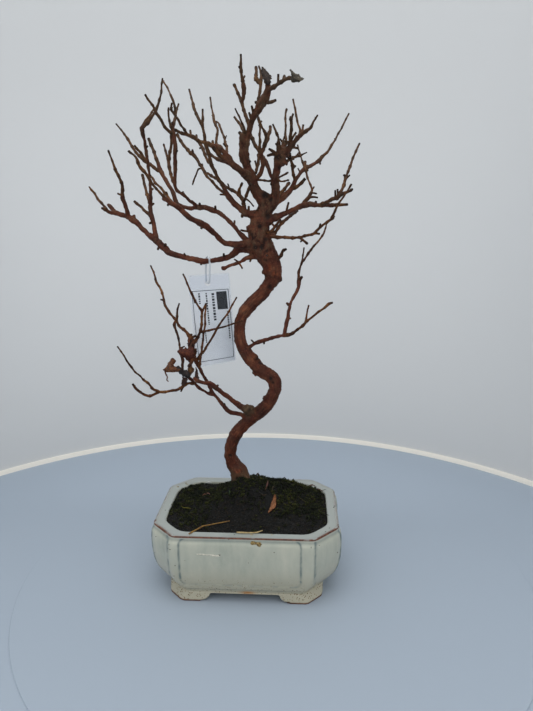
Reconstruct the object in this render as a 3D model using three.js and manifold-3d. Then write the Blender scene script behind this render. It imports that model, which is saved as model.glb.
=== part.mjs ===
import * as THREE from 'three';
import { mergeVertices } from 'three/addons/utils/BufferGeometryUtils.js';
import Module from 'manifold-3d';

// Black mulberry bonsai in a glazed pot. Millimetres, +Z up, the pot's long side along X.

const wasm = await Module();
wasm.setup();

// Driving dimensions
const clearance = 0.3;
const slopedClearance = 0.45;
const cutClearance = 0.4;

const pot = {
  height: 68,
  halfLength: 85,
  halfDepth: 58,
  cornerCut: 22,
  rimBand: 9.7,
  innerCornerCut: 18,
  footHeight: 7.5,
  floorTop: 14,
};

// The frame that stands proud round a plain panel, on the long faces and on the short faces.
const relief = {
  proud: 0.9,
  frameBottom: 13.2,
  frameTop: 67,
  frameCorner: 10,
  panelBottom: 19.4,
  panelTop: 64.6,
  panelCorner: 7,
  faces: [
    { frameHalf: 64.3, panelHalf: 54, alongX: false },
    { frameHalf: 35.6, panelHalf: 25.4, alongX: true },
  ],
};

// Half widths of the sloped arches between the feet, at the ground and under the body.
const arches = [
  { low: 38, high: 32.6, alongX: false },
  { low: 24, high: 19, alongX: true },
];
const footRise = 2;
const footToe = 0.6;
const footInstep = 1.4;
const footHollow = { halfX: 56, halfY: 38, cut: 16 };

const drain = {
  spacing: 36,
  holeRadius: 8,
  holeSides: 20,
  meshRadius: 12,
  meshSides: 24,
  meshThickness: 1,
  meshSlot: 3.2,
  meshPitch: 5,
};

const soil = {
  edgeHeight: 65.2,
  bottom: 15.6,
  rings: 9,
  ringSpread: 0.9,
  wallReach: 14,
  wallSwell: 0.25,
  lumpHeight: 0.7,
  lumpPitchX: 20,
  lumpPitchY: 17,
  slantPitch: 37,
};

const label = {
  width: 39,
  height: 86,
  tilt: 4,
  twist: 28,
  panes: [8, 14],
  depth: 22,
  wall: 0.6,
  cardThickness: 0.6,
  cardHeight: 71.5,
  weld: 1,
  holeRadius: 2.4,
  holeBelowTop: 8.5,
  holeSide: -1.4,
};

const tie = {
  radius: 1.1,
  sides: 8,
  steps: 28,
  halfWidth: 5.5,
  turn: 30,
  sideways: 1,
  sag: 0.2,
  squareness: 0.5,
  roundness: 0.86,
};

const leafThickness = 0.7;
const leafStalkRadius = 0.5;
const litter = { twigRadius: 0.8, strawRadius: 0.9, sides: 6, leafLift: 0.8, leafCurl: 0.8 };

// Limbs with a radius over this keep more of their bends, and every bar gets sides by its radius.
const limbRadius = 2.6;
const limbSlack = 0.45;
const twigSlack = 0.7;
const sidesOverRadius = [[5, 10], [limbRadius, 7], [1.4, 5], [0, 4]];
const spur = { taper: 0.6, thick: 1.6, leanX: 1.7, leanZ: 0.9 };

// The viewer's eye. Every branch point below is an [x, z] on the upright plane through the pot's middle, as
// seen from here, and its place is found by pushing that point along the line of sight to its depth y.
const eye = new THREE.Vector3(46.8, -492, 342);

// Each branch: name, the branch it grows from, depths y at even steps along it after its root (the trunk's
// list starts at its foot), its line of [x, z, radius] and its spurs and buds [x, z, tip x, tip z, radius].
const branches = [
  ['trunk', '', [18, 21, 14, 5, 6, 12, 14, 12], [
    [-7, 70, 10.5], [-7.1, 84, 10.5], [-7.4, 97, 9.2], [-8.1, 100, 8.5], [-9.4, 105, 8], [-13, 110, 7],
    [-15.2, 115, 6.3], [-16.8, 120, 5.9], [-16.8, 125, 5.5], [-16, 130, 5.6], [-14.3, 135, 5.9],
    [-12.3, 140, 5.9], [-9.4, 145, 5.8], [-4.7, 150, 5.6], [0.2, 155, 5.7], [5.5, 160, 6], [12.5, 165.5, 6],
    [17.5, 170.5, 5.8], [20.8, 175, 5.7], [23.4, 180, 5.6], [25.4, 185, 5.4], [26, 190, 5.8],
    [25, 195.5, 6.2],
    [20.5, 200, 6.2], [15, 203.2, 6], [10.4, 207.4, 6], [5.8, 212.8, 5.9], [0.8, 218.3, 5.5],
    [-2.2, 224, 5.4],
    [-4.6, 229.5, 5.2], [-5.6, 235, 5], [-6, 240, 4.8], [-6, 245, 4.7], [-5.1, 250, 4.8], [-3, 255, 5],
    [0, 260, 5.3], [5, 265.5, 5.6], [10.3, 271, 5.6], [15.7, 276.5, 5.7], [20.2, 282.6, 5.8],
    [23.4, 287.5, 6.6], [24, 293, 7.6], [22.9, 300, 8.4], [19.6, 307, 9.2], [16, 313, 10], [13.4, 320, 10.3],
    [12.5, 328, 9.5], [13, 336, 8.3], [14, 342, 7]],
    [[6, 162, -1.2, 168.5, 4.4], [18, 207, 6.5, 200.6, 2.6], [5, 219, 9.6, 216.4, 2.2],
    [21, 176, 15.2, 178.6, 2.4],
    [22, 292, 15.6, 294.4, 2.6], [19, 279, 24.4, 279, 2.6], [9, 330, 2.4, 331, 3]]],
  ['hubSpurRight', 'trunk', [8, 4], [[25, 305, 1.8], [30.3, 307.2, 1.3], [32.8, 311.6, 0.8],
    [35.9, 313.6, 0.7]], []],
  ['lowStubLeft', 'trunk', [6, 0], [[10, 308, 2.4], [1.8, 306.2, 1.5], [-3.3, 303.1, 1.2], [-8.5, 301, 1.1],
    [-13.6, 299.5, 1.1], [-18.2, 297.4, 1.6], [-20.8, 297.2, 1.4]],
    [[-5.4, 301.5, -2.6, 297, 0.6], [-5.5, 302, -9.5, 304.9, 0.5]]],
  ['leftLow', 'trunk', [19, 22, 33, 44, 54], [[10, 314, 6], [1.8, 314.9, 4.2], [-5.9, 313.6, 3.3],
    [-9.5, 309.8, 2.7], [-15.1, 306.9, 2.1], [-23.8, 304.6, 1.9], [-30, 303.5, 1.9], [-38.2, 303.4, 2.3],
    [-44.4, 304.6, 2], [-52.1, 306.7, 2], [-59.7, 308.5, 2], [-66.9, 310.8, 2.3], [-69.6, 313.6, 2.8],
    [-73.3, 316.6, 2.6], [-77.4, 321.3, 2.3], [-81.5, 323.9, 1.9], [-85.6, 327.7, 1.7], [-89.7, 331.8, 1.7],
    [-93.8, 336.2, 2], [-96.6, 338.2, 2.2], [-100.5, 340.8, 1.8], [-104.1, 342.5, 1.7], [-108.2, 343.5, 1.8],
    [-112.3, 344.9, 1.8]],
    [[-95.9, 338, -96, 343.2, 1.4]]],
  ['leftTipUpper', 'leftLow', [62], [[-112, 344.7, 1.6], [-115.4, 349.3, 1.3], [-118.2, 352, 1]], []],
  ['leftTipLower', 'leftLow', [50, 44], [[-111, 344.5, 1.5], [-116.4, 345.1, 1.3], [-119.5, 346.9, 1.2],
    [-124, 348.8, 0.8]], []],
  ['leftTipThin', 'leftTipLower', [58, 70], [[-118.8, 346.6, 0.9], [-121, 349.8, 0.8], [-124.1, 353.1, 0.9],
    [-126.7, 356.7, 0.7], [-129.7, 361.5, 0.7], [-133.5, 366.6, 0.4]], []],
  ['leftLowUp', 'leftLow', [42, 30, 20], [[-101, 341.5, 1.6], [-102.3, 348.5, 1.5], [-104.1, 354.1, 1.4],
    [-105.2, 358.5, 1.4], [-104.8, 363.4, 1.1], [-104.6, 369, 1], [-106.7, 373.9, 0.8], [-109.2, 379.6, 0.9],
    [-111.3, 386, 0.6], [-114.6, 396, 0.4]], [[-105, 358.6, -109.4, 361, 0.7]]],
  ['leftMidUp', 'leftLow', [46, 52], [[-77.6, 321.5, 2.2], [-78.5, 330.8, 1.7], [-79, 336.5, 1.6],
    [-80.3, 340.2, 1.6], [-81, 345.9, 1.5], [-81, 353.5, 1.4]],
    [[-79, 337, -83, 335.6, 1]]],
  ['leftMidUpSide', 'leftMidUp', [64, 72], [[-80.5, 341.5, 1.1], [-84.6, 344.7, 1], [-88.7, 349, 0.8],
    [-94.8, 354.2, 0.8]], []],
  ['leftMidUpBack', 'leftMidUp', [66, 76], [[-81, 352, 1.2], [-83.1, 358.7, 1], [-84.6, 365.4, 0.8],
    [-86.6, 376.2, 0.8]], []],
  ['leftTall', 'leftMidUp', [44, 34, 24, 14, 8], [[-81, 352, 1.4], [-80.5, 360, 1.2], [-80.3, 366.4, 1],
    [-80.5, 375.1, 0.9], [-81, 382.3, 1], [-82.1, 393.1, 1], [-83.1, 402.3, 1.1], [-84.4, 410.2, 1.4],
    [-84.4, 414, 1.3], [-81.8, 416, 1.2], [-77.2, 420, 1], [-74.6, 423.3, 0.8], [-72.2, 427, 0.8],
    [-69, 433.6, 0.7], [-67.4, 439.8, 0.5], [-65.4, 451, 0.35]],
    []],
  ['leftTallTwin', 'leftTall', [24, 30], [[-83.8, 414.4, 0.8], [-81.2, 419.2, 0.7], [-77.6, 422.6, 0.6],
    [-73, 429, 0.4]], []],
  ['leftUpper', 'trunk', [4, -8, -22, -34], [[9, 318, 5], [-0.8, 317.9, 3.2], [-5.9, 317.4, 2.6],
    [-10.5, 317.9, 2.3], [-17.2, 318.7, 2], [-20.8, 321.3, 1.9], [-25.4, 326, 1.8], [-30, 330.3, 2.1],
    [-34.1, 333.8, 2.4], [-38.2, 335.7, 2.5], [-42.3, 337.2, 2], [-47.6, 340.8, 2], [-53.1, 345.7, 2],
    [-57.2, 349, 2.1], [-62.3, 352.2, 1.7], [-66.9, 355.4, 1.7], [-70.5, 357, 1.4]],
    []],
  ['leftUpperTwig', 'leftUpper', [-46, -58], [[-67.5, 355.7, 1], [-71.3, 360.2, 0.8], [-75.4, 364.9, 0.7],
    [-78.5, 368.5, 0.8], [-81.5, 373.6, 1], [-84.1, 377.7, 1], [-87.4, 381.2, 1.1], [-89.5, 384.8, 1],
    [-90.8, 389.3, 0.8], [-93.8, 392.8, 0.6], [-97.8, 395.4, 0.5]], []],
  ['leftUpperTwigInner', 'leftUpper', [-22, -12], [[-62, 352.2, 1], [-66.2, 358.9, 0.8], [-71.8, 365.6, 0.7],
    [-75.9, 369.7, 0.8], [-79.9, 375.7, 0.5]], []],
  ['leftBack', 'trunk', [24, 36, 46], [[9, 319, 4], [1.8, 321, 2.2], [-1.8, 324.6, 1.8], [-5.4, 328.2, 1.6],
    [-9, 333.1, 1.4], [-15.6, 339.5, 1.3], [-19.7, 342.8, 1.4], [-22.8, 345, 1.6], [-26.4, 346.2, 1.8],
    [-30, 347.6, 1.8], [-34.1, 348.8, 1.8], [-38.2, 349.2, 1.8], [-42.3, 348.8, 1.5], [-46.4, 348.1, 1.3],
    [-51, 349, 1.4], [-54.6, 350, 1.6]],
    []],
  ['leftBackUp', 'leftBack', [54, 64, 72], [[-54, 349.8, 1.7], [-57.4, 350.8, 1.9], [-59.2, 354.8, 1.6],
    [-60.5, 360.6, 1.5], [-63.3, 365.6, 1.4], [-68.2, 374.1, 1.4], [-70.8, 379.4, 1.5], [-72.3, 384.4, 1.2],
    [-74.9, 391.6, 1], [-76.9, 397.7, 1], [-79.7, 405, 0.9]], []],
  ['leftBackTwig', 'leftBackUp', [74, 84], [[-70.5, 378.5, 1.3], [-73.6, 379.8, 1.1], [-78.5, 383.6, 1],
    [-82.6, 386.2, 1.1], [-86.7, 389.5, 0.9], [-90.3, 393.3, 0.8], [-93.8, 398.3, 0.8], [-96.3, 403, 0.8],
    [-100.3, 409.2, 0.6], [-106.4, 416.8, 0.4]], []],
  ['leftBackTwigLow', 'leftBackTwig', [66, 60], [[-82, 385.8, 0.9], [-86.7, 393.1, 0.8],
    [-92, 399.6, 0.6]], []],
  ['leftInner', 'leftBack', [30, 24, 18, 20], [[-40.5, 349, 1.5], [-42.8, 351.5, 1.2], [-46.9, 354.6, 1.1],
    [-51, 358.5, 1.1], [-55.1, 361.3, 1.1], [-57.9, 363.8, 1.3], [-59, 366.9, 1.4], [-58.9, 371, 1.3],
    [-58.5, 377.2, 1.3], [-57.9, 387.9, 1.4], [-57.5, 398.2, 1.5], [-58.2, 406.3, 1.6], [-58.7, 411.5, 1.4],
    [-58.7, 417.6, 0.9]], []],
  ['leftInnerFork', 'leftInner', [38, 46], [[-59, 368.5, 1.2], [-61.2, 372.6, 1], [-62.4, 377.2, 0.9],
    [-63.3, 382.8, 1.1], [-63.8, 387.8, 1], [-65, 392, 0.7], [-67.1, 400.6, 0.4]], []],
  ['leftInnerForkTip', 'leftInnerFork', [34], [[-63.6, 386.5, 1], [-62.6, 391.7, 0.9], [-61, 397.7, 0.8],
    [-60.3, 408, 0.5]], []],
  ['innerTopLeft', 'leftInner', [10], [[-58.7, 411, 0.9], [-60.6, 415, 0.6], [-61.8, 421.8, 0.5],
    [-61.4, 428.6, 0.4]], []],
  ['innerTopRight', 'leftInner', [34], [[-58.7, 413, 0.9], [-57, 418.7, 0.8], [-55.8, 423.6, 0.6],
    [-53, 431.4, 0.4]], []],
  ['innerTopCross', 'leftInner', [8, -2, -8], [[-58.3, 407.5, 1.1], [-61.3, 409.6, 1], [-64.6, 412.9, 0.9],
    [-67.9, 418.1, 0.8], [-70, 421.9, 1.1], [-72.6, 425.7, 0.8], [-74.3, 429.4, 0.6], [-77.2, 433.8, 0.6],
    [-80.6, 439, 0.5]], []],
  ['leader', 'trunk', [11, 9, 8], [[14, 338, 8], [16.4, 344.6, 6.3], [17.2, 350.6, 5.4], [15, 355.6, 4.7],
    [11, 360.4, 4.1], [8.5, 365.6, 3.7], [7.2, 370, 4], [5.6, 374.2, 4.2], [3.4, 380, 3.2], [1.5, 385.4, 3.3],
    [0.4, 391, 4.1], [0.3, 395.4, 3.2], [0.9, 400, 3.7], [1.2, 405, 4], [1.2, 407.6, 3]],
    [[12, 361, 20.8, 357.8, 2.3]]],
  ['leftCrown', 'leader', [0, -8], [[5.2, 372, 3], [-0.8, 377.2, 2.5], [-5.9, 381.1, 2.3],
    [-9.8, 384.2, 2.2]],
    []],
  ['leftCrownFar', 'leftCrown', [-18, -30, -42], [[-9, 383.6, 2], [-11.3, 388.2, 1.4], [-13.6, 391, 1.3],
    [-16.7, 393.6, 1.6], [-19.7, 396.2, 2.1], [-23.8, 397.9, 1.8], [-27.4, 398.9, 1.4], [-32.1, 401.1, 1.1],
    [-36.2, 402, 1], [-39.7, 404.2, 1.2], [-44.4, 406.4, 1.3], [-48.5, 408.1, 1.1], [-53.1, 409.5, 0.9],
    [-57.2, 411.6, 0.8]],
    [[-43.8, 406.4, -44.2, 410.8, 0.7]]],
  ['leftCrownOlive', 'leftCrownFar', [-50, -60], [[-46.6, 407.4, 0.7], [-51, 414.1, 0.6], [-54.6, 419.7, 0.6],
    [-57.2, 423.8, 0.7], [-59.2, 427.4, 0.7], [-58.7, 432, 0.4]], []],
  ['leftCrownOliveTip', 'leftCrownOlive', [-56, -48], [[-56.8, 423.2, 0.6], [-56.4, 428.3, 0.6],
    [-57.6, 434, 0.7], [-58.8, 437.2, 0.45], [-61.8, 443.3, 0.35], [-65.4, 449.9, 0.3]], []],
  ['leftCrownLow', 'leftCrown', [2, 14], [[-9.4, 383.6, 1.8], [-13.6, 385.6, 1.6], [-17.2, 386.9, 1.5],
    [-20.8, 387.4, 1.2], [-23.8, 388.9, 0.9], [-26.9, 391, 0.8], [-29, 393.1, 0.8], [-30.7, 397.1, 0.6]], []],
  ['leftCrownMid', 'leftCrown', [-22], [[-10, 384.2, 1.6], [-15.6, 388.2, 1.4], [-19.7, 390.5, 1.3],
    [-22.8, 394.1, 1.2], [-25.6, 397.5, 1.1]], []],
  ['crownUpright', 'leftCrownFar', [-12, -4, 2], [[-21.5, 397, 0.9], [-22.6, 401, 0.6], [-22.1, 406.8, 0.6],
    [-21.3, 410.7, 0.7], [-22.6, 414.6, 0.6], [-24.1, 418, 0.8], [-25.4, 426.3, 0.4], [-26.8, 436, 0.35]],
    []],
  ['crownUprightRight', 'leftCrownFar', [0, 10, 18], [[-14, 391.4, 1], [-14.2, 397.1, 0.7],
    [-15.6, 403.2, 0.6], [-17.7, 409.4, 0.6], [-19.2, 413, 0.7], [-20.4, 416.2, 0.4],
    [-22.5, 417.3, 0.5]], []],
  ['leftRising', 'trunk', [6, -6, -18, -26, -32], [[12, 341.5, 4.5], [2.8, 343.3, 2.6], [-0.8, 345.4, 2.1],
    [-4.4, 348.5, 2], [-8.5, 351.7, 2.2], [-12.1, 355.8, 2], [-14.6, 359.7, 1.8], [-16.4, 363.3, 1.4],
    [-18.7, 367.4, 1.3], [-21.3, 371.4, 1.1], [-23.8, 376.2, 1], [-26.2, 381.1, 1.1], [-27.6, 385.8, 1.1],
    [-29, 390.5, 1.1], [-30.7, 396.7, 1.3], [-32.1, 403.1, 0.9], [-32.8, 408.3, 0.8], [-33.6, 414.5, 0.8],
    [-33.6, 419.6, 0.6], [-33.2, 427.2, 0.5]],
    [[3.4, 343.6, 3.8, 349.4, 0.9], [-0.6, 345, -2.2, 340.8, 1], [-13.5, 358, -20.6, 359.4, 0.6]]],
  ['leftRisingFork', 'leftRising', [-24, -16], [[-33.4, 412.5, 0.9], [-34.8, 416, 1], [-36.7, 419.3, 0.9],
    [-38.7, 424, 0.8], [-40.8, 428.8, 0.9], [-41.8, 434, 0.5], [-43.9, 442.3, 0.4]], []],
  ['risingInner', 'leftRising', [-8, 2], [[-27.2, 383.5, 1], [-31, 388.1, 0.9], [-33.1, 393.1, 0.9],
    [-34.6, 397.5, 0.9], [-37.4, 401.2, 0.7]], []],
  ['risingBack', 'leftRising', [10, 26, 40], [[-14.4, 359.4, 1.2], [-18.7, 361.8, 0.8], [-23.8, 366.4, 0.7],
    [-29, 371.9, 0.7], [-32.6, 376.2, 0.9], [-34.8, 380.6, 1], [-37.2, 384.4, 0.9], [-39.7, 388.3, 0.9],
    [-42.3, 391.7, 1.3], [-45.9, 394.2, 1.1], [-49.5, 398.7, 0.9], [-52.6, 402.5, 0.9], [-55.3, 408, 0.7]],
    []],
  ['risingBackStalk', 'risingBack', [24, 30], [[-34.6, 380.3, 0.45], [-37.2, 380.6, 0.4], [-38.7, 379.7, 0.4],
    [-40.8, 375.1, 0.4], [-42.3, 372.1, 0.4], [-43.9, 367.7, 0.35]], []],
  ['risingLow', 'leftRising', [-2, 8], [[-18.4, 367, 1], [-22.8, 372.1, 0.9], [-26.4, 373.8, 0.9],
    [-31, 377, 0.6]], []],
  ['shortInner', 'leftRising', [20, 32], [[0.4, 344.8, 1.4], [-0.9, 353.6, 1.2], [-2.8, 356.9, 1.2],
    [-4.9, 359.7, 1.1], [-8.5, 361.9, 0.9], [-11, 363, 1.2], [-14.6, 365.4, 0.8], [-18, 368.3, 0.5]],
    []],
  ['shortInnerTip', 'shortInner', [16], [[-3.6, 358, 0.9], [-4.2, 362.9, 0.9], [-2.8, 365.8, 0.7],
    [-1.3, 369, 0.5]], []],
  ['shortFront', 'shortInner', [2, -6], [[-0.9, 353, 0.9], [0.9, 356.2, 0.8], [2.3, 359.7, 0.9],
    [3.8, 363.8, 0.9], [5.6, 367.9, 0.7]], [[1.2, 356, 7.9, 349.5, 0.45]]],
  ['innerRight', 'trunk', [8, 2, -2], [[14, 338, 7], [18.6, 345, 5.2], [22.8, 350.4, 4.3], [25.8, 357.2, 3.6],
    [26.8, 364, 3.2], [26.2, 370, 3.3], [27, 375, 2.7], [28, 380, 2.6], [29.2, 385, 3.6], [30.8, 390, 4.4],
    [31.6, 394, 3.6], [31.8, 396.6, 2.2]],
    [[29, 391, 20, 390.2, 1], [30, 388, 21.4, 395.4, 0.9], [30.6, 386, 36.6, 383.6, 1.6],
    [31, 391, 37.4, 390, 2], [31.6, 396, 34, 405, 0.6]]],
  ['innerRightUp', 'innerRight', [-10, -18], [[31, 392, 2.6], [29, 398, 1.2], [29, 404.4, 0.7],
    [27.2, 408.6, 0.7], [24.4, 414.6, 0.4]], []],
  ['backTwig', 'innerRight', [12, 24, 28, 30], [[26.4, 369.5, 1.6], [22.2, 375.1, 1.2], [20.5, 380.4, 1.3],
    [19, 384.4, 1.4], [16.4, 388.5, 1.2], [13.8, 392.6, 1.2], [10.5, 397.7, 1], [7.7, 402.5, 1.1],
    [5.3, 409, 1.1], [4.6, 414.3, 1.2], [2.4, 420.8, 1.1], [0.3, 427.3, 1], [-1.3, 432.6, 1.2],
    [-3.3, 437.3, 1], [-5.4, 441.9, 0.9], [-7.3, 445.6, 0.7]], []],
  ['topMost', 'backTwig', [22, 16], [[-0.9, 431, 1.2], [0.3, 435, 1.1], [1, 438.3, 1.4], [0.8, 443.2, 1.4],
    [0.3, 447.8, 1.2], [-0.8, 452.1, 0.8], [-1.3, 455.5, 1], [-1, 460.6, 0.7], [-1.1, 467.6, 0.5]],
    []],
  ['backTwigDown', 'backTwig', [8, 2], [[13.8, 392.6, 1.2], [12.6, 387.9, 1.1], [11.4, 381.9, 0.9],
    [10.3, 376.3, 0.7]], []],
  ['midTwig', 'leader', [2, -10], [[7.4, 369.5, 2], [11.8, 373.1, 1.4], [14.4, 378, 1.5], [15.9, 382.3, 1.6],
    [15.4, 387.2, 1.4], [14.7, 391, 1.6], [14.5, 393.2, 1.7]], []],
  ['midTwigUp', 'midTwig', [-16, -22], [[14.6, 392.4, 1.3], [13.6, 396.8, 0.8], [13.6, 404.9, 0.6],
    [13.8, 410.9, 0.6], [12.8, 418, 0.5], [12.2, 422, 0.4]], []],
  ['midTwigRight', 'midTwig', [-4, 6], [[14.5, 392, 1.6], [16.9, 396.2, 1.3], [19, 400.8, 1.1],
    [20.5, 405.7, 1], [22.2, 408.9, 1], [22.3, 413, 0.9]], []],
  ['midTwigCurvy', 'midTwigRight', [-14, -28], [[16.6, 395.8, 1], [18, 400.6, 0.8], [18.5, 405.6, 0.8],
    [17.7, 408.6, 1], [15.9, 411.9, 0.6], [13.8, 416, 0.7], [12.5, 419.9, 0.6]],
    []],
  ['topLimb', 'leader', [6, 0, -6, -10], [[1.2, 402.5, 3], [3.4, 405.4, 2.2], [4.6, 409.4, 1.9],
    [6.2, 414.3, 1.9], [7.7, 418.4, 2], [9.7, 422.2, 2.3], [12.3, 425.8, 2.7], [14.9, 429.9, 2.9],
    [17.4, 433.8, 2.9], [19.6, 437.1, 2.6], [20.5, 440.5, 2.3], [20.5, 444.4, 1.9], [20.4, 448, 1.7]],
    [[6.8, 417, 5, 424, 0.7], [8.8, 420.8, 7.2, 428.8, 0.7]]],
  ['topRightArm', 'topLimb', [-18, -28], [[20, 439, 1.9], [21.9, 441.4, 1.6], [25.1, 442.4, 1.3],
    [28.2, 444.7, 1.2], [31.8, 446.8, 1.1], [34.9, 448.3, 1.1], [37.9, 449, 1.1], [40.8, 449.2, 0.9]],
    [[28.8, 445, 29, 452.4, 0.8]]],
  ['topRightSpur', 'topLimb', [4], [[17, 432, 1.2], [22.1, 431.3, 0.9], [26.8, 432.8, 0.7]], []],
  ['topLeftArm', 'topLimb', [4, 10], [[12, 425.4, 1.4], [12.6, 431.8, 0.9], [13.4, 436.7, 0.9],
    [14.4, 442.2, 0.9], [14.7, 446.5, 1.1], [15.3, 450.8, 0.9], [14.9, 454.5, 0.6], [13.2, 458.5, 0.4]], []],
  ['topLeftArmTip', 'topLeftArm', [14], [[14.6, 445.6, 1], [11.2, 448.2, 1.1], [11, 451.4, 1],
    [11.3, 454.5, 0.8], [11, 458.2, 0.6]], []],
  ['leaderTwigBack', 'leader', [18, 26], [[1.2, 405.4, 1.4], [-0.8, 412.2, 0.9], [-3.8, 416, 0.7],
    [-7.2, 420.6, 0.7]], []],
  ['leaderTwigFront', 'leader', [-4, -16], [[1.2, 406, 1.2], [0.9, 411.6, 0.7], [-0.2, 414.6, 0.5],
    [-2.8, 419.6, 0.45], [-6.4, 427, 0.35]], []],
  ['knotRight', 'innerRight', [-12, -26], [[31.6, 392, 3], [38, 395.4, 2], [39, 400.4, 1.5],
    [39.2, 405.8, 1], [39.5, 410.9, 0.9], [39.7, 416, 1], [39.4, 420, 0.8]],
    [[39.6, 417.6, 41.2, 422.6, 0.6], [39, 401, 43.8, 408.2, 0.8], [38.4, 396.4, 45, 395.6, 0.8]]],
  ['knotBack', 'innerRight', [8, 16], [[32, 394, 1.8], [35.2, 401.6, 1], [34.9, 406.3, 0.7],
    [34.9, 413.5, 0.5], [34.9, 422.9, 0.5], [35.7, 426.2, 0.4]], []],
  ['knotFar', 'knotRight', [-28, -42], [[38.4, 396.4, 1.8], [42.6, 401.2, 1.5], [46.2, 404.7, 1.5],
    [49.2, 407.6, 1.4], [52.8, 409.9, 1.1], [55.6, 411.2, 0.8], [57.9, 416.7, 0.5], [61, 421, 0.4]],
    [[48.6, 407, 49.4, 413.8, 0.7]]],
  ['knotFarUp', 'knotFar', [-14, -10], [[45.6, 404.2, 1], [46.9, 409.8, 0.7], [45.1, 414.5, 0.5],
    [43.1, 423.7, 0.5], [40.9, 433.5, 0.35]], []],
  ['innerRightLow', 'innerRight', [10, 20], [[28.4, 381, 2], [31.8, 383.3, 1.5], [35.9, 385.7, 1],
    [40, 387.6, 0.8], [44.1, 389.3, 0.7], [48.6, 390.7, 0.6]], []],
  ['innerBack', 'innerRight', [20, 32], [[25.8, 357.4, 1.6], [29.2, 358.8, 1.1], [32.8, 362.3, 1],
    [38.2, 368.3, 0.9]], []],
  ['thinCross', 'leader', [14, 16, 20], [[6.8, 371, 1], [12.8, 371, 0.7], [16.9, 370.3, 0.6],
    [20.5, 370, 0.5],
    [24.6, 371, 0.6], [27.7, 371.8, 0.6], [31.8, 374, 0.5], [37.2, 376.9, 0.4]], []],
  ['thinCrossLow', 'innerRight', [-12], [[26.6, 372.4, 0.8], [30.8, 369.7, 0.5], [37.6, 370.6, 0.4]], []],
  ['rightHigh', 'trunk', [16, 26, 38, 50, 58], [[14, 340, 6], [20.5, 348.5, 4.2], [25.6, 352.6, 3.4],
    [30.8, 355.6, 2.9], [35.9, 359.2, 2.2], [39.5, 362.8, 1.8], [41.5, 366.4, 1.6], [43.3, 370.5, 1.4],
    [46.2, 374.6, 1.2], [48.7, 377.8, 1.3], [51.5, 380.1, 1.6], [55.4, 381.5, 1.3], [59, 383.6, 1.1],
    [62.6, 385.6, 1.3], [65.1, 388.3, 1], [67.7, 391, 0.9], [69.9, 393.2, 0.7], [72.3, 396.4, 0.8],
    [75.4, 401.8, 0.5], [79.6, 409, 0.5], [83, 415.5, 0.45], [86.4, 422, 0.35]],
    [[51, 379.8, 51.3, 385.2, 0.9]]],
  ['rightHighLow', 'rightHigh', [20], [[40.4, 364, 1.5], [43.8, 364.6, 1.2], [47.2, 367.4, 1.1],
    [51.6, 371.8, 1]], []],
  ['rightHighInner', 'rightHigh', [20, 4], [[43, 370, 1.2], [42.2, 373.7, 1], [41, 378.2, 0.9],
    [40.5, 382.3, 0.9], [39.5, 386.9, 0.8], [38.3, 392, 0.8]], []],
  ['rightMid', 'trunk', [4, -6, -18, -30], [[12.8, 334, 7], [20.5, 338, 4.2], [25.6, 339.9, 2.9],
    [30.8, 341.8, 2.1], [35.9, 343.8, 1.8], [41, 346.1, 1.7], [46.2, 348.7, 1.8], [51.3, 350.4, 2.1],
    [55.4, 350.9, 1.9], [59, 350.6, 1.5], [64.1, 350, 1.5], [69.2, 350.3, 1.4], [75, 350.1, 1.4],
    [81.3, 350.3, 1], [87.4, 350.5, 0.7]],
    [[35.6, 343.7, 37.6, 352.4, 0.8]]],
  ['rightMidUp', 'rightMid', [-36, -48], [[64, 350, 1.3], [68.5, 352, 1.1], [73.6, 354.3, 1.1],
    [78.7, 356.6, 1.4], [81.5, 358.3, 1.1], [85.4, 359.9, 0.8], [91, 363, 0.6]],
    [[77, 356, 76.7, 361.8, 0.6], [79, 357, 78.6, 363.2, 0.6]]],
  ['rightMidTall', 'rightMidUp', [-30, -18, -10], [[80, 357.5, 1.3], [82.8, 363.8, 1], [84.4, 369, 1],
    [85.6, 373.3, 0.8], [87.9, 379.4, 0.8], [90.5, 386.9, 0.6], [93.1, 393.4, 0.6], [95.7, 399, 0.4]],
    []],
  ['rightThin', 'rightMid', [-2, 8, 18], [[49, 349.8, 1.3], [51.8, 353.6, 1.1], [54.6, 356.4, 1.2],
    [56.4, 359.7, 0.8], [57.4, 362.5, 0.8], [56.4, 365.4, 0.5], [54.4, 370, 0.5], [52.1, 376.7, 0.5],
    [49.7, 383.5, 0.4], [47.9, 388.5, 0.4], [46.2, 393.1, 0.4], [44.9, 398.4, 0.35]],
    [[56.6, 360, 61.2, 359.4, 0.5], [54.4, 356, 62, 356.4, 0.55]]],
  ['rightLow', 'trunk', [-4, -18], [[16.5, 322, 4], [22, 325, 2], [27.7, 323.8, 1.1], [32.8, 323.6, 0.9],
    [38.5, 323.3, 0.9], [41.4, 323, 1.1], [44.6, 323.3, 0.8], [48.6, 323.5, 0.8]], []],
  ['rightLowEnd', 'rightLow', [-26], [[47.4, 323.4, 0.8], [50.5, 321, 0.7], [53.8, 318.2, 0.8]],
    []],
  ['rightLowUp', 'rightLow', [-28, -38, -46, -52, -56], [[48, 323.4, 0.9], [51.3, 324.6, 0.8],
    [55.4, 325.5, 0.8], [59, 326.6, 0.8], [61.5, 328.7, 0.8], [64.1, 331.3, 0.8], [68.2, 334.7, 0.7],
    [71.8, 337.2, 0.8], [75, 339.3, 1], [76, 343.4, 0.7], [77.7, 347.4, 0.6], [80.6, 352.4, 0.5],
    [83.5, 356.4, 0.45], [86.9, 361.6, 0.4], [90.2, 367.2, 0.35]],
    [[58.6, 326.4, 64.2, 326.4, 0.7]]],
  ['rightLowBack', 'rightLow', [16, 26, 34], [[23.5, 324.6, 1.5], [27, 328.7, 1], [29.4, 332.5, 1],
    [32.8, 336.3, 1.2], [37.9, 340.5, 0.9], [42.6, 343.9, 0.8], [45.6, 345.8, 0.7]], []],
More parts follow.
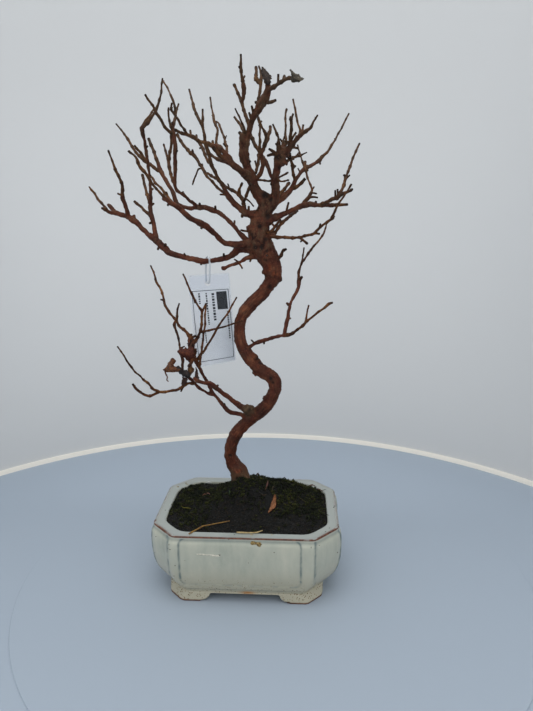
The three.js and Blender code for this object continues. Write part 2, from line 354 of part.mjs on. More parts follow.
  ['hubTwigRight', 'rightLow', [6, 2], [[21, 324.8, 1.5], [24.3, 330, 0.9], [26.9, 333.8, 0.8],
    [31, 338.4, 0.6]], []],
  ['hubStalk', 'trunk', [4], [[8, 328.6, 1], [0.8, 329, 0.5], [-3.2, 329.8, 0.4]], []],
  ['rightBranch', 'trunk', [2, -6, -12], [[-2.6, 224.6, 2.4], [2.3, 226.5, 1.3], [5.8, 228.6, 1.1],
    [9.2, 230.4, 1.6], [16.2, 232.7, 1.5], [23.7, 235, 1.4], [30.6, 236.9, 1.4], [35, 237.6, 1.6]],
    [[7.4, 229.4, 4.4, 233, 0.6]]],
  ['rightBranchOut', 'rightBranch', [-20, -30, -38], [[34.2, 237.4, 1.4], [38.7, 237.9, 1.2],
    [42.8, 240.4, 0.9], [46.4, 242.9, 0.8], [51, 246.8, 0.9], [54, 249.9, 0.8], [59.2, 254.4, 0.6],
    [65.4, 259.4, 0.6], [70, 262.8, 0.7], [73.6, 266.1, 1], [76.8, 267.2, 0.5]], []],
  ['rightBranchTwig', 'rightBranchOut', [-18, -10], [[52.8, 248.6, 0.8], [54.1, 256.3, 0.5],
    [55.8, 264.6, 0.4]], []],
  ['rightBranchUp', 'rightBranch', [-6, 2, 12], [[34.2, 237.4, 1.6], [35.2, 243.4, 1.4], [36.2, 248.5, 1.4],
    [37.4, 253.2, 1.3], [38.1, 258.8, 1.2], [39.1, 263.9, 1.3], [40.5, 268.1, 1.1], [42.5, 272.1, 1.1],
    [44.9, 276.5, 1.3], [46.6, 281, 1.3], [47.1, 286, 1.4], [46.6, 289.7, 1]],
    []],
  ['rightBranchTop', 'rightBranchUp', [18, 22], [[46.8, 288.4, 1], [46.8, 293.3, 0.8], [48.2, 299, 0.6],
    [49.5, 303, 0.7], [50.3, 308.2, 0.4], [51.1, 315, 0.35]], []],
  ['rightBranchTopOut', 'rightBranchTop', [30, 38, 46], [[49.4, 302.4, 0.7], [52.2, 305.9, 0.6],
    [55.4, 310.8, 0.7], [57.4, 313.5, 0.6], [60.5, 317.1, 0.5], [65.1, 322.6, 0.5], [67.7, 326.7, 0.6],
    [69.2, 331.2, 0.35], [70.1, 335, 0.3]], []],
  ['leftBranch', 'trunk', [6, -2, -10], [[5, 161.5, 4], [-1.8, 166.9, 3], [-6.9, 170, 2.2],
    [-12.1, 174.1, 1.9], [-17.2, 178.2, 1.8], [-22.3, 181.9, 1.7], [-27.4, 185.9, 1.8], [-30.9, 189.3, 2],
    [-34.5, 191.6, 1.8], [-37.6, 191.5, 1.5], [-41.3, 192.3, 1.4], [-45.4, 193.7, 1.5], [-48.2, 195.8, 1.2],
    [-49.7, 197, 0.9]], []],
  ['leftBranchLow', 'trunk', [14, 12, 8, 4, 0], [[2, 157, 3.5], [-5.4, 161.4, 1.8], [-10.5, 162.7, 1.8],
    [-14.6, 163.3, 1.7], [-18.2, 165.1, 1.8], [-20.8, 168.5, 1.6], [-24.9, 173.6, 1.3], [-29, 178.9, 1.3],
    [-32.1, 183, 1.3], [-34.6, 187.9, 1.3], [-36.9, 193, 1.3], [-39.2, 197.4, 1.2], [-41.8, 202.3, 1.2],
    [-44, 207.5, 1.3], [-46.3, 212.5, 1.4], [-48.2, 217, 1.6], [-49.8, 222, 1.9], [-50.3, 226.6, 2.1],
    [-50.4, 231.3, 2], [-50.4, 235.4, 1.7]],
    [[-50.4, 233.6, -46, 236.4, 0.8]]],
  ['lowTwig', 'leftBranchLow', [6, -4], [[-30.6, 180.9, 1.5], [-36.2, 182, 1.2], [-40.3, 184.4, 1.1],
    [-44.4, 187.1, 1.1], [-47.4, 190.3, 1.1], [-50.2, 193.8, 1.1], [-54.5, 197.9, 1.3], [-57.2, 201.2, 1.5]],
    []],
  ['lowFar', 'lowTwig', [-16, -24, -30], [[-48.6, 191.8, 1.1], [-54, 191.5, 1], [-58.1, 189.7, 1.2],
    [-61.4, 187.5, 0.9], [-65.8, 184.8, 1], [-70.9, 183.9, 0.8], [-78.1, 182.9, 0.8], [-82.4, 182.4, 1],
    [-86.3, 180.6, 0.9], [-91.4, 179, 1], [-95, 179.3, 0.9], [-98.6, 181, 0.8], [-102, 183.5, 0.9],
    [-107, 190.2, 0.6]], [[-58, 189.6, -61.8, 183.4, 0.6]]],
  ['lowFarUp', 'lowFar', [-36, -48, -60], [[-81.6, 182.4, 0.9], [-87.3, 185.1, 0.9], [-90.1, 188.5, 0.8],
    [-94.5, 192.9, 0.7], [-99.6, 197.9, 0.5], [-104.7, 203.1, 0.5], [-107.5, 206.8, 0.6],
    [-110.9, 212.5, 0.5],
    [-115, 220, 0.45], [-118.8, 226, 0.35]], []],
  ['nestLeft', 'leftBranchLow', [4, 8], [[-50.4, 234, 1.3], [-52.9, 238.3, 1], [-56, 241.4, 0.9],
    [-59.6, 244.3, 0.9], [-61.8, 248, 0.8], [-63.2, 251.5, 0.9]], []],
  ['nestLeftTall', 'nestLeft', [14, 22, 30, 38], [[-63, 251, 0.9], [-66.2, 254.3, 0.7], [-69.4, 258.1, 0.9],
    [-71.9, 263.1, 0.7], [-73.7, 268.2, 0.8], [-74, 272.4, 0.6], [-74.8, 276.4, 0.8], [-76.6, 279.9, 0.6],
    [-79.2, 284.6, 0.8], [-80.5, 290.3, 0.5], [-83.8, 299.6, 0.4]], []],
  ['nestLeftTip', 'nestLeft', [-2], [[-62.8, 250.4, 0.9], [-61.7, 259.5, 0.6], [-59.8, 266, 0.4]], []],
  ['nestHanging', 'nestLeft', [4, -2, -8], [[-63, 250.6, 1], [-65.2, 247, 0.9], [-63.2, 240, 0.7],
    [-61.7, 232.8, 0.6], [-60.9, 225.1, 0.6], [-59.7, 216.9, 0.9], [-58.8, 212.9, 1.1], [-59.1, 208.2, 0.8],
    [-59.4, 203.7, 0.8]], []],
  ['nestRight', 'leftBranchLow', [-8, -12, -16], [[-50.2, 229.6, 1.4], [-47.3, 230.9, 1.1], [-45.1, 234, 0.9],
    [-43.2, 237.4, 0.9], [-41.2, 241.2, 1], [-40.5, 246.6, 0.8], [-39.6, 254.4, 0.7], [-39.7, 258.9, 0.9],
    [-41.7, 262, 0.7], [-44.2, 266.7, 0.6], [-47.3, 272.8, 0.8], [-49.4, 277.2, 0.6], [-51.2, 282.6, 0.5],
    [-55.3, 292.4, 0.4]], []],
  ['nestRightTip', 'nestRight', [-10], [[-39.6, 258, 0.7], [-38, 261.4, 0.6], [-35.6, 266, 0.45]], []],
  ['nestCross', 'nestRight', [-12, -10, -6], [[-42, 239.8, 0.8], [-37.1, 240.9, 0.6], [-30.9, 242.3, 0.6],
    [-24.7, 243.8, 0.5], [-16, 246.2, 0.4], [-9.9, 248.5, 0.4], [-2.8, 250.7, 0.35]], []],
  ['nestStraight', 'leftBranchLow', [-6, -4, -2, 2], [[-43.9, 207.3, 1], [-42.2, 215.9, 0.7],
    [-40.6, 224.6, 0.6], [-39.1, 236.4, 0.6], [-37.6, 243.8, 0.6], [-37.1, 248.6, 0.6], [-36.8, 254.4, 0.5],
    [-36, 263.1, 0.45], [-35.6, 266.4, 0.4]], []],
  ['nestDiagonal', 'leftBranchLow', [-2, -4, -2, 4], [[-46.2, 212.4, 1], [-42.2, 219.2, 0.8],
    [-39.1, 222, 0.9], [-36.9, 226, 0.7], [-32.9, 231.8, 0.6], [-28.8, 238.6, 0.7], [-26.1, 243.8, 0.7],
    [-21.2, 250.8, 0.5], [-16, 257.9, 0.5], [-8, 271.8, 0.4]], []],
];

function alongSight(x, z, y) {
  const reach = (y - eye.y) / -eye.y;
  return new THREE.Vector3(eye.x + (x - eye.x) * reach, y, eye.z + (z - eye.z) * reach);
}

// Solids and booleans

function closedGeometry(positions, triangles) {
  const geometry = new THREE.BufferGeometry();
  geometry.setAttribute('position', new THREE.Float32BufferAttribute(positions, 3));
  geometry.setIndex(triangles);
  return geometry;
}

function solidOf(geometry) {
  const bare = geometry.clone();
  bare.deleteAttribute('normal');
  bare.deleteAttribute('uv');
  const merged = mergeVertices(bare, 1e-5);
  return new wasm.Manifold(new wasm.Mesh({
    numProp: 3,
    vertProperties: new Float32Array(merged.attributes.position.array),
    triVerts: new Uint32Array(merged.index.array),
  }));
}

function geometryOf(solid) {
  const mesh = solid.getMesh();
  const geometry = closedGeometry(Array.from(mesh.vertProperties), Array.from(mesh.triVerts));
  geometry.computeVertexNormals();
  return geometry;
}

function joined(solids) {
  return solids.reduce((whole, next) => whole.add(next));
}

function largestPiece(solid) {
  return solid.decompose().reduce((best, next) => (next.volume() > best.volume() ? next : best));
}

// A closed skin over rings of equal length, each ring going round counterclockwise seen from the last ring.
function skin(rings) {
  const count = rings[0].length;
  const positions = rings.flat().flatMap((p) => [p.x, p.y, p.z]);
  const triangles = [];
  for (let k = 0; k + 1 < rings.length; k += 1) {
    for (let i = 0; i < count; i += 1) {
      const a = k * count + i;
      const b = k * count + ((i + 1) % count);
      triangles.push(a, b, b + count, a, b + count, a + count);
    }
  }
  const caps = [[rings[0], 0, true], [rings[rings.length - 1], (rings.length - 1) * count, false]];
  for (const [ring, first, flipped] of caps) {
    const centre = ring.reduce((sum, p) => sum.add(p), new THREE.Vector3()).divideScalar(count);
    const hub = positions.length / 3;
    positions.push(centre.x, centre.y, centre.z);
    for (let i = 0; i < count; i += 1) {
      const a = first + i;
      const b = first + ((i + 1) % count);
      if (flipped) triangles.push(hub, b, a);
      else triangles.push(hub, a, b);
    }
  }
  return closedGeometry(positions, triangles);
}

// A round bar through the points, its sections turned as little as possible from one to the next.
function bar(points, radii, sides) {
  const tangents = points.map((p, i) => {
    const before = points[Math.max(i - 1, 0)];
    const after = points[Math.min(i + 1, points.length - 1)];
    return after.clone().sub(before).normalize();
  });
  const side = new THREE.Vector3(0, 1, 0);
  if (Math.abs(tangents[0].y) > 0.9) side.set(1, 0, 0);
  const rings = points.map((p, i) => {
    side.addScaledVector(tangents[i], -side.dot(tangents[i])).normalize();
    const up = new THREE.Vector3().crossVectors(tangents[i], side);
    return Array.from({ length: sides }, (unused, k) => {
      const angle = (k / sides) * 2 * Math.PI;
      return p.clone()
        .addScaledVector(side, radii[i] * Math.cos(angle))
        .addScaledVector(up, radii[i] * Math.sin(angle));
    });
  });
  return skin(rings);
}

// Pot

// A rectangle with cut corners. Its short edges, cuts and long edges are split into this many steps.
const plainEdges = [1, 1, 1];
const soilEdges = [6, 2, 8];

function cutRectangle(halfX, halfY, cut, z, [short, slant, long] = plainEdges) {
  const corners = [
    [halfX, -halfY + cut], [halfX, halfY - cut], [halfX - cut, halfY], [-halfX + cut, halfY],
    [-halfX, halfY - cut], [-halfX, -halfY + cut], [-halfX + cut, -halfY], [halfX - cut, -halfY],
  ];
  const splits = [short, slant, long, slant];
  const ring = [];
  corners.forEach(([x, y], i) => {
    const [nextX, nextY] = corners[(i + 1) % corners.length];
    const steps = splits[i % splits.length];
    for (let k = 0; k < steps; k += 1) {
      const t = k / steps;
      ring.push(new THREE.Vector3(x + (nextX - x) * t, y + (nextY - y) * t, z));
    }
  });
  return ring;
}

// Wall sections from the bottom up: height, half length, half depth, corner cut.
const outerSections = [
  [pot.footHeight, 70.5, 51.3, 18],
  [10, 72.5, 52.3, 19],
  [13, 75, 53.6, 20],
  [17, 79, 55.4, 21],
  [24, 83.4, 57.6, 22],
  [31, 85.7, 58.9, 22.4],
  [41, 86.9, 59.7, 22.4],
  [53, 87.2, 59.9, 22.2],
  [61, 86.6, 59.4, 22],
  [65, 85.4, 58.3, 22],
  [pot.height, pot.halfLength, pot.halfDepth, pot.cornerCut],
];

const innerSections = [
  [pot.floorTop, 63, 43, 15],
  [20, 71, 47, 18],
  [31, 75.4, 48.6, 18.6],
  [pot.height - 4, 75.6, 48.5, 18.2],
  [pot.height, pot.halfLength - pot.rimBand, pot.halfDepth - pot.rimBand, pot.innerCornerCut],
];

function loft(sections, grown = 0) {
  return skin(sections.map(([z, halfX, halfY, cut]) => cutRectangle(halfX + grown, halfY + grown, cut, z)));
}

// An upright outline carried right through the pot, along its short way or its long way.
function throughPot(outline, alongX) {
  const reach = 4 * pot.halfDepth;
  const prism = new THREE.ExtrudeGeometry(outline, { depth: reach, bevelEnabled: false, curveSegments: 4 });
  prism.translate(0, 0, -reach / 2);
  prism.rotateX(Math.PI / 2);
  if (alongX) prism.rotateZ(Math.PI / 2);
  return solidOf(prism);
}

// An outline with rounded lower corners, which bounds a frame or its panel.
function panelPrism(halfWidth, low, high, corner, alongX) {
  const outline = new THREE.Shape();
  outline.moveTo(-halfWidth, high);
  outline.lineTo(-halfWidth, low + corner);
  outline.quadraticCurveTo(-halfWidth, low, -halfWidth + corner, low);
  outline.lineTo(halfWidth - corner, low);
  outline.quadraticCurveTo(halfWidth, low, halfWidth, low + corner);
  outline.lineTo(halfWidth, high);
  outline.closePath();
  return throughPot(outline, alongX);
}

function framesSolid() {
  const proud = solidOf(loft(outerSections, relief.proud));
  return joined(relief.faces.map(({ frameHalf, panelHalf, alongX }) => {
    const outer = panelPrism(frameHalf, relief.frameBottom, relief.frameTop, relief.frameCorner, alongX);
    const inner = panelPrism(panelHalf, relief.panelBottom, relief.panelTop, relief.panelCorner, alongX);
    return proud.intersect(outer.subtract(inner));
  }));
}

function drainHole(centreX) {
  const hole = new THREE.CylinderGeometry(
    drain.holeRadius, drain.holeRadius, 3 * pot.floorTop, drain.holeSides);
  hole.rotateX(Math.PI / 2);
  hole.translate(centreX, 0, 0);
  return solidOf(hole);
}

function potSolid() {
  const [, mouthX, mouthY, mouthCut] = innerSections[innerSections.length - 1];
  const hollow = innerSections.concat([[2 * pot.height, mouthX, mouthY, mouthCut]]);
  return solidOf(loft(outerSections))
    .add(framesSolid())
    .subtract(solidOf(loft(hollow)))
    .add(footSolid())
    .subtract(drainHole(-drain.spacing))
    .subtract(drainHole(drain.spacing));
}

// Four bracket feet: a low ring round the base, cut through by a sloped arch along each axis.
function footSolid() {
  const { halfX, halfY, cut } = footHollow;
  const sections = [[0, 69, 51.2, 16.5], [3, 70.6, 51.6, 17.5], [pot.footHeight + footRise, 72, 52, 18.5]];
  const ring = solidOf(loft(sections))
    .subtract(solidOf(loft([[-footRise, halfX, halfY, cut], [pot.floorTop, halfX, halfY, cut]])));
  return arches.reduce((feet, { low, high, alongX }) => {
    const outline = new THREE.Shape();
    outline.moveTo(-low, -footRise);
    outline.lineTo(low, -footRise);
    outline.lineTo(low, footToe);
    outline.quadraticCurveTo(high, footInstep, high - 1, pot.footHeight);
    outline.lineTo(1 - high, pot.footHeight);
    outline.quadraticCurveTo(-high, footInstep, -low, footToe);
    outline.closePath();
    return feet.subtract(throughPot(outline, alongX));
  }, ring);
}

function meshDisc(centreX) {
  const disc = new THREE.CylinderGeometry(
    drain.meshRadius, drain.meshRadius, drain.meshThickness, drain.meshSides);
  disc.rotateX(Math.PI / 2);
  let whole = solidOf(disc);
  const reach = Math.floor((drain.meshRadius - drain.meshSlot) / drain.meshPitch);
  for (let i = -reach; i <= reach; i += 1) {
    for (let j = -reach; j <= reach; j += 1) {
      const far = Math.hypot(Math.abs(i) + 0.5, Math.abs(j) + 0.5) * drain.meshPitch;
      if (far < drain.meshRadius) {
        const slot = new THREE.BoxGeometry(drain.meshSlot, drain.meshSlot, 4 * drain.meshThickness);
        slot.translate(i * drain.meshPitch, j * drain.meshPitch, 0);
        whole = whole.subtract(solidOf(slot));
      }
    }
  }
  return whole.translate([centreX, 0, pot.floorTop + clearance + drain.meshThickness / 2]);
}

// Soil

// Mounds of the soil's top: centre x, y, height, spread along x and y.
const mounds = [
  [-6, 14, 19, 24, 25],
  [25, 19, 10, 19, 24],
  [48, 25, 6, 18, 17],
  [-44, -4, 2, 18, 22],
];

function soilTop(x, y) {
  const wave = (distance, pitch) => (distance / pitch) * 2 * Math.PI;
  const swell = mounds.reduce((sum, [cx, cy, height, spreadX, spreadY]) => (
    sum + height * Math.exp(-(((x - cx) / spreadX) ** 2) - ((y - cy) / spreadY) ** 2)), 0);
  const lumps = Math.sin(wave(x, soil.lumpPitchX)) * Math.cos(wave(y, soil.lumpPitchY))
    + Math.sin(wave(x - y, soil.slantPitch)) / 2;
  const toWall = Math.min(
    pot.halfLength - pot.rimBand - Math.abs(x),
    pot.halfDepth - pot.rimBand - Math.abs(y),
  );
  const inward = Math.min(Math.max(toWall / soil.wallReach, 0), 1);
  const rise = soil.wallSwell + (1 - soil.wallSwell) * inward;
  return soil.edgeHeight + swell * rise + soil.lumpHeight * lumps * inward;
}

// The pot's inner wall at a height, drawn in by the gap that the soil keeps to it.
function insideWall(z) {
  const above = innerSections.findIndex(([height]) => height >= z);
  const [low, high] = [innerSections[above - 1], innerSections[above]];
  const t = (z - low[0]) / (high[0] - low[0]);
  const [halfX, halfY, cut] = [1, 2, 3].map((i) => low[i] + (high[i] - low[i]) * t);
  return cutRectangle(halfX - slopedClearance, halfY - slopedClearance, cut, z, soilEdges);
}

function soilSolid() {
  const rings = [soil.bottom, innerSections[1][0], innerSections[2][0]].map(insideWall);
  const edge = insideWall(soil.edgeHeight);
  for (let k = 0; k < soil.rings; k += 1) {
    const inward = 1 - (k / soil.rings) ** soil.ringSpread;
    rings.push(edge.map((p) => {
      const x = p.x * inward;
      const y = p.y * inward;
      return new THREE.Vector3(x, y, soilTop(x, y));
    }));
  }
  const geometry = skin(rings);
  const hub = geometry.attributes.position.count - 1;
  geometry.attributes.position.setZ(hub, soilTop(0, 0));
  return solidOf(geometry);
}

// Tree

// Points of a line that its shape needs: those further than slack from the straight run between their ends.
function simplified(points, radii, slack) {
  const first = 0;
  const last = points.length - 1;
  if (last < 2) return { points, radii };
  const run = new THREE.Line3(points[first], points[last]);
  const nearest = new THREE.Vector3();
  let worst = 0;
  let split = 0;
  for (let i = 1; i < last; i += 1) {
    const t = run.closestPointToPointParameter(points[i], true);
    run.at(t, nearest);
    const bend = nearest.distanceTo(points[i]);
    const swell = Math.abs(radii[i] - (radii[first] + (radii[last] - radii[first]) * t));
    const miss = Math.max(bend, swell);
    if (miss > worst) {
      worst = miss;
      split = i;
    }
  }
  if (worst < slack) return { points: [points[first], points[last]], radii: [radii[first], radii[last]] };
  const near = simplified(points.slice(0, split + 1), radii.slice(0, split + 1), slack);
  const far = simplified(points.slice(split), radii.slice(split), slack);
  return { points: near.points.concat(far.points.slice(1)), radii: near.radii.concat(far.radii.slice(1)) };
}

function depthNear(line, depths, x, z) {
  let best = Infinity;
  let depth = 0;
  for (let i = 0; i + 1 < line.length; i += 1) {
    const [ax, az] = line[i];
    const [bx, bz] = line[i + 1];
    const length = Math.max(Math.hypot(bx - ax, bz - az), 1e-6);
    const t = Math.min(Math.max(((x - ax) * (bx - ax) + (z - az) * (bz - az)) / length ** 2, 0), 1);
    const away = Math.hypot(ax + (bx - ax) * t - x, az + (bz - az) * t - z);
    if (away < best) {
      best = away;
      depth = depths[i] + (depths[i + 1] - depths[i]) * t;
    }
  }
  return depth;
}

function spreadDepths(line, knots) {
  const runs = line.slice(1).map(([x, z], i) => Math.hypot(x - line[i][0], z - line[i][1]));
  const total = runs.reduce((sum, run) => sum + run, 0);
  let gone = 0;
  return line.map((point, i) => {
    if (i > 0) gone += runs[i - 1];
    const at = (gone / total) * (knots.length - 1);
    const k = Math.min(Math.floor(at), knots.length - 2);
    return knots[k] + (knots[k + 1] - knots[k]) * (at - k);
  });
}

function sidesFor(radius) {
  const [, sides] = sidesOverRadius.find(([over]) => radius > over);
  return sides;
}

const placed = new Map();
for (const [name, parent, knots, line, spurs] of branches) {
  const rooted = placed.get(parent);
  const start = rooted ? [depthNear(rooted.line, rooted.depths, line[0][0], line[0][1])] : [];
  const depths = spreadDepths(line, start.concat(knots));
  placed.set(name, { line, depths, spurs });
}

function branchRun({ line, depths }) {
  const points = line.map(([x, z], i) => alongSight(x, z, depths[i]));
  const radii = line.map(([, , radius], i) => radius * ((depths[i] - eye.y) / -eye.y));
  return simplified(points, radii, Math.max(...radii) > limbRadius ? limbSlack : twigSlack);
}

function branchBar(branch, grown = 0) {
  const { points, radii } = branchRun(branch);
  return solidOf(bar(points, radii.map((radius) => radius + grown), sidesFor(Math.max(...radii))));
}

// The branch's middle and radius where it passes a given x.
function branchAt(name, x) {
  const { points, radii } = branchRun(placed.get(name));
  const k = points.findIndex((p, i) => i > 0 && (p.x - x) * (points[i - 1].x - x) <= 0);
  const t = (x - points[k - 1].x) / (points[k].x - points[k - 1].x);
  return { middle: points[k - 1].clone().lerp(points[k], t), radius: Math.max(radii[k - 1], radii[k]) };
}

// A spur leans to the front or to the back by a rule that differs from spur to spur.
function spurBar({ line, depths }, [x, z, tipX, tipZ, radius]) {
  const depth = depthNear(line, depths, x, z);
  const lean = Math.sin(x * spur.leanX + z * spur.leanZ);
  const tipDepth = depth + lean * Math.hypot(tipX - x, tipZ - z);
  const points = [alongSight(x, z, depth), alongSight(tipX, tipZ, tipDepth)];
  return solidOf(bar(points, [radius, spur.taper * radius], radius > spur.thick ? 5 : 3));
}

function branchSolid(name) {
  const branch = placed.get(name);
  return joined([branchBar(branch), ...branch.spurs.map((line) => spurBar(branch, line))]);
}

function treeSolid() {
  return joined(branches.map(([name]) => branchSolid(name)));
}

// The space that other pieces keep clear of round the named branches.
function roundBranches(names, gap) {
  return joined(names.map((name) => branchBar(placed.get(name), gap)));
}

// Dead leaves

// Each leaf: colour, the branches that hold it, and rows across its blade, each with the edge points [x, z]
// on both sides and the depths y at the first edge, the middle and the second edge.
const leaves = {
  leaf_low_large: {
    colour: 0x6b3a2a,
    heldBy: ['leftBranchLow', 'nestHanging', 'nestLeft', 'nestRight'],
    rows: [
      [-63.4, 222.8, -63.2, 221.4, -6, -6.4, -6],
      [-60.6, 225, -61.4, 218.6, -5, -7.4, -5.6],
      [-56.2, 226.2, -58, 216.2, -3.6, -7.4, -4],
      [-53, 226.4, -54.4, 212.8, -3, -7, -2.6],
      [-49.6, 225.4, -51.4, 212, -2.6, -5.6, -1],
      [-48.4, 223.4, -49.8, 214.6, -2.6, -4.4, -0.6],
    ],
  },
  leaf_low_curled: {
    colour: 0x5d3a26,
    heldBy: ['nestHanging', 'lowFar'],
    stalk: [[-74.6, 203, -6], [-74.3, 198, -5], [-73.9, 195.4, -5.4], [-73.1, 193.4, -6.6]],
    rows: [
      [-68.4, 215.6, -67.2, 215.4, -3, -3.6, -3],
      [-68.9, 211.6, -65.4, 212.4, -2.4, -5, -2.6],
      [-71, 208.7, -63.2, 209.4, -2, -7, -4],
      [-74.2, 206.4, -59.9, 205.6, -3, -9, -5.4],
      [-76.2, 204, -61.6, 203, -5, -10, -7.6],
      [-74.2, 201.6, -68, 200.4, -6.4, -9, -8.4],
    ],
  },
  leaf_low_small: {
    colour: 0x55502f,
    heldBy: ['lowTwig', 'leftBranchLow'],
    rows: [
      [-54.8, 206.8, -54.2, 199, -8, -9.2, -7],
      [-52.4, 207.3, -51.6, 200.6, -7.4, -9.6, -7.4],
      [-50, 207, -50, 202, -6.6, -8, -7],
      [-48.4, 206.4, -48.7, 204.6, -6, -6.4, -6.2],
    ],
  },
  leaf_low_dark: {
    colour: 0x2e1f19,
    heldBy: ['lowTwig', 'lowFar'],
    rows: [
      [-60.9, 197, -56.6, 197.8, -9, -10.6, -9],
      [-60.6, 194, -55.7, 193.6, -8.6, -11, -9.4],
      [-60, 190.8, -56.8, 190.4, -9, -10.4, -9.8],
      [-59.9, 188.6, -58.6, 188.4, -9.6, -10, -9.8],
    ],
  },
  leaf_low_scrap: {
    colour: 0x33231b,
    heldBy: ['leftBranch', 'leftBranchLow'],
    rows: [
      [-47.6, 207.4, -45.4, 207.2, -2, -3, -2],
      [-48, 203.4, -45, 203, -3.4, -5, -3.6],
      [-47.8, 199.4, -45.2, 199, -5.4, -7, -5.6],
      [-47.4, 194.6, -46, 194.6, -8, -8.8, -8.2],
    ],
  },
  leaf_top_left: {
    colour: 0x3c2a22,
    heldBy: ['topLimb', 'topLeftArm', 'topLeftArmTip'],
    rows: [
      [15.4, 458.4, 16.8, 458.6, -6, -6.4, -6],
      [14.7, 454.6, 17.6, 455.4, -8, -9, -7],
      [15.4, 451.8, 20.6, 453.1, -10, -11.6, -9],
      [17.2, 448.6, 22.8, 450, -12, -14, -11],
      [18.6, 445.2, 23.7, 447, -12, -14, -12],
    ],
  },
  leaf_top_right: {
    colour: 0x454138,
    heldBy: ['topRightArm'],
    rows: [
      [36.8, 456, 39.4, 447.4, -32, -34, -30],
      [40.2, 453.8, 41.4, 446, -32.6, -35.4, -29.4],
      [45, 451.6, 45.2, 445.6, -34, -36.4, -31],
      [49.7, 448.9, 48.8, 447.2, -36, -36.6, -35],
    ],
  },
};

const columnsAcross = 4;

function leafBlade(rows, slide) {
  const grid = rows.map(([ax, az, bx, bz, depthA, depthMid, depthB]) => (
    Array.from({ length: columnsAcross + 1 }, (unused, k) => {
      const t = k / columnsAcross;
      const depth = depthA * (1 - t) * (1 - 2 * t) + depthMid * 4 * t * (1 - t) + depthB * t * (2 * t - 1);
      return alongSight(ax + (bx - ax) * t, az + (bz - az) * t, depth + slide);
    })));
  return thickSheet(grid, leafThickness);
}

// A sheet of the given thickness whose middle runs through a grid of points.
function thickSheet(grid, thickness) {
  const rows = grid.length;
  const columns = grid[0].length;
  const at = (i, j) => grid[Math.min(Math.max(i, 0), rows - 1)][Math.min(Math.max(j, 0), columns - 1)];
  const normals = grid.map((row, i) => row.map((p, j) => {
    const along = at(i + 1, j).clone().sub(at(i - 1, j));
    const across = at(i, j + 1).clone().sub(at(i, j - 1));
    return across.cross(along).normalize();
  }));
  const positions = [];
  for (const side of [0.5, -0.5]) {
    grid.forEach((row, i) => row.forEach((p, j) => {
      const q = p.clone().addScaledVector(normals[i][j], side * thickness);
      positions.push(q.x, q.y, q.z);
    }));
  }
  const back = rows * columns;
  const id = (i, j) => i * columns + j;
  const triangles = [];
  for (let i = 0; i + 1 < rows; i += 1) {
    for (let j = 0; j + 1 < columns; j += 1) {
      const [a, b, c, d] = [id(i, j), id(i, j + 1), id(i + 1, j + 1), id(i + 1, j)];
      triangles.push(a, b, c, a, c, d, back + a, back + c, back + b, back + a, back + d, back + c);
    }
  }
  const rim = [];
  for (let j = 0; j + 1 < columns; j += 1) rim.push(id(0, j));
  for (let i = 0; i + 1 < rows; i += 1) rim.push(id(i, columns - 1));
  for (let j = columns - 1; j > 0; j -= 1) rim.push(id(rows - 1, j));
  for (let i = rows - 1; i > 0; i -= 1) rim.push(id(i, 0));
  rim.forEach((a, k) => {
    const b = rim[(k + 1) % rim.length];
    triangles.push(b, a, back + a, b, back + a, back + b);
  });
  return solidOf(closedGeometry(positions, triangles));
}

// The leaf slides along the line of sight until it touches what holds it, and is cut clear of it there.
function leafSolid({ rows, stalk, heldBy }) {
  const holder = roundBranches(heldBy, cutClearance);
  const step = 0.3;
  const mostSteps = 40;
  const touch = 0.03;
  let blade;
  for (let k = 0; k <= mostSteps; k += 1) {
    const slide = step * (k % 2 ? (k + 1) / 2 : -k / 2);
    blade = leafBlade(rows, slide);
    if (stalk) {
      const points = stalk.map(([x, z, y]) => alongSight(x, z, y + slide));
      blade = blade.add(solidOf(bar(points, points.map(() => leafStalkRadius), sidesFor(limbRadius))));
    }
    if (blade.intersect(holder).volume() > touch) break;
  }
  return largestPiece(blade.subtract(holder));
}

// Label

// The label's own plane: u to the right, v up, w to the back, from its middle.
const labelMiddle = alongSight(-29.9, 251.2, label.depth);
const labelFrame = new THREE.Matrix4()
  .makeTranslation(labelMiddle.x, labelMiddle.y, labelMiddle.z)
  .multiply(new THREE.Matrix4().makeRotationY(THREE.MathUtils.degToRad(-label.tilt)));

// A flat block in the label's plane that turns more and more towards the label's foot.
function labelBlock(width, height, thickness, low) {
  const [across, down] = label.panes;
  const block = new THREE.BoxGeometry(width, thickness, height, across, 1, down);
  block.translate(0, 0, low + height / 2);
  const corners = block.getAttribute('position');
  for (let i = 0; i < corners.count; i += 1) {
    const u = corners.getX(i);
    const w = corners.getY(i);
    const v = corners.getZ(i);
    const turn = THREE.MathUtils.degToRad(label.twist) * (0.5 - v / label.height) ** 2;
    corners.setXYZ(i, u * Math.cos(turn) - w * Math.sin(turn), u * Math.sin(turn) + w * Math.cos(turn), v);
  }
  block.applyMatrix4(labelFrame);
  return solidOf(block);
}

const pocketGap = label.cardThickness + 2 * clearance;
const sleeveThickness = pocketGap + 2 * label.wall;
const labelLow = -label.height / 2;
const holeHeight = label.height / 2 - label.holeBelowTop;

function sleeveSolid() {
  const pocket = labelBlock(label.width - 2 * label.weld, label.height, pocketGap, labelLow + label.weld);
  const hole = new THREE.CylinderGeometry(label.holeRadius, label.holeRadius, 4 * sleeveThickness, 16);
  hole.translate(label.holeSide, 0, holeHeight);
  hole.applyMatrix4(labelFrame);
  return labelBlock(label.width, label.height, sleeveThickness, labelLow)
    .subtract(pocket)
    .subtract(solidOf(hole));
}

function cardSolid() {
  const margin = label.weld + clearance;
  return labelBlock(label.width - 2 * margin, label.cardHeight, label.cardThickness, labelLow + margin);
}

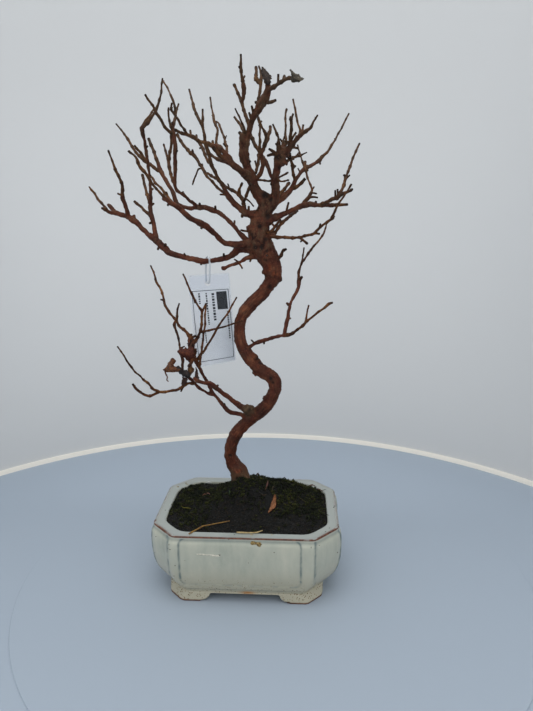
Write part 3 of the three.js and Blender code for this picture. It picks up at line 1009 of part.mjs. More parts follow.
// A closed loop that goes through the sleeve's hole and over the branch.
function tieSolid() {
  const hole = new THREE.Vector3(label.holeSide, 0, holeHeight).applyMatrix4(labelFrame);
  const { middle: over, radius: boughRadius } = branchAt('leftLow', hole.x + tie.sideways);
  const top = over.z + boughRadius + clearance + tie.radius;
  const bottom = hole.z - tie.sag;
  const turn = THREE.MathUtils.degToRad(tie.turn);
  const rounded = (value, power) => Math.sign(value) * Math.abs(value) ** power;
  const loop = [];
  for (let k = 0; k < tie.steps; k += 1) {
    const angle = (k / tie.steps) * 2 * Math.PI;
    const across = tie.halfWidth * rounded(Math.cos(angle), tie.squareness);
    const share = (1 + rounded(Math.sin(angle), tie.roundness)) / 2;
    loop.push(new THREE.Vector3(
      hole.x + (over.x - hole.x) * share - across * Math.sin(turn),
      hole.y + (over.y - hole.y) * share + across * Math.cos(turn),
      bottom + (top - bottom) * share,
    ));
  }
  return ringBar(loop, tie.radius, tie.sides);
}

// A round bar that closes on itself through the points.
function ringBar(points, radius, sides) {
  const count = points.length;
  const normal = new THREE.Vector3();
  const middle = points.reduce((sum, p) => sum.add(p), new THREE.Vector3()).divideScalar(count);
  for (let i = 0; i < count; i += 1) {
    const a = points[i].clone().sub(middle);
    const b = points[(i + 1) % count].clone().sub(middle);
    normal.add(a.cross(b));
  }
  normal.normalize();
  const positions = [];
  const triangles = [];
  points.forEach((p, i) => {
    const tangent = points[(i + 1) % count].clone().sub(points[(i + count - 1) % count]).normalize();
    const out = new THREE.Vector3().crossVectors(tangent, normal).normalize();
    for (let k = 0; k < sides; k += 1) {
      const angle = (k / sides) * 2 * Math.PI;
      const q = p.clone()
        .addScaledVector(out, radius * Math.cos(angle))
        .addScaledVector(normal, radius * Math.sin(angle));
      positions.push(q.x, q.y, q.z);
      const next = (i + 1) % count;
      const turned = (k + 1) % sides;
      triangles.push(i * sides + k, next * sides + k, next * sides + turned);
      triangles.push(i * sides + k, next * sides + turned, i * sides + turned);
    }
  });
  return solidOf(closedGeometry(positions, triangles));
}

// Litter on the soil

const litterTwig = [[-48.5, -53.4, 0], [-38.4, -39.6, -0.3], [-15, -30.2, 0]];
const litterStraw = [[-6.4, -50.6, 0], [10, -50.2, 0], [16.4, -46.6, 3]];

// A dry stalk that lies on the rim at its first point: [x, y, height over the rim or the soil].
function litterBar(points, radius, ground) {
  const raised = points.map(([x, y, over], i) => {
    const floor = i + 1 < points.length ? pot.height : soilTop(x, y);
    return new THREE.Vector3(x, y, floor + over + radius + clearance);
  });
  return largestPiece(solidOf(bar(raised, raised.map(() => radius), litter.sides)).subtract(ground));
}

// Where the line of sight through a seen [x, z] first comes down to the soil.
function onSoil(x, z) {
  const step = 0.25;
  let y = -pot.halfDepth;
  let p = alongSight(x, z, y);
  while (p.z > soilTop(p.x, p.y) + litter.leafLift && y < pot.halfDepth) {
    y += step;
    p = alongSight(x, z, y);
  }
  return p;
}

// Rows of the fallen leaf from its tip: seen x and z of its rib, and half its width.
const fallenRows = [
  [26, 78.6, 0.3], [25.6, 76.6, 1.3], [24.2, 72.6, 2.6], [22.4, 68.4, 2.9], [20.8, 64.4, 1.6],
  [19.2, 60.6, 0.3],
];

function fallenLeaf(ground) {
  const grid = fallenRows.map(([seenX, seenZ, half]) => {
    const rib = onSoil(seenX, seenZ);
    return Array.from({ length: columnsAcross + 1 }, (unused, k) => {
      const across = (k / columnsAcross) * 2 - 1;
      const x = rib.x + across * half;
      const z = soilTop(x, rib.y) + litter.leafLift + litter.leafCurl * across * across;
      return new THREE.Vector3(x, rib.y, z);
    });
  });
  return largestPiece(thickSheet(grid, leafThickness).subtract(ground));
}

// Assembly

const model = new THREE.Group();

function place(name, solid, colour, roughness, extra = {}) {
  const material = new THREE.MeshStandardMaterial({ color: colour, roughness, metalness: 0, ...extra });
  const mesh = new THREE.Mesh(geometryOf(solid), material);
  mesh.name = name;
  model.add(mesh);
}

// The soil has a plain hole for the trunk's foot, which clears it below as well as all round.
const trunk = placed.get('trunk');
const footPoints = 7;
const trunkFoot = { line: trunk.line.slice(0, footPoints), depths: trunk.depths.slice(0, footPoints) };
const footBar = branchBar(trunkFoot, cutClearance);
const footHole = footBar.add(footBar.translate([0, 0, -cutClearance]));
const potWhole = potSolid();
const soilHoled = soilSolid().subtract(footHole);
const litterGround = soilHoled.add(potWhole).translate([0, 0, clearance]);

place('pot', potWhole, 0x9fa49b, 0.28);
place('soil', soilHoled, 0x14140f, 0.95);
place('drain_mesh_left', meshDisc(-drain.spacing), 0x1d1f20, 0.6);
place('drain_mesh_right', meshDisc(drain.spacing), 0x1d1f20, 0.6);
place('tree', treeSolid(), 0x5b3428, 0.8);
for (const [name, leaf] of Object.entries(leaves)) {
  place(name, leafSolid(leaf), leaf.colour, 0.85);
}
place('label_sleeve', sleeveSolid(), 0xdfe6ea, 0.15, { transparent: true, opacity: 0.4 });
place('label_card', cardSolid(), 0xe9ecec, 0.6);
place('label_tie', tieSolid(), 0xe6e8e4, 0.4);
place('litter_twig', litterBar(litterTwig, litter.twigRadius, litterGround), 0x9a7a35, 0.8);
place('litter_straw', litterBar(litterStraw, litter.strawRadius, litterGround), 0xb7a274, 0.8);
place('litter_leaf', fallenLeaf(litterGround), 0x8a5233, 0.8);

// The origin is the middle of the whole object's footprint, on the surface that the pot stands on.
const box = new THREE.Box3().setFromObject(model);
model.position.set(-(box.min.x + box.max.x) / 2, -(box.min.y + box.max.y) / 2, -box.min.z);

export default model;
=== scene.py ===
import math
import random

import bmesh
import bpy
import numpy as np
from mathutils import Matrix, Vector, noise
from mathutils.bvhtree import BVHTree
from mathutils.kdtree import KDTree


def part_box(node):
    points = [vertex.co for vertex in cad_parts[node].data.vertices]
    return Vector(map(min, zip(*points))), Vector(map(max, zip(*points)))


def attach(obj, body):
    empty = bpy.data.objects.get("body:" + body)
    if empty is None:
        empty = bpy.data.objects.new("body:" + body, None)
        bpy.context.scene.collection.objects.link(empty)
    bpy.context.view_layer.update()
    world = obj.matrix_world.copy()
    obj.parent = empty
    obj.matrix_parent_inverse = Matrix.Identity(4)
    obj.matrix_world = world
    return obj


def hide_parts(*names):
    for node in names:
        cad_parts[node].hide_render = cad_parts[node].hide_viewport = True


# Black mulberry bonsai in a glazed pot. The tables below are in millimetres from the pot's middle, z from
# the surface it stands on, and every mesh is made in metres in the frame's own place.
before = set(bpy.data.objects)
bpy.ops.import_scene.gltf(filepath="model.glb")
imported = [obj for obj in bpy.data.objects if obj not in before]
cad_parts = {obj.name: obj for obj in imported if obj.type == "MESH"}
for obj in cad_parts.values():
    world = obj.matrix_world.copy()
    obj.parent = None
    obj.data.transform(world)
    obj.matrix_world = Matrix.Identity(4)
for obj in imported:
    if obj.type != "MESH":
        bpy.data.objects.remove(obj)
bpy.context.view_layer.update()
bpy.context.scene.view_settings.view_transform = "Standard"  # the hex colours below then show as written
print("frame loaded with", len(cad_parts), "nodes")

mm = 0.001
potLow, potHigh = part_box("pot")
potMiddle = np.array([(potLow.x + potHigh.x) / 2, (potLow.y + potHigh.y) / 2, 0.0])
eye = np.array([46.8, -492.0, 342.0])  # where the photograph was taken from


def inFrame(points):
    return np.asarray(points, float) * mm + potMiddle


def hexColour(code):
    parts = [int(code[i:i + 2], 16) / 255 for i in (1, 3, 5)]
    return tuple(p / 12.92 if p <= 0.04045 else ((p + 0.055) / 1.055) ** 2.4 for p in parts) + (1.0,)


def patternScale(size):
    return 1 / (size * mm)  # a texture's Scale for features of this many millimetres


def addNode(tree, kind, inputs=None, stops=None, **settings):
    node = tree.nodes.new(kind)
    for key, value in settings.items():
        setattr(node, key, value)
    for key, value in (inputs or {}).items():
        if isinstance(value, bpy.types.NodeSocket):
            tree.links.new(value, node.inputs[key])
        else:
            node.inputs[key].default_value = value
    if stops:
        ramp = node.color_ramp.elements
        while len(ramp) < len(stops):
            ramp.new(0.5)
        for element, (place, colour) in zip(ramp, stops):
            element.position = place
            element.color = hexColour(colour)
    return node


def startMaterial(name):
    material = bpy.data.materials.new(name)
    material.use_nodes = True
    tree = material.node_tree
    coords = addNode(tree, "ShaderNodeTexCoord").outputs["Object"]
    return material, tree, tree.nodes["Principled BSDF"], coords


def meshPiece(name, points, faces, *materials):
    mesh = bpy.data.meshes.new(name)
    mesh.from_pydata([tuple(p) for p in points], [], [tuple(f) for f in faces])
    mesh.update()
    for material in materials:
        mesh.materials.append(material)
    mesh.shade_smooth()
    piece = bpy.data.objects.new(name, mesh)
    bpy.context.scene.collection.objects.link(piece)
    return piece


def ride(piece, slot, *nodes):
    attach(piece, "root")
    if nodes:
        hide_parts(*nodes)
    print(piece.name, "has", sum(len(p.vertices) - 2 for p in piece.data.polygons), "triangles")
    return piece


def storeValue(mesh, name, values):
    attribute = mesh.attributes.new(name, "FLOAT", "POINT")
    attribute.data.foreach_set("value", np.asarray(values, np.float32))


def storeVector(mesh, name, values):
    attribute = mesh.attributes.new(name, "FLOAT_VECTOR", "POINT")
    attribute.data.foreach_set("vector", np.asarray(values, np.float32).ravel())


def vertexPlaces(mesh):
    places = np.zeros(len(mesh.vertices) * 3)
    mesh.vertices.foreach_get("co", places)
    return places.reshape(-1, 3)


def vertexNormals(mesh):
    normals = np.zeros(len(mesh.vertices) * 3)
    mesh.vertex_normals.foreach_get("vector", normals)
    return normals.reshape(-1, 3)


def setPlaces(mesh, places):
    mesh.vertices.foreach_set("co", np.asarray(places, np.float32).ravel())
    mesh.update()


def applyModifiers(piece):
    graph = bpy.context.evaluated_depsgraph_get()
    baked = bpy.data.meshes.new_from_object(
        piece.evaluated_get(graph), preserve_all_data_layers=True, depsgraph=graph)
    old = piece.data
    piece.modifiers.clear()
    piece.data = baked
    bpy.data.meshes.remove(old)
    baked.name = piece.name


def removeObject(piece):
    mesh = piece.data
    bpy.data.objects.remove(piece)
    bpy.data.meshes.remove(mesh)


def smoothStep(value, low, high):
    t = np.clip((value - low) / (high - low), 0, 1)
    return t * t * (3 - 2 * t)


def roughness3d(points, size, octaves=3, seed=0.0):
    offset = Vector((seed * 7.3, seed * 3.1, seed * 5.7))
    return np.array([
        noise.fractal(Vector(p) / size + offset, 0.9, 2.0, octaves) for p in points
    ])


def smoothRun(points, radii, step):
    # A curve through the points (Catmull-Rom, tangents held to the shorter neighbour) at even steps
    points, radii = np.asarray(points), np.asarray(radii)
    gaps = np.linalg.norm(np.diff(points, axis=0), axis=1)
    tangents = np.zeros_like(points)
    for i in range(len(points)):
        a, b = max(i - 1, 0), min(i + 1, len(points) - 1)
        span = points[b] - points[a]
        tangents[i] = span / max(np.linalg.norm(span), 1e-6)
    found, thick = [points[0]], [radii[0]]
    for i, gap in enumerate(gaps):
        count = max(int(round(gap / step)), 1)
        for k in range(1, count + 1):
            t = k / count
            a, b = points[i], points[i + 1]
            found.append(a * (1 + 2 * t) * (1 - t) ** 2 + tangents[i] * gap * t * (1 - t) ** 2
                         + b * t * t * (3 - 2 * t) + tangents[i + 1] * gap * t * t * (t - 1))
            thick.append(radii[i] + (radii[i + 1] - radii[i]) * (3 * t * t - 2 * t ** 3))
    return np.array(found), np.array(thick)


def ringFrames(points):
    # Directions across a run, turned as little as possible from one point to the next
    along = np.gradient(points, axis=0)
    along /= np.maximum(np.linalg.norm(along, axis=1, keepdims=True), 1e-9)
    side = np.cross(along[0], [0.3, 1, 0.2])
    sides = []
    for direction in along:
        side = side - direction * side.dot(direction)
        side = side / np.linalg.norm(side)
        sides.append(side)
    sides = np.array(sides)
    return along, sides, np.cross(along, sides)


def ringFaces(count, rows, closed=False):
    # Faces between rings of count points each; an open run is capped at both ends
    faces = [(k * count + i, k * count + (i + 1) % count,
              (k + 1) % rows * count + (i + 1) % count, (k + 1) % rows * count + i)
             for k in range(rows if closed else rows - 1) for i in range(count)]
    if not closed:
        faces += [tuple(range(count))[::-1], tuple((rows - 1) * count + i for i in range(count))]
    return faces


def tubeAround(points, radii, count):
    _, side, other = ringFrames(points)
    angles = np.arange(count) * 2 * math.pi / count
    rings = [p + r * (np.outer(np.cos(angles), s) + np.outer(np.sin(angles), o))
             for p, r, s, o in zip(points, radii, side, other)]
    return np.vstack(rings), ringFaces(count, len(rings))


def joinParts(parts):
    points, faces, start = [], [], 0
    for some, skin in parts:
        points.append(some)
        faces += [tuple(start + i for i in face) for face in skin]
        start += len(some)
    return np.vstack(points), faces


# Geometry Nodes: each tree is built here with named inputs, baked to a plain mesh, and its carrier removed.
def startNodes(name, sockets):
    tree = bpy.data.node_groups.new(name, "GeometryNodeTree")
    tree.interface.new_socket("Geometry", in_out="INPUT", socket_type="NodeSocketGeometry")
    for label, kind in sockets.items():
        tree.interface.new_socket(label, in_out="INPUT", socket_type="NodeSocket" + kind)
    tree.interface.new_socket("Geometry", in_out="OUTPUT", socket_type="NodeSocketGeometry")
    return tree, addNode(tree, "NodeGroupInput").outputs


def finishNodes(tree, geometry, material):
    realized = addNode(tree, "GeometryNodeRealizeInstances", {"Geometry": geometry})
    shaded = addNode(tree, "GeometryNodeSetShadeSmooth", {"Geometry": realized.outputs[0]})
    painted = addNode(tree, "GeometryNodeSetMaterial", {"Geometry": shaded.outputs[0], "Material": material})
    addNode(tree, "NodeGroupOutput", {0: painted.outputs[0]})


def bakeNodes(name, carrier, tree, values):
    modifier = carrier.modifiers.new("Nodes", "NODES")
    modifier.node_group = tree
    for item in tree.interface.items_tree:
        if item.in_out == "INPUT" and item.name in values:
            modifier[item.identifier] = values[item.name]
    graph = bpy.context.evaluated_depsgraph_get()
    mesh = bpy.data.meshes.new_from_object(
        carrier.evaluated_get(graph), preserve_all_data_layers=True, depsgraph=graph)
    mesh.name = name
    piece = bpy.data.objects.new(name, mesh)
    bpy.context.scene.collection.objects.link(piece)
    return piece


# Camera: the photograph's own viewing angle
view = {"lens": 28.354, "sensor": 36.0, "yaw": -3.33, "pitch": 14.05, "roll": -0.32}


def placeCamera():
    yaw, pitch, roll = (math.radians(view[key]) for key in ("yaw", "pitch", "roll"))
    forward = Vector((math.sin(yaw) * math.cos(pitch), math.cos(yaw) * math.cos(pitch), -math.sin(pitch)))
    right = Vector((math.cos(yaw), -math.sin(yaw), 0))
    up = right.cross(forward)
    turnedRight = math.cos(roll) * right + math.sin(roll) * up
    turnedUp = math.cos(roll) * up - math.sin(roll) * right
    lens = bpy.data.cameras.new("camera")
    lens.lens = view["lens"]
    lens.sensor_width = view["sensor"]
    lens.clip_start = 0.01
    camera = bpy.data.objects.new("camera", lens)
    axes = Matrix((turnedRight, turnedUp, -forward)).transposed()
    camera.matrix_world = Matrix.Translation(Vector(inFrame(eye))) @ axes.to_4x4()
    bpy.context.scene.collection.objects.link(camera)
    bpy.context.scene.camera = camera


placeCamera()

# Pot
pot = {
    "height": 68.0,
    "rimBand": 9.7,
    "framesProud": 0.9,
    "frameBottom": 13.2,
    "panelBottom": 19.4,
    "panelTop": 67.0,
    "frameHalves": (65.4, 35.6),
    "panelHalves": (54.0, 25.4),
    "frameAside": -2.2,  # the front face's frame and panel sit a little left of its middle
    "panelAside": -3.1,
    "cornerSoftness": 2.2,
    "rimSoftness": 2.4,
    "openingSoftness": 3.8,
    "glazeStep": 1.3,
    "drainSpacing": 36.0,
    "drainRadius": 8.0,
    "foot": [(0, 71, 53.9, 13), (3, 71.6, 53.6, 15), (9.5, 72, 52.6, 18.5)],
    "footHollow": (56, 38, 16),
    "archesLow": (40.6, 24.0),
    "archesHigh": (32.6, 19.0),
    "outer": [
        (7.5, 70.5, 51.3, 18), (10, 72.5, 52.3, 19), (13, 75, 53.6, 20), (17, 79, 55.4, 21),
        (24, 83.4, 57.6, 22), (31, 85.7, 58.9, 22.4), (41, 86.9, 59.7, 22.4), (53, 87.2, 59.9, 22.2),
        (61, 86.6, 59.4, 22), (65, 85.4, 58.3, 22), (68, 85, 58, 22),
    ],
    "inner": [(14, 63, 43, 15), (20, 71, 47, 18), (31, 75.4, 48.6, 18.6), (64, 75.6, 48.5, 18.2),
              (68, 75.3, 48.3, 18)],
}


def glazedStoneware():
    # Stoneware dipped in a thick pale celadon glaze and fired: glossy, clouded and faintly streaked downwards,
    # blue-grey where glaze pools and shade is painted in the grooves and under the rim, broken to red-brown clay
    # on edges, pinholed and speckled near the foot
    material, tree, shader, coords = startMaterial("celadonGlazeOnStoneware")
    place = addNode(tree, "ShaderNodeSeparateXYZ", {0: coords}).outputs
    runs = addNode(tree, "ShaderNodeMapping", {"Vector": coords, "Scale": (1, 1, 0.35)})
    streaks = addNode(tree, "ShaderNodeTexNoise", {
        "Vector": runs.outputs[0], "Scale": patternScale(16), "Detail": 5, "Roughness": 0.62})
    glaze = addNode(tree, "ShaderNodeValToRGB", {0: streaks.outputs[0]}, stops=[
        (0.3, "#a3a89b"), (0.47, "#b0b3a5"), (0.6, "#b7b9aa"), (0.75, "#c0c0b0")])
    low = addNode(tree, "ShaderNodeMapRange", {
        0: place[2], "From Min": 46 * mm, "From Max": 12 * mm, "To Max": 0.75},
        interpolation_type="SMOOTHSTEP")
    warm = addNode(tree, "ShaderNodeMix", {0: low.outputs[0], 6: glaze.outputs[0], 7: hexColour("#b3ac95")},
                   data_type="RGBA")
    rim = addNode(tree, "ShaderNodeAttribute", attribute_name="rimTop")
    pale = addNode(tree, "ShaderNodeMix", {
        0: rim.outputs["Fac"], 6: warm.outputs[2], 7: hexColour("#999f9b")}, data_type="RGBA")
    # Glaze pooling and painted shade: the grooves and the band under the rim are darkened to blue-grey
    poolingAndShade = addNode(tree, "ShaderNodeAttribute", attribute_name="pooledGlaze")
    thick = addNode(tree, "ShaderNodeMix", {
        0: poolingAndShade.outputs["Fac"], 6: pale.outputs[2], 7: hexColour("#6a7775")}, data_type="RGBA")
    # Pinholes 5 to 20 mm apart, and fine iron specks that grow denser towards the foot
    crowd = addNode(tree, "ShaderNodeTexNoise", {"Vector": coords, "Scale": patternScale(16), "Detail": 2})
    holes = addNode(tree, "ShaderNodeTexVoronoi", {"Vector": coords, "Scale": patternScale(6.5)})
    holeSize = addNode(tree, "ShaderNodeMapRange", {
        0: crowd.outputs[0], "From Min": 0.5, "From Max": 0.72, "To Max": 0.13})
    holeEdge = addNode(tree, "ShaderNodeMath", {0: holes.outputs["Distance"], 1: holeSize.outputs[0]},
                       operation="LESS_THAN")
    specks = addNode(tree, "ShaderNodeTexVoronoi", {"Vector": coords, "Scale": patternScale(1.9)})
    speckSize = addNode(tree, "ShaderNodeMapRange", {
        0: place[2], "From Min": 34 * mm, "From Max": 8 * mm, "To Min": 0.06, "To Max": 0.5})
    speckPatch = addNode(tree, "ShaderNodeTexNoise", {"Vector": coords, "Scale": patternScale(7)})
    speckShare = addNode(tree, "ShaderNodeMath", {0: speckSize.outputs[0], 1: speckPatch.outputs[0]},
                         operation="MULTIPLY")
    speckEdge = addNode(tree, "ShaderNodeMath", {0: specks.outputs["Distance"], 1: speckShare.outputs[0]},
                        operation="LESS_THAN")
    spotted = addNode(tree, "ShaderNodeMix", {0: speckEdge.outputs[0], 6: thick.outputs[2],
                                              7: hexColour("#6f5b3e")}, data_type="RGBA")
    pitted = addNode(tree, "ShaderNodeMix", {0: holeEdge.outputs[0], 6: spotted.outputs[2],
                                             7: hexColour("#3a332b")}, data_type="RGBA")
    bare = addNode(tree, "ShaderNodeAttribute", attribute_name="bareClay")
    clayGrain = addNode(tree, "ShaderNodeTexNoise", {"Vector": coords, "Scale": patternScale(1.5)})
    clay = addNode(tree, "ShaderNodeValToRGB", {0: clayGrain.outputs[0]}, stops=[
        (0.35, "#3f2015"), (0.65, "#6e4330")])
    whole = addNode(tree, "ShaderNodeMix", {0: bare.outputs["Fac"], 6: pitted.outputs[2], 7: clay.outputs[0]},
                    data_type="RGBA")
    stained = addNode(tree, "ShaderNodeAttribute", attribute_name="rustStain")
    rusted = addNode(tree, "ShaderNodeMix", {0: stained.outputs["Fac"], 6: whole.outputs[2],
                                             7: hexColour("#a9743a")}, data_type="RGBA")
    tree.links.new(rusted.outputs[2], shader.inputs["Base Color"])
    dull = addNode(tree, "ShaderNodeMapRange", {0: bare.outputs["Fac"], "To Min": 0.2, "To Max": 0.8})
    tree.links.new(dull.outputs[0], shader.inputs["Roughness"])
    shader.inputs["IOR"].default_value = 1.5
    orangePeel = addNode(tree, "ShaderNodeTexNoise", {
        "Vector": coords, "Scale": patternScale(5), "Detail": 3})
    dips = addNode(tree, "ShaderNodeMath", {0: holeEdge.outputs[0], 1: -0.7, 2: orangePeel.outputs[0]},
                   operation="MULTIPLY_ADD")
    bump = addNode(tree, "ShaderNodeBump", {
        "Height": dips.outputs[0], "Strength": 0.5, "Distance": 0.35 * mm})
    tree.links.new(bump.outputs[0], shader.inputs["Normal"])
    return material


def cutOutline(halfX, halfY, cut):
    return np.array([
        (halfX, -halfY + cut), (halfX, halfY - cut), (halfX - cut, halfY), (-halfX + cut, halfY),
        (-halfX, halfY - cut), (-halfX, -halfY + cut), (-halfX + cut, -halfY), (halfX - cut, -halfY)])


def outlineStops():
    # Where the wall's columns stand along each of the outline's eight edges: close together at a frame's sides
    short, slant, long = [], list(np.linspace(0, 1, 15)[:-1]), []
    for stops, half, panelHalf in ((short, 36.0, pot["panelHalves"][1]), (long, 65.0, pot["panelHalves"][0])):
        side = np.concatenate([
            np.linspace(half, panelHalf + 3, 14)[:-1], np.linspace(panelHalf + 3, panelHalf - 10, 20)[:-1],
            np.linspace(panelHalf - 10, 0, 16 if half > 50 else 7)])
        places = np.concatenate([-side, side[::-1][1:]])
        stops.extend((places + half) / (2 * half))
        stops.pop()
    return [short, slant, long, slant] * 2


def levelRing(ring, z):
    return np.column_stack([ring, np.full(len(ring), float(z))])


def outlineRing(halfX, halfY, cut, softness):
    corners = cutOutline(halfX, halfY, cut)
    ring = []
    for i, stops in enumerate(outlineStops()):
        ring.extend(corners[i] + (corners[(i + 1) % 8] - corners[i]) * t for t in stops)
    ring = np.array(ring)
    # Soft corners: each point is drawn to the mean of points a little way along the outline on both sides
    lengths = np.linalg.norm(np.roll(ring, -1, axis=0) - ring, axis=1)
    along = np.concatenate([[0], np.cumsum(lengths)])
    closed = np.vstack([ring, ring[:1]])
    total = np.zeros_like(ring)
    weights = ((-2.2, 1), (-1.1, 3), (0, 4), (1.1, 3), (2.2, 1))
    for shift, weight in weights:
        at = (along[:-1] + shift * softness) % along[-1]
        total += weight * np.stack([np.interp(at, along, closed[:, k]) for k in (0, 1)], 1)
    return total / sum(weight for _, weight in weights)


def insideBox(across, height, half, low, high, corner):
    # Signed distance to an upright rectangle with round corners, negative inside
    middle, reach = (low + high) / 2, (high - low) / 2
    qx = np.abs(across) - (half - corner)
    qz = np.abs(height - middle) - (reach - corner)
    outside = np.hypot(np.maximum(qx, 0), np.maximum(qz, 0))
    return outside + np.minimum(np.maximum(qx, qz), 0) - corner


def frameDistances(x, y, z):
    # Distance to the nearest frame's outer edge and to its panel's edge, on whichever face the point lies
    onLong = np.abs(y) - 58 > np.abs(x) - 85
    onFront = np.where(onLong & (np.asarray(y) < 0), 1.0, 0.0)
    across = np.where(onLong, x, y)
    found = []
    for halves, low, high, corner, aside in (
            (pot["frameHalves"], pot["frameBottom"], 90.0, 9.0, pot["frameAside"]),
            (pot["panelHalves"], pot["panelBottom"], pot["panelTop"], 6.5, pot["panelAside"])):
        half = np.where(onLong, halves[0], halves[1])
        found.append(insideBox(across - aside * onFront, z, half, low, high, corner))
    return found


def sectionAt(sections, z):
    heights = [s[0] for s in sections]
    return [float(np.interp(z, heights, [s[k] for s in sections])) for k in (1, 2, 3)]


def potRings():
    rings = []
    step = pot["glazeStep"]
    heights = np.concatenate([
        np.linspace(7.5, 11, 5)[:-1], np.linspace(11, 30, 31)[:-1], np.linspace(30, 60, 16)[:-1],
        np.linspace(60, 66.6, 11)])
    smoothOuter = np.array([[z, *sectionAt(pot["outer"], z)] for z in np.linspace(7.5, 68, 60)])
    for k in (1, 2):
        padded = np.pad(smoothOuter[:, k], 3, mode="reflect", reflect_type="odd")
        smoothOuter[:, k] = np.convolve(padded, np.ones(7) / 7, mode="valid")
    for z in heights:
        ring = outlineRing(*sectionAt(smoothOuter.tolist(), z), pot["cornerSoftness"])
        frameAt, panelAt = frameDistances(ring[:, 0], ring[:, 1], z)
        proud = smoothStep(-frameAt, -step / 2, step / 2) * smoothStep(panelAt, -step / 2, step / 2)
        proud *= 1 - float(smoothStep(z, 61.5, 66.0))
        outward = np.where((np.abs(ring[:, 1]) - 58 > np.abs(ring[:, 0]) - 85)[:, None],
                           np.stack([0 * ring[:, 0], np.sign(ring[:, 1])], 1),
                           np.stack([np.sign(ring[:, 0]), 0 * ring[:, 0]], 1))
        # A shallow neck runs round under the rim, where the glaze pools and shade is painted
        neck = -0.5 * math.exp(-((z - 64.3) / 1.5) ** 2)
        ring = ring + outward * (proud * pot["framesProud"])[:, None] + outward * neck
        rings.append(levelRing(ring, z))
    top, lip = pot["height"], 0.75
    for angle in np.linspace(0, math.pi / 2, 5)[1:]:  # the rim's outer edge, then its flat top and inner edge
        inset = lip * (1 - math.cos(angle))
        ring = outlineRing(85.25 - inset, 58.25 - inset, 22, pot["rimSoftness"])
        rings.append(levelRing(ring, top - lip + lip * math.sin(angle)))
    for share in (0.25, 0.5, 0.75):
        inset = lip + (pot["rimBand"] - 2 * lip) * share
        ring = outlineRing(85 - inset, 58 - inset, 22 - 4 * share,
                           pot["rimSoftness"] + (pot["openingSoftness"] - pot["rimSoftness"]) * share)
        rings.append(levelRing(ring, top - 0.25 * math.sin(math.pi * share)))
    bevel = 1.4
    for angle in np.linspace(0, math.pi / 2, 5):
        inset = bevel * math.sin(angle)
        ring = outlineRing(75.3 + bevel - inset, 48.3 + bevel - inset, 18, pot["openingSoftness"])
        rings.append(levelRing(ring, top - bevel * (1 - math.cos(angle))))
    for z in (64, 58, 48, 38, 31, 26, 20, 16, 14):
        ring = outlineRing(*sectionAt(pot["inner"], z), pot["openingSoftness"])
        rings.append(levelRing(ring, z))
    return rings


def ringSkin(rings):
    # A closed skin over rings of equal length, each end filled by rings drawn in to a point
    count = len(rings[0])
    rows = list(rings)
    for share in (0.5, 0.0):
        middle = rings[-1].mean(0)
        rows.append(middle + (rings[-1] - middle) * share if share else np.array([middle]))
        foot = rings[0].mean(0)
        rows.insert(0, foot + (rings[0] - foot) * share if share else np.array([foot]))
    points = np.vstack(rows)
    starts = np.cumsum([0] + [len(r) for r in rows])
    faces = []
    for k in range(len(rows) - 1):
        a, b = starts[k], starts[k + 1]
        for i in range(count):
            j = (i + 1) % count
            if len(rows[k]) == 1:
                faces.append((a, b + j, b + i))
            elif len(rows[k + 1]) == 1:
                faces.append((a + i, a + j, b))
            else:
                faces.append((a + i, a + j, b + j, b + i))
    return points, faces


def cutWith(piece, cutter, operation):
    modifier = piece.modifiers.new("Cut", "BOOLEAN")
    modifier.operation = operation
    modifier.solver = "MANIFOLD"
    modifier.object = cutter
    applyModifiers(piece)
    removeObject(cutter)


def archCutter(low, high, alongX):
    profile = [(-low, -3), (low, -3), (low, 0.5)]
    for t in np.linspace(0, 1, 9)[1:]:
        profile.append(((1 - t) ** 2 * low + 2 * t * (1 - t) * high + t * t * (high - 1),
                        (1 - t) ** 2 * 0.5 + 2 * t * (1 - t) * 1.6 + t * t * 7.5))
    profile += [(-x, z) for x, z in reversed(profile[3:])] + [(-low, 0.5)]
    ends = []
    for reach in (-120, 120):
        ends.append([(reach, x, z) if alongX else (x, -reach, z) for x, z in profile])
    count = len(profile)
    faces = [tuple(range(count))[::-1], tuple(range(count, 2 * count))]
    faces += [(i, (i + 1) % count, count + (i + 1) % count, count + i) for i in range(count)]
    return meshPiece("arch", inFrame(ends[0] + ends[1]), faces)


def potFeet():
    sections = [(z, *sectionAt(pot["foot"], z)) for z in np.linspace(0, 9.5, 8)]
    rings = [levelRing(outlineRing(x, y, cut, 1.5), z) for z, x, y, cut in sections]
    points, faces = ringSkin(rings)
    feet = meshPiece("feet", inFrame(points), faces)
    hollow = [levelRing(outlineRing(*pot["footHollow"], 1.5), z) for z in (-3.0, 8.2)]
    points, faces = ringSkin(hollow)
    cutWith(feet, meshPiece("hollow", inFrame(points), faces), "DIFFERENCE")
    for low, high, alongX in zip(pot["archesLow"], pot["archesHigh"], (False, True)):
        cutWith(feet, archCutter(low, high, alongX), "DIFFERENCE")
    remesh = feet.modifiers.new("Fuse", "REMESH")
    remesh.mode = "VOXEL"
    remesh.voxel_size = 0.8 * mm
    soften = feet.modifiers.new("Soften", "SMOOTH")
    soften.iterations = 4
    applyModifiers(feet)
    return feet


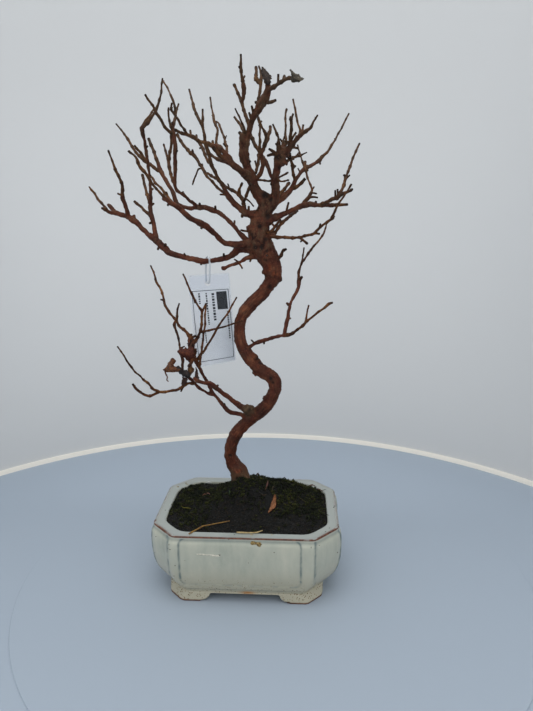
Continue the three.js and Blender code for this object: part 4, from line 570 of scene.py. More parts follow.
def makePot():
    points, faces = ringSkin(potRings())
    piece = meshPiece("pot_glazed", inFrame(points), faces)
    cutWith(piece, potFeet(), "UNION")
    for side in (-1, 1):
        bpy.ops.mesh.primitive_cylinder_add(
            vertices=40, radius=pot["drainRadius"] * mm, depth=60 * mm,
            location=tuple(inFrame((side * pot["drainSpacing"], 0, 0))))
        drill = bpy.context.object
        bpy.context.view_layer.update()
        drill.data.transform(drill.matrix_world)
        drill.matrix_world = Matrix.Identity(4)
        cutWith(piece, drill, "DIFFERENCE")
    mesh = piece.data
    mesh.materials.clear()
    mesh.materials.append(glazedStoneware())
    mesh.polygons.foreach_set("material_index", np.zeros(len(mesh.polygons), np.int32))
    mesh.shade_smooth()
    x, y, z = ((vertexPlaces(mesh) - potMiddle) / mm).T
    edge = np.maximum(np.abs(x) - 85.25, np.abs(y) - 58.25)
    edge = np.maximum(edge, (np.abs(x) + np.abs(y) - (85.25 + 58.25 - 22)) / math.sqrt(2))
    rimEdge = np.hypot(np.minimum(edge + 0.25, 0), z - pot["height"])
    worn = np.where(y < -30, 1.5, 0.3) * (1 + roughness3d(np.stack([x, y, z], 1), 6, 2, 3))
    frameAt, panelAt = frameDistances(x, y, z)
    wall = (edge > -13) & (z > 9) & (z < 66.5)
    # Clay shows on the rim's worn outer edge and under the feet
    storeValue(mesh, "bareClay", np.clip(np.maximum(worn * (1 - smoothStep(rimEdge, 0.6, 1.3)),
                                                    1 - smoothStep(z, 1.0, 1.9)), 0, 1))
    storeValue(mesh, "rimTop", smoothStep(z, 67.2, 67.6))
    blotches = 1 + 0.9 * roughness3d(np.stack([x, y, z], 1), 5, 3, 8)
    # Darker along the frames' and panels' edges and in a band under the rim: glaze pooling with painted shade
    grooves = np.exp(-(frameAt / 0.9) ** 2) + np.exp(-(panelAt / 0.9) ** 2)
    sides = np.where(z > 26, 1.0, 0.55)
    underRimShade = np.exp(-((z - 64.6) / 1.6) ** 2)
    storeValue(mesh, "pooledGlaze",
               np.clip(wall * (0.85 * grooves * sides * blotches + 0.4 * underRimShade), 0, 1))
    stain = np.exp(-((x - 3) / 6) ** 2 - ((z - 9.5) / 1.6) ** 2) * (y < -40)
    storeValue(mesh, "rustStain", stain)
    ride(piece, "glazed_stoneware", "pot")
    return piece


# Marks on the pot, as seen from the front: x, z, half width, half height
potMarks = [
    ("pot_iron_spots", "glazed_stoneware", ["#1d1b1a", "#3c3228"], 0.25, [
        (-93.6, 31.1, 0.5, 0.5), (-95.6, 12.8, 0.4, 0.35), (-80.8, 22.4, 0.35, 1.3), (-80.2, 16.8, 1.3, 0.3),
        (-82, 17.9, 0.3, 1), (24.7, 16.8, 0.6, 0.5), (61.3, 23.6, 0.3, 1.2), (-30.1, 12.2, 1.1, 0.6),
        (-1.3, 4.2, 0.5, 0.4), (-65.4, 4.8, 0.4, 0.4), (-77.3, -13.4, 0.7, 0.4), (-66, -18.7, 0.8, 0.3),
        (-45.9, -18.8, 0.8, 0.3), (-34.2, -26.4, 0.9, 0.3), (-23.1, -27, 0.6, 0.4), (-15.1, -29.2, 0.7, 0.3),
        (-4.8, -25.7, 0.6, 0.3), (24.5, -18.4, 0.5, 0.5), (55, -25.1, 0.6, 0.3), (69.2, 26.3, 0.5, 0.4),
        (-62.4, -35.9, 0.5, 0.3), (-51.6, -36.3, 0.4, 0.3), (-63.9, -39.8, 0.5, 0.3), (72.9, -18.7, 0.5, 0.5),
        (83.3, 69.4, 1.2, 0.4), (82.5, 68.1, 0.5, 0.7), (38.2, -39.8, 3.2, 0.7)]),
    ("pot_glaze_run", "glazed_stoneware", ["#b9b6a6", "#dad6c6"], 0.2, [
        (-42, 11.8, 14, 0.7), (-49, 12.2, 6, 1.1), (-34.4, 10.9, 5, 1.2)]),
    ("pot_flakes", None, ["#5e4a2a", "#a08a55"], 0.5, [
        (3.6, 26.6, 3.1, 2.5), (9.7, 25.4, 2.8, 3.0), (6.6, 26.4, 2.6, 1.6), (2.4, 35.9, 2.2, 0.4),
        (22.4, 36.4, 1.4, 0.3), (-68.8, 86.2, 1.6, 0.5), (-60.7, 90.3, 1.2, 0.4), (-59.6, 89.1, 2.3, 0.3)]),
]


def markMaterial(name, dark, pale, roughness):
    # A spot in or on the glaze, clouded from its darker to its paler colour
    material, nodes, shader, coords = startMaterial(name)
    clouds = addNode(nodes, "ShaderNodeTexNoise", {"Vector": coords, "Scale": patternScale(1.6), "Detail": 4})
    colour = addNode(nodes, "ShaderNodeValToRGB", {0: clouds.outputs[0]}, stops=[(0.4, dark), (0.62, pale)])
    nodes.links.new(colour.outputs[0], shader.inputs["Base Color"])
    shader.inputs["Roughness"].default_value = roughness
    return material


def markPot(piece):
    finder = BVHTree.FromPolygons(
        [v.co for v in piece.data.vertices], [p.vertices[:] for p in piece.data.polygons])
    start = Vector(inFrame(eye))
    pick = random.Random(2)
    for name, slot, colours, thick, marks in potMarks:
        parts = []
        for x, z, wide, tall in marks:
            rows, turns = [], 12
            for reach, lift in ((0.0, thick), (0.65, thick * 0.9), (1.0, -0.1)):
                for k in range(turns if reach else 1):
                    a = 2 * math.pi * k / turns
                    far = reach * (pick.uniform(0.75, 1.15) if reach == 1 else 1)
                    aim = Vector(inFrame(
                        (x + far * wide * math.cos(a), 0, z + far * tall * math.sin(a)))) - start
                    hit = finder.ray_cast(start, aim)
                    if hit[0]:
                        place, normal = hit[:2]
                    rows.append(np.array(place + normal * lift * mm * min(wide, tall, 1)))
            rows.append(np.mean(rows[1 + turns:], axis=0) - np.array(normal) * 0.2 * mm)
            faces = []
            for k in range(turns):
                a, b = k + 1, (k + 1) % turns + 1
                faces += [(0, a, b), (a, a + turns, b + turns, b), (a + turns, 2 * turns + 1, b + turns)]
            parts.append((np.array(rows), faces))
        marked = meshPiece(name, *joinParts(parts), markMaterial(name, *colours, 0.25 if slot else 0.8))
        ride(marked, slot)


markPot(makePot())

# Soil, moss and what lies on it
soil = {
    "edgeHeight": 65.2,
    "bottom": 15.6,
    "wallGap": 0.45,
    "mounds": [(-6, 14, 19, 24, 25), (25, 19, 10, 19, 24), (48, 25, 6, 18, 17), (-44, -4, 2, 18, 22)],
    "cushions": [(-8, 4, 7.5, 15, 11), (8, 31, 6, 13, 11), (34, 34, 4.5, 13, 9), (-66, -4, 2.5, 12, 18),
                 (-56, 30, 2, 16, 14), (60, 26, 3, 16, 14), (66, -10, 2, 9, 16), (-22, 34, 3, 12, 10)],
    "mossPatches": [  # x, y, reach, how thick
        (-20, 35, 12, 0.9), (10, 28, 20, 0.8), (35, 18, 18, 1.0), (50, 6, 14, 1.0), (62, 16, 14, 0.9),
        (-68, -4, 14, 1.0), (-58, 12, 15, 0.9), (68, -12, 13, 1.0), (55, 28, 18, 0.7), (-58, 30, 15, 0.6),
        (30, -8, 14, 0.7), (-44, -20, 14, 0.5), (-8, 4, 14, 0.7), (-30, 10, 16, 0.6), (-52, -30, 12, 0.5),
    ],
    "bareSpots": [(-2, -32, 26, 14), (41, -30, 14, 9), (-22, -14, 12, 9)],
    "fallenLeaf": (21, -4, 6, 11),
    "crumbsPerM2": 480000.0,
    "tuftsPerM2": 330000.0,
    "fibresPerM2": 60000.0,
    "seed": 3,
}


def cushionTop(x, y):
    # Moss and peat stand over the soil in places that the litter keeps clear of
    return sum(h * np.exp(-((x - cx) / sx) ** 2 - ((y - cy) / sy) ** 2)
               for cx, cy, h, sx, sy in soil["cushions"])


def soilTop(x, y):
    swell = sum(h * np.exp(-((x - cx) / sx) ** 2 - ((y - cy) / sy) ** 2)
                for cx, cy, h, sx, sy in soil["mounds"])
    turn = 2 * math.pi
    lumps = np.sin(turn * x / 20) * np.cos(turn * y / 17) + np.sin(turn * (x - y) / 37) / 2
    inward = np.clip(np.minimum(75.3 - np.abs(x), 48.3 - np.abs(y)) / 14, 0, 1)
    return soil["edgeHeight"] + swell * (0.25 + 0.75 * inward) + 0.7 * lumps * inward


def groundTop(x, y):
    return soilTop(x, y) + cushionTop(x, y)


def mossShare(x, y):
    share = sum(thick * np.exp(-((x - cx) ** 2 + (y - cy) ** 2) / reach ** 2)
                for cx, cy, reach, thick in soil["mossPatches"])
    share = np.clip(share, 0, 1)
    for cx, cy, sx, sy in soil["bareSpots"]:
        share = share * (1 - 0.92 * np.exp(-((x - cx) / sx) ** 2 - ((y - cy) / sy) ** 2))
    return share


def compostMaterial(name, stops, size):
    # Damp dark compost: near black, mottled with brown fibre
    material, nodes, shader, coords = startMaterial(name)
    mottle = addNode(nodes, "ShaderNodeTexNoise", {
        "Vector": coords, "Scale": patternScale(size), "Detail": 6, "Roughness": 0.75})
    colour = addNode(nodes, "ShaderNodeValToRGB", {0: mottle.outputs[0]}, stops=stops)
    nodes.links.new(colour.outputs[0], shader.inputs["Base Color"])
    shader.inputs["Roughness"].default_value = 0.85
    shader.inputs["Specular IOR Level"].default_value = 0.3
    bump = addNode(nodes, "ShaderNodeBump", {
        "Height": mottle.outputs[0], "Strength": 0.8, "Distance": 0.5 * mm})
    nodes.links.new(bump.outputs[0], shader.inputs["Normal"])
    return material


def scatterNodes(name, material):
    # Variants from a collection, set at random on a surface where the density attribute lets them
    nodes, given = startNodes(name, {
        "Variants": "Collection", "Density": "Float", "Apart": "Float", "Smallest": "Float",
        "Largest": "Float",
        "Upright": "Float", "Seed": "Int"})
    share = addNode(nodes, "GeometryNodeInputNamedAttribute", {"Name": "scatterShare"}, data_type="FLOAT")
    spread = addNode(nodes, "GeometryNodeDistributePointsOnFaces", {
        "Mesh": given["Geometry"], "Distance Min": given["Apart"], "Density Max": given["Density"],
        "Density Factor": share.outputs[0], "Seed": given["Seed"]}, distribute_method="POISSON")
    tilt = addNode(nodes, "FunctionNodeRandomValue", {0: (-1, -1, -1), 1: (1, 1, 1), "Seed": given["Seed"]},
                   data_type="FLOAT_VECTOR")
    up = addNode(nodes, "ShaderNodeCombineXYZ", {"Z": given["Upright"]})
    aim = addNode(nodes, "ShaderNodeVectorMath", {0: tilt.outputs[0], 1: spread.outputs["Normal"]})
    lifted = addNode(nodes, "ShaderNodeVectorMath", {0: aim.outputs[0], 1: up.outputs[0]})
    spin = addNode(nodes, "FunctionNodeRandomValue", {2: 0.0, 3: 6.283, "Seed": given["Seed"]},
                   data_type="FLOAT")
    spun = addNode(nodes, "ShaderNodeCombineXYZ", {"Z": spin.outputs[1]})
    turned = addNode(nodes, "FunctionNodeAlignRotationToVector", {
        "Rotation": spun.outputs[0], "Vector": lifted.outputs[0]}, axis="Z")
    size = addNode(nodes, "FunctionNodeRandomValue", {2: given["Smallest"], 3: given["Largest"],
                                                      "Seed": given["Seed"]}, data_type="FLOAT")
    variants = addNode(nodes, "GeometryNodeCollectionInfo", {
        "Collection": given["Variants"], "Separate Children": True, "Reset Children": True})
    placed = addNode(nodes, "GeometryNodeInstanceOnPoints", {
        "Points": spread.outputs[0], "Instance": variants.outputs[0], "Pick Instance": True,
        "Rotation": turned.outputs[0], "Scale": size.outputs[1]})
    finishNodes(nodes, placed.outputs[0], material)
    return nodes


def scatterPiece(name, slot, surface, shares, variants, material, **values):
    carrier = bpy.data.objects.new(name + "Ground", surface.copy())
    bpy.context.scene.collection.objects.link(carrier)
    storeValue(carrier.data, "scatterShare", shares)
    group = bpy.data.collections.new(name + "Variants")
    for variant in variants:
        for home in list(variant.users_collection):
            home.objects.unlink(variant)
        group.objects.link(variant)
    piece = bakeNodes(name, carrier, scatterNodes(name, material), {
        "Variants": group, "Seed": soil["seed"], **values})
    for extra in [carrier, *variants]:
        removeObject(extra)
    bpy.data.collections.remove(group)
    ride(piece, slot)


def lump(index):
    bpy.ops.mesh.primitive_ico_sphere_add(subdivisions=1, radius=mm)
    piece = bpy.context.object
    piece.name = f"lump{index}"
    places = vertexPlaces(piece.data)
    places *= (1, 0.55 + 0.2 * index, 0.6)
    places *= 1 + 0.5 * roughness3d(places / mm, 1.2, 2, index)[:, None]
    setPlaces(piece.data, places)
    return piece


def tuft(index):
    # A little cushion of moss: stems that lean out from its middle, each a narrow three-sided leaf
    pick = random.Random(soil["seed"] + index)
    points, faces = [], []
    for k in range(9 + index):
        turn = k * 2.4 + pick.uniform(-0.4, 0.4)
        lean = 0.25 + 0.5 * math.sqrt(k / 9)
        out = np.array([math.cos(turn), math.sin(turn), 0])
        across = np.array([-out[1], out[0], 0])
        tall = pick.uniform(0.7, 1.25) * (1.5 - 0.5 * lean)
        foot = out * 0.5 * lean
        knee = foot + out * 0.4 * lean + np.array([0, 0, tall * 0.6])
        tip = foot + out * 1.1 * lean + np.array([0, 0, tall])
        start = len(points)
        for middle, wide in ((foot, 0.22), (knee, 0.2)):
            points += [middle - across * wide, middle + across * wide, middle - out * wide * 0.8]
        points.append(tip)
        for side in range(3):
            a, b = start + side, start + (side + 1) % 3
            faces += [(a, b, b + 3, a + 3), (a + 3, b + 3, start + 6)]
        faces.append((start, start + 2, start + 1))
    return meshPiece(f"tuft{index}", np.array(points) * mm, faces)


def fibre(index):
    bend = [(0, 0, 0), (1.6, 0.5 * index, 0.5), (3.4, -0.3 + index, 0.7), (5.0, 0.6, 0.2 + 0.4 * index)]
    points, faces = tubeAround(*smoothRun(np.array(bend), np.array([0.16, 0.2, 0.17, 0.08]), 0.8), 4)
    return meshPiece(f"fibre{index}", points * mm, faces)


def mossMaterial():
    # Living moss on damp soil: very dark green with olive and yellow-green tips in patches
    material, nodes, shader, coords = startMaterial("darkMoss")
    patches = addNode(nodes, "ShaderNodeTexNoise", {"Vector": coords, "Scale": patternScale(13), "Detail": 3})
    fine = addNode(nodes, "ShaderNodeTexNoise", {"Vector": coords, "Scale": patternScale(1.3), "Detail": 2})
    both = addNode(nodes, "ShaderNodeMix", {0: 0.6, 2: patches.outputs[0], 3: fine.outputs[0]})
    colour = addNode(nodes, "ShaderNodeValToRGB", {0: both.outputs[0]}, stops=[
        (0.36, "#080b08"), (0.47, "#141c0e"), (0.56, "#313716"), (0.68, "#5d5a28")])
    nodes.links.new(colour.outputs[0], shader.inputs["Base Color"])
    shader.inputs["Roughness"].default_value = 0.8
    shader.inputs["Specular IOR Level"].default_value = 0.25
    return material


def makeSoil():
    bottomX, bottomY, bottomCut = (v - soil["wallGap"] for v in sectionAt(pot["inner"], soil["bottom"]))
    rings = [levelRing(outlineRing(bottomX, bottomY, bottomCut, pot["openingSoftness"]), soil["bottom"])]
    for z in np.linspace(20, 64, 9):
        x, y, cut = sectionAt(pot["inner"], z)
        ring = outlineRing(x - soil["wallGap"], y - soil["wallGap"], cut, pot["openingSoftness"])
        rings.append(levelRing(ring, z))
    edge = rings[-1][:, :2]
    for share in 1 - np.linspace(0.002, 0.985, 64):
        flat = edge * share
        top = groundTop(flat[:, 0], flat[:, 1])
        rings.append(np.column_stack([flat, top]))
    points, faces = ringSkin(rings)
    piece = meshPiece("compost", inFrame(points), faces, compostMaterial("dampCompost", [
        (0.35, "#040505"), (0.52, "#0a0b0b"), (0.66, "#16130f"), (0.8, "#2a2219")], 2.5))
    mesh = piece.data
    places = (vertexPlaces(mesh) - potMiddle) / mm
    top = smoothStep(places[:, 2], 64.2, 65.0)
    clods = 0.8 + 0.35 * cushionTop(places[:, 0], places[:, 1])
    lumps = roughness3d(places, 5.0, 4, 1) * clods * top
    places[:, 2] += lumps
    setPlaces(mesh, inFrame(places))
    ride(piece, "compost", "soil")
    share = mossShare(places[:, 0], places[:, 1])
    patchy = np.clip(share * 1.15 + 0.45 * roughness3d(places, 9.0, 2, 6), 0, 1) * (top > 0.5)
    cx, cy, sx, sy = soil["fallenLeaf"]
    clear = ((places[:, 0] - cx) / sx) ** 2 + ((places[:, 1] - cy) / sy) ** 2 > 1
    inside = clear & (top > 0.5) & (np.abs(places[:, 0]) < 74.4) & (np.abs(places[:, 1]) < 47.5)
    surface = mesh.copy()
    scatterPiece("compost_crumbs", "compost", surface, inside * np.clip(1.1 - 0.6 * share, 0, 1),
                 [lump(k) for k in range(3)], compostMaterial("compostCrumbs", [
                     (0.3, "#050606"), (0.5, "#0f1010"), (0.62, "#211c15"), (0.78, "#4a3b27")], 3.5),
                 **{"Density": soil["crumbsPerM2"], "Apart": 0.8 * mm, "Smallest": 0.4, "Largest": 1.5,
                    "Upright": 0.3})
    scatterPiece("moss", None, surface, patchy * inside, [tuft(k) for k in range(3)], mossMaterial(),
                 **{"Density": soil["tuftsPerM2"], "Apart": 1.15 * mm, "Smallest": 0.7, "Largest": 2.0,
                    "Upright": 1.6})
    scatterPiece("peat_fibres", "compost", surface, inside * 0.8, [fibre(k) for k in range(3)],
                 compostMaterial("peatFibre", [(0.4, "#120e0a"), (0.58, "#2f2416"), (0.75, "#6b5733")], 9),
                 **{"Density": soil["fibresPerM2"], "Apart": 2.2 * mm, "Smallest": 0.5, "Largest": 1.5,
                    "Upright": 0.35})


makeSoil()

# Tree
tree = {
    "fuseOver": 1.7,
    "voxel": 0.72,
    "runStep": 1.2,
    "twigStep": 1.1,
    "tubeSides": 14,
    "twigSides": 9,
    "barkDepth": 0.36,
    "barkRidges": 3.0,
    "ridgeStretch": 0.2,
    "knuckle": 0.55,
    "evenLumps": 0.3,
    "spurTaper": 0.68,
    "twigThicker": (1.08, 0.26),
    "nodesApart": (5.0, 9.5),
    "nodeSwelling": 0.34,
    "kink": 0.35,
    "budLength": 1.7,
    "throughHole": (19.3, 308.0, 0.85),
    # Clumps of small dead spurs, as seen: x, z, reach, how many, how long
    "brushes": [(13, 333, 9, 16, 8), (13, 352, 7, 9, 7), (29, 388, 8, 16, 8), (44, 384, 8, 8, 6),
                (18, 430, 6, 6, 5), (-20, 397, 4, 3, 4), (-52, 226, 5, 7, 6), (38, 398, 5, 5, 6),
                (-80, 322, 5, 3, 3), (20, 448, 5, 4, 4)],
    "seed": 4,
}

# Each branch: name, the branch it grows from, depths y at even steps along it after its root, its line of
# [x, z, radius] as seen on the upright plane through the pot's middle, and its spurs of
# [x, z, tip x, tip z, radius]
branches = [
  ["trunk", "", [18, 21, 14, 5, 6, 12, 14, 12], [
    [-7, 70, 10.5], [-7.1, 84, 10.5], [-7.4, 97, 9.2], [-8.1, 100, 8.5], [-9.4, 105, 8], [-13, 110, 7],
    [-15.2, 115, 6.3], [-16.8, 120, 5.9], [-16.8, 125, 5.5], [-16, 130, 5.6], [-14.3, 135, 5.9],
    [-12.3, 140, 5.9], [-9.4, 145, 5.8], [-4.7, 150, 5.6], [0.2, 155, 5.7], [5.5, 160, 6], [12.5, 165.5, 6],
    [17.5, 170.5, 5.8], [20.8, 175, 5.7], [23.4, 180, 5.6], [25.4, 185, 5.4], [26, 190, 5.8],
    [25, 195.5, 6.2],
    [20.5, 200, 6.2], [15, 203.2, 6], [10.4, 207.4, 6], [5.8, 212.8, 5.9], [0.8, 218.3, 5.5],
    [-2.2, 224, 5.4],
    [-4.6, 229.5, 5.2], [-5.6, 235, 5], [-6, 240, 4.8], [-6, 245, 4.7], [-5.1, 250, 4.8], [-3, 255, 5],
    [0, 260, 5.3], [5, 265.5, 5.6], [10.3, 271, 5.6], [15.7, 276.5, 5.7], [20.2, 282.6, 5.8],
    [23.4, 287.5, 6.6], [24, 293, 7.6], [22.9, 300, 8.4], [19.6, 307, 9.2], [16, 313, 10], [13.4, 320, 10.3],
    [12.5, 328, 9.5], [13, 336, 8.3], [14, 342, 7]],
    [[6, 162, -1.2, 168.5, 4.4], [18, 207, 6.5, 200.6, 2.6], [5, 219, 9.6, 216.4, 2.2],
    [21, 176, 15.2, 178.6, 2.4],
    [22, 292, 15.6, 294.4, 2.6], [19, 279, 24.4, 279, 2.6], [9, 330, 2.4, 331, 3]]],
  ["hubSpurRight", "trunk", [8, 4], [[25, 305, 1.8], [30.3, 307.2, 1.3], [32.8, 311.6, 0.8],
    [35.9, 313.6, 0.7]], []],
  ["lowStubLeft", "trunk", [6, 0], [[10, 308, 2.4], [1.8, 306.2, 1.5], [-3.3, 303.1, 1.2], [-8.5, 301, 1.1],
    [-13.6, 299.5, 1.1], [-18.2, 297.4, 1.6], [-20.8, 297.2, 1.4]],
    [[-5.4, 301.5, -2.6, 297, 0.6], [-5.5, 302, -9.5, 304.9, 0.5], [6, 307, 4.2, 302.8, 0.8]]],
  ["leftLow", "trunk", [19, 22, 33, 44, 54], [[10, 314, 6], [1.8, 314.9, 4.2], [-5.9, 313.6, 3.3],
    [-9.5, 309.8, 2.7], [-15.1, 306.9, 2.1], [-23.8, 304.6, 1.9], [-30, 303.5, 1.9], [-38.2, 303.4, 2.3],
    [-44.4, 304.6, 2], [-52.1, 306.7, 2], [-59.7, 308.5, 2], [-66.9, 310.8, 2.3], [-69.6, 313.6, 2.8],
    [-73.3, 316.6, 2.6], [-77.4, 321.3, 2.3], [-81.5, 323.9, 1.9], [-85.6, 327.7, 1.7], [-89.7, 331.8, 1.7],
    [-93.8, 336.2, 2], [-96.6, 338.2, 2.2], [-100.5, 340.8, 1.8], [-104.1, 342.5, 1.7], [-108.2, 343.5, 1.8],
    [-112.3, 344.9, 1.8]],
    [[-95.9, 338, -96, 343.2, 1.4], [-70.5, 314, -69.6, 318.2, 1.3], [-74.5, 317.8, -76.6, 313.4, 0.9],
    [-38.7, 303.5, -38.8, 300, 1], [-18.7, 306, -18.6, 309.6, 0.9], [-52, 306.5, -53.4, 310, 0.8]]],
  ["leftTipUpper", "leftLow", [62], [[-112, 344.7, 1.6], [-115.4, 349.3, 1.3], [-118.2, 352, 1]], []],
  ["leftTipLower", "leftLow", [50, 44], [[-111, 344.5, 1.5], [-116.4, 345.1, 1.3], [-119.5, 346.9, 1.2],
    [-124, 348.8, 0.8]], []],
  ["leftTipThin", "leftTipLower", [58, 70], [[-118.8, 346.6, 0.9], [-121, 349.8, 0.8], [-124.1, 353.1, 0.9],
    [-126.7, 356.7, 0.7], [-129.7, 361.5, 0.7], [-133.5, 366.6, 0.4]], []],
  ["leftLowUp", "leftLow", [42, 30, 20], [[-101, 341.5, 1.6], [-102.3, 348.5, 1.5], [-104.1, 354.1, 1.4],
    [-105.2, 358.5, 1.4], [-104.8, 363.4, 1.1], [-104.6, 369, 1], [-106.7, 373.9, 0.8], [-109.2, 379.6, 0.9],
    [-111.3, 386, 0.6], [-114.6, 396, 0.4]], [[-105, 358.6, -109.4, 361, 0.7]]],
  ["leftMidUp", "leftLow", [46, 52], [[-77.6, 321.5, 2.2], [-78.5, 330.8, 1.7], [-79, 336.5, 1.6],
    [-80.3, 340.2, 1.6], [-81, 345.9, 1.5], [-81, 353.5, 1.4]],
    [[-79, 337, -83, 335.6, 1], [-81, 350, -78, 352.4, 0.9]]],
  ["leftMidUpSide", "leftMidUp", [64, 72], [[-80.5, 341.5, 1.1], [-84.6, 344.7, 1], [-88.7, 349, 0.8],
    [-94.8, 354.2, 0.8]], []],
  ["leftMidUpBack", "leftMidUp", [66, 76], [[-81, 352, 1.2], [-83.1, 358.7, 1], [-84.6, 365.4, 0.8],
    [-86.6, 376.2, 0.8]], []],
  ["leftTall", "leftMidUp", [44, 34, 24, 14, 8], [[-81, 352, 1.4], [-80.5, 360, 1.2], [-80.3, 366.4, 1],
    [-80.5, 375.1, 0.9], [-81, 382.3, 1], [-82.1, 393.1, 1], [-83.1, 402.3, 1.1], [-84.4, 410.2, 1.4],
    [-84.4, 414, 1.3], [-81.8, 416, 1.2], [-77.2, 420, 1], [-74.6, 423.3, 0.8], [-72.2, 427, 0.8],
    [-69, 433.6, 0.7], [-67.4, 439.8, 0.5], [-65.4, 451, 0.35]],
    [[-80.4, 363, -78, 364.6, 0.8], [-82.5, 397, -80.6, 399, 0.7]]],
  ["leftTallTwin", "leftTall", [24, 30], [[-83.8, 414.4, 0.8], [-81.2, 419.2, 0.7], [-77.6, 422.6, 0.6],
    [-73, 429, 0.4]], []],
  ["leftUpper", "trunk", [4, -8, -22, -34], [[9, 318, 5], [-0.8, 317.9, 3.2], [-5.9, 317.4, 2.6],
    [-10.5, 317.9, 2.3], [-17.2, 318.7, 2], [-20.8, 321.3, 1.9], [-25.4, 326, 1.8], [-30, 330.3, 2.1],
    [-34.1, 333.8, 2.4], [-38.2, 335.7, 2.5], [-42.3, 337.2, 2], [-47.6, 340.8, 2], [-53.1, 345.7, 2],
    [-57.2, 349, 2.1], [-62.3, 352.2, 1.7], [-66.9, 355.4, 1.7], [-70.5, 357, 1.4]],
    [[-64, 353.2, -66, 350.8, 0.9], [-36, 334.6, -37.6, 331.4, 1]]],
  ["leftUpperTwig", "leftUpper", [-46, -58], [[-67.5, 355.7, 1], [-71.3, 360.2, 0.8], [-75.4, 364.9, 0.7],
    [-78.5, 368.5, 0.8], [-81.5, 373.6, 1], [-84.1, 377.7, 1], [-87.4, 381.2, 1.1], [-89.5, 384.8, 1],
    [-90.8, 389.3, 0.8], [-93.8, 392.8, 0.6], [-97.8, 395.4, 0.5]], []],
  ["leftUpperTwigInner", "leftUpper", [-22, -12], [[-62, 352.2, 1], [-66.2, 358.9, 0.8], [-71.8, 365.6, 0.7],
    [-75.9, 369.7, 0.8], [-79.9, 375.7, 0.5]], [[-66, 358.8, -66.9, 362, 0.7]]],
  ["leftBack", "trunk", [24, 36, 46], [[9, 319, 4], [1.8, 321, 2.2], [-1.8, 324.6, 1.8], [-5.4, 328.2, 1.6],
    [-9, 333.1, 1.4], [-15.6, 339.5, 1.3], [-19.7, 342.8, 1.4], [-22.8, 345, 1.6], [-26.4, 346.2, 1.8],
    [-30, 347.6, 1.8], [-34.1, 348.8, 1.8], [-38.2, 349.2, 1.8], [-42.3, 348.8, 1.5], [-46.4, 348.1, 1.3],
    [-51, 349, 1.4], [-54.6, 350, 1.6]],
    [[-9, 333.5, -8.6, 337.6, 0.7], [-25, 346, -24.9, 349.8, 0.9], [-38, 349.4, -38.4, 352.2, 0.9]]],
  ["leftBackUp", "leftBack", [54, 64, 72], [[-54, 349.8, 1.7], [-57.4, 350.8, 1.9], [-59.2, 354.8, 1.6],
    [-60.5, 360.6, 1.5], [-63.3, 365.6, 1.4], [-68.2, 374.1, 1.4], [-70.8, 379.4, 1.5], [-72.3, 384.4, 1.2],
    [-74.9, 391.6, 1], [-76.9, 397.7, 1], [-79.7, 405, 0.9]], []],
  ["leftBackTwig", "leftBackUp", [74, 84], [[-70.5, 378.5, 1.3], [-73.6, 379.8, 1.1], [-78.5, 383.6, 1],
    [-82.6, 386.2, 1.1], [-86.7, 389.5, 0.9], [-90.3, 393.3, 0.8], [-93.8, 398.3, 0.8], [-96.3, 403, 0.8],
    [-100.3, 409.2, 0.6], [-106.4, 416.8, 0.4]], []],
  ["leftBackTwigLow", "leftBackTwig", [66, 60], [[-82, 385.8, 0.9], [-86.7, 393.1, 0.8],
    [-92, 399.6, 0.6]], []],
  ["leftInner", "leftBack", [30, 24, 18, 20], [[-40.5, 349, 1.5], [-42.8, 351.5, 1.2], [-46.9, 354.6, 1.1],
    [-51, 358.5, 1.1], [-55.1, 361.3, 1.1], [-57.9, 363.8, 1.3], [-59, 366.9, 1.4], [-58.9, 371, 1.3],
    [-58.5, 377.2, 1.3], [-57.9, 387.9, 1.4], [-57.5, 398.2, 1.5], [-58.2, 406.3, 1.6], [-58.7, 411.5, 1.4],
    [-58.7, 417.6, 0.9]], [[-51.5, 358.8, -52.6, 362, 0.8], [-57.8, 393, -55.6, 395, 0.8]]],
  ["leftInnerFork", "leftInner", [38, 46], [[-59, 368.5, 1.2], [-61.2, 372.6, 1], [-62.4, 377.2, 0.9],
    [-63.3, 382.8, 1.1], [-63.8, 387.8, 1], [-65, 392, 0.7], [-67.1, 400.6, 0.4]], []],
  ["leftInnerForkTip", "leftInnerFork", [34], [[-63.6, 386.5, 1], [-62.6, 391.7, 0.9], [-61, 397.7, 0.8],
    [-60.3, 408, 0.5]], []],
  ["innerTopLeft", "leftInner", [10], [[-58.7, 411, 0.9], [-60.6, 415, 0.6], [-61.8, 421.8, 0.5],
    [-61.4, 428.6, 0.4]], []],
  ["innerTopRight", "leftInner", [34], [[-58.7, 413, 0.9], [-57, 418.7, 0.8], [-55.8, 423.6, 0.6],
    [-53, 431.4, 0.4]], []],
  ["innerTopCross", "leftInner", [8, -2, -8], [[-58.3, 407.5, 1.1], [-61.3, 409.6, 1], [-64.6, 412.9, 0.9],
    [-67.9, 418.1, 0.8], [-70, 421.9, 1.1], [-72.6, 425.7, 0.8], [-74.3, 429.4, 0.6], [-77.2, 433.8, 0.6],
    [-80.6, 439, 0.5]], []],
  ["leader", "trunk", [11, 9, 8], [[14, 338, 8], [16.4, 344.6, 6.3], [17.2, 350.6, 5.4], [15, 355.6, 4.7],
    [11, 360.4, 4.1], [8.5, 365.6, 3.7], [7.2, 370, 4], [5.6, 374.2, 4.2], [3.4, 380, 3.2], [1.5, 385.4, 3.3],
    [0.4, 391, 4.1], [0.3, 395.4, 3.2], [0.9, 400, 3.7], [1.2, 405, 4], [1.2, 407.6, 3]],
    [[12, 361, 20.8, 357.8, 2.3], [0.4, 404.5, -3.6, 408.8, 1.2], [2, 384, 5.8, 386, 1],
    [1, 399, -2.4, 401, 1]]],
  ["leftCrown", "leader", [0, -8], [[5.2, 372, 3], [-0.8, 377.2, 2.5], [-5.9, 381.1, 2.3],
      [-9.8, 384.2, 2.2]],
    []],
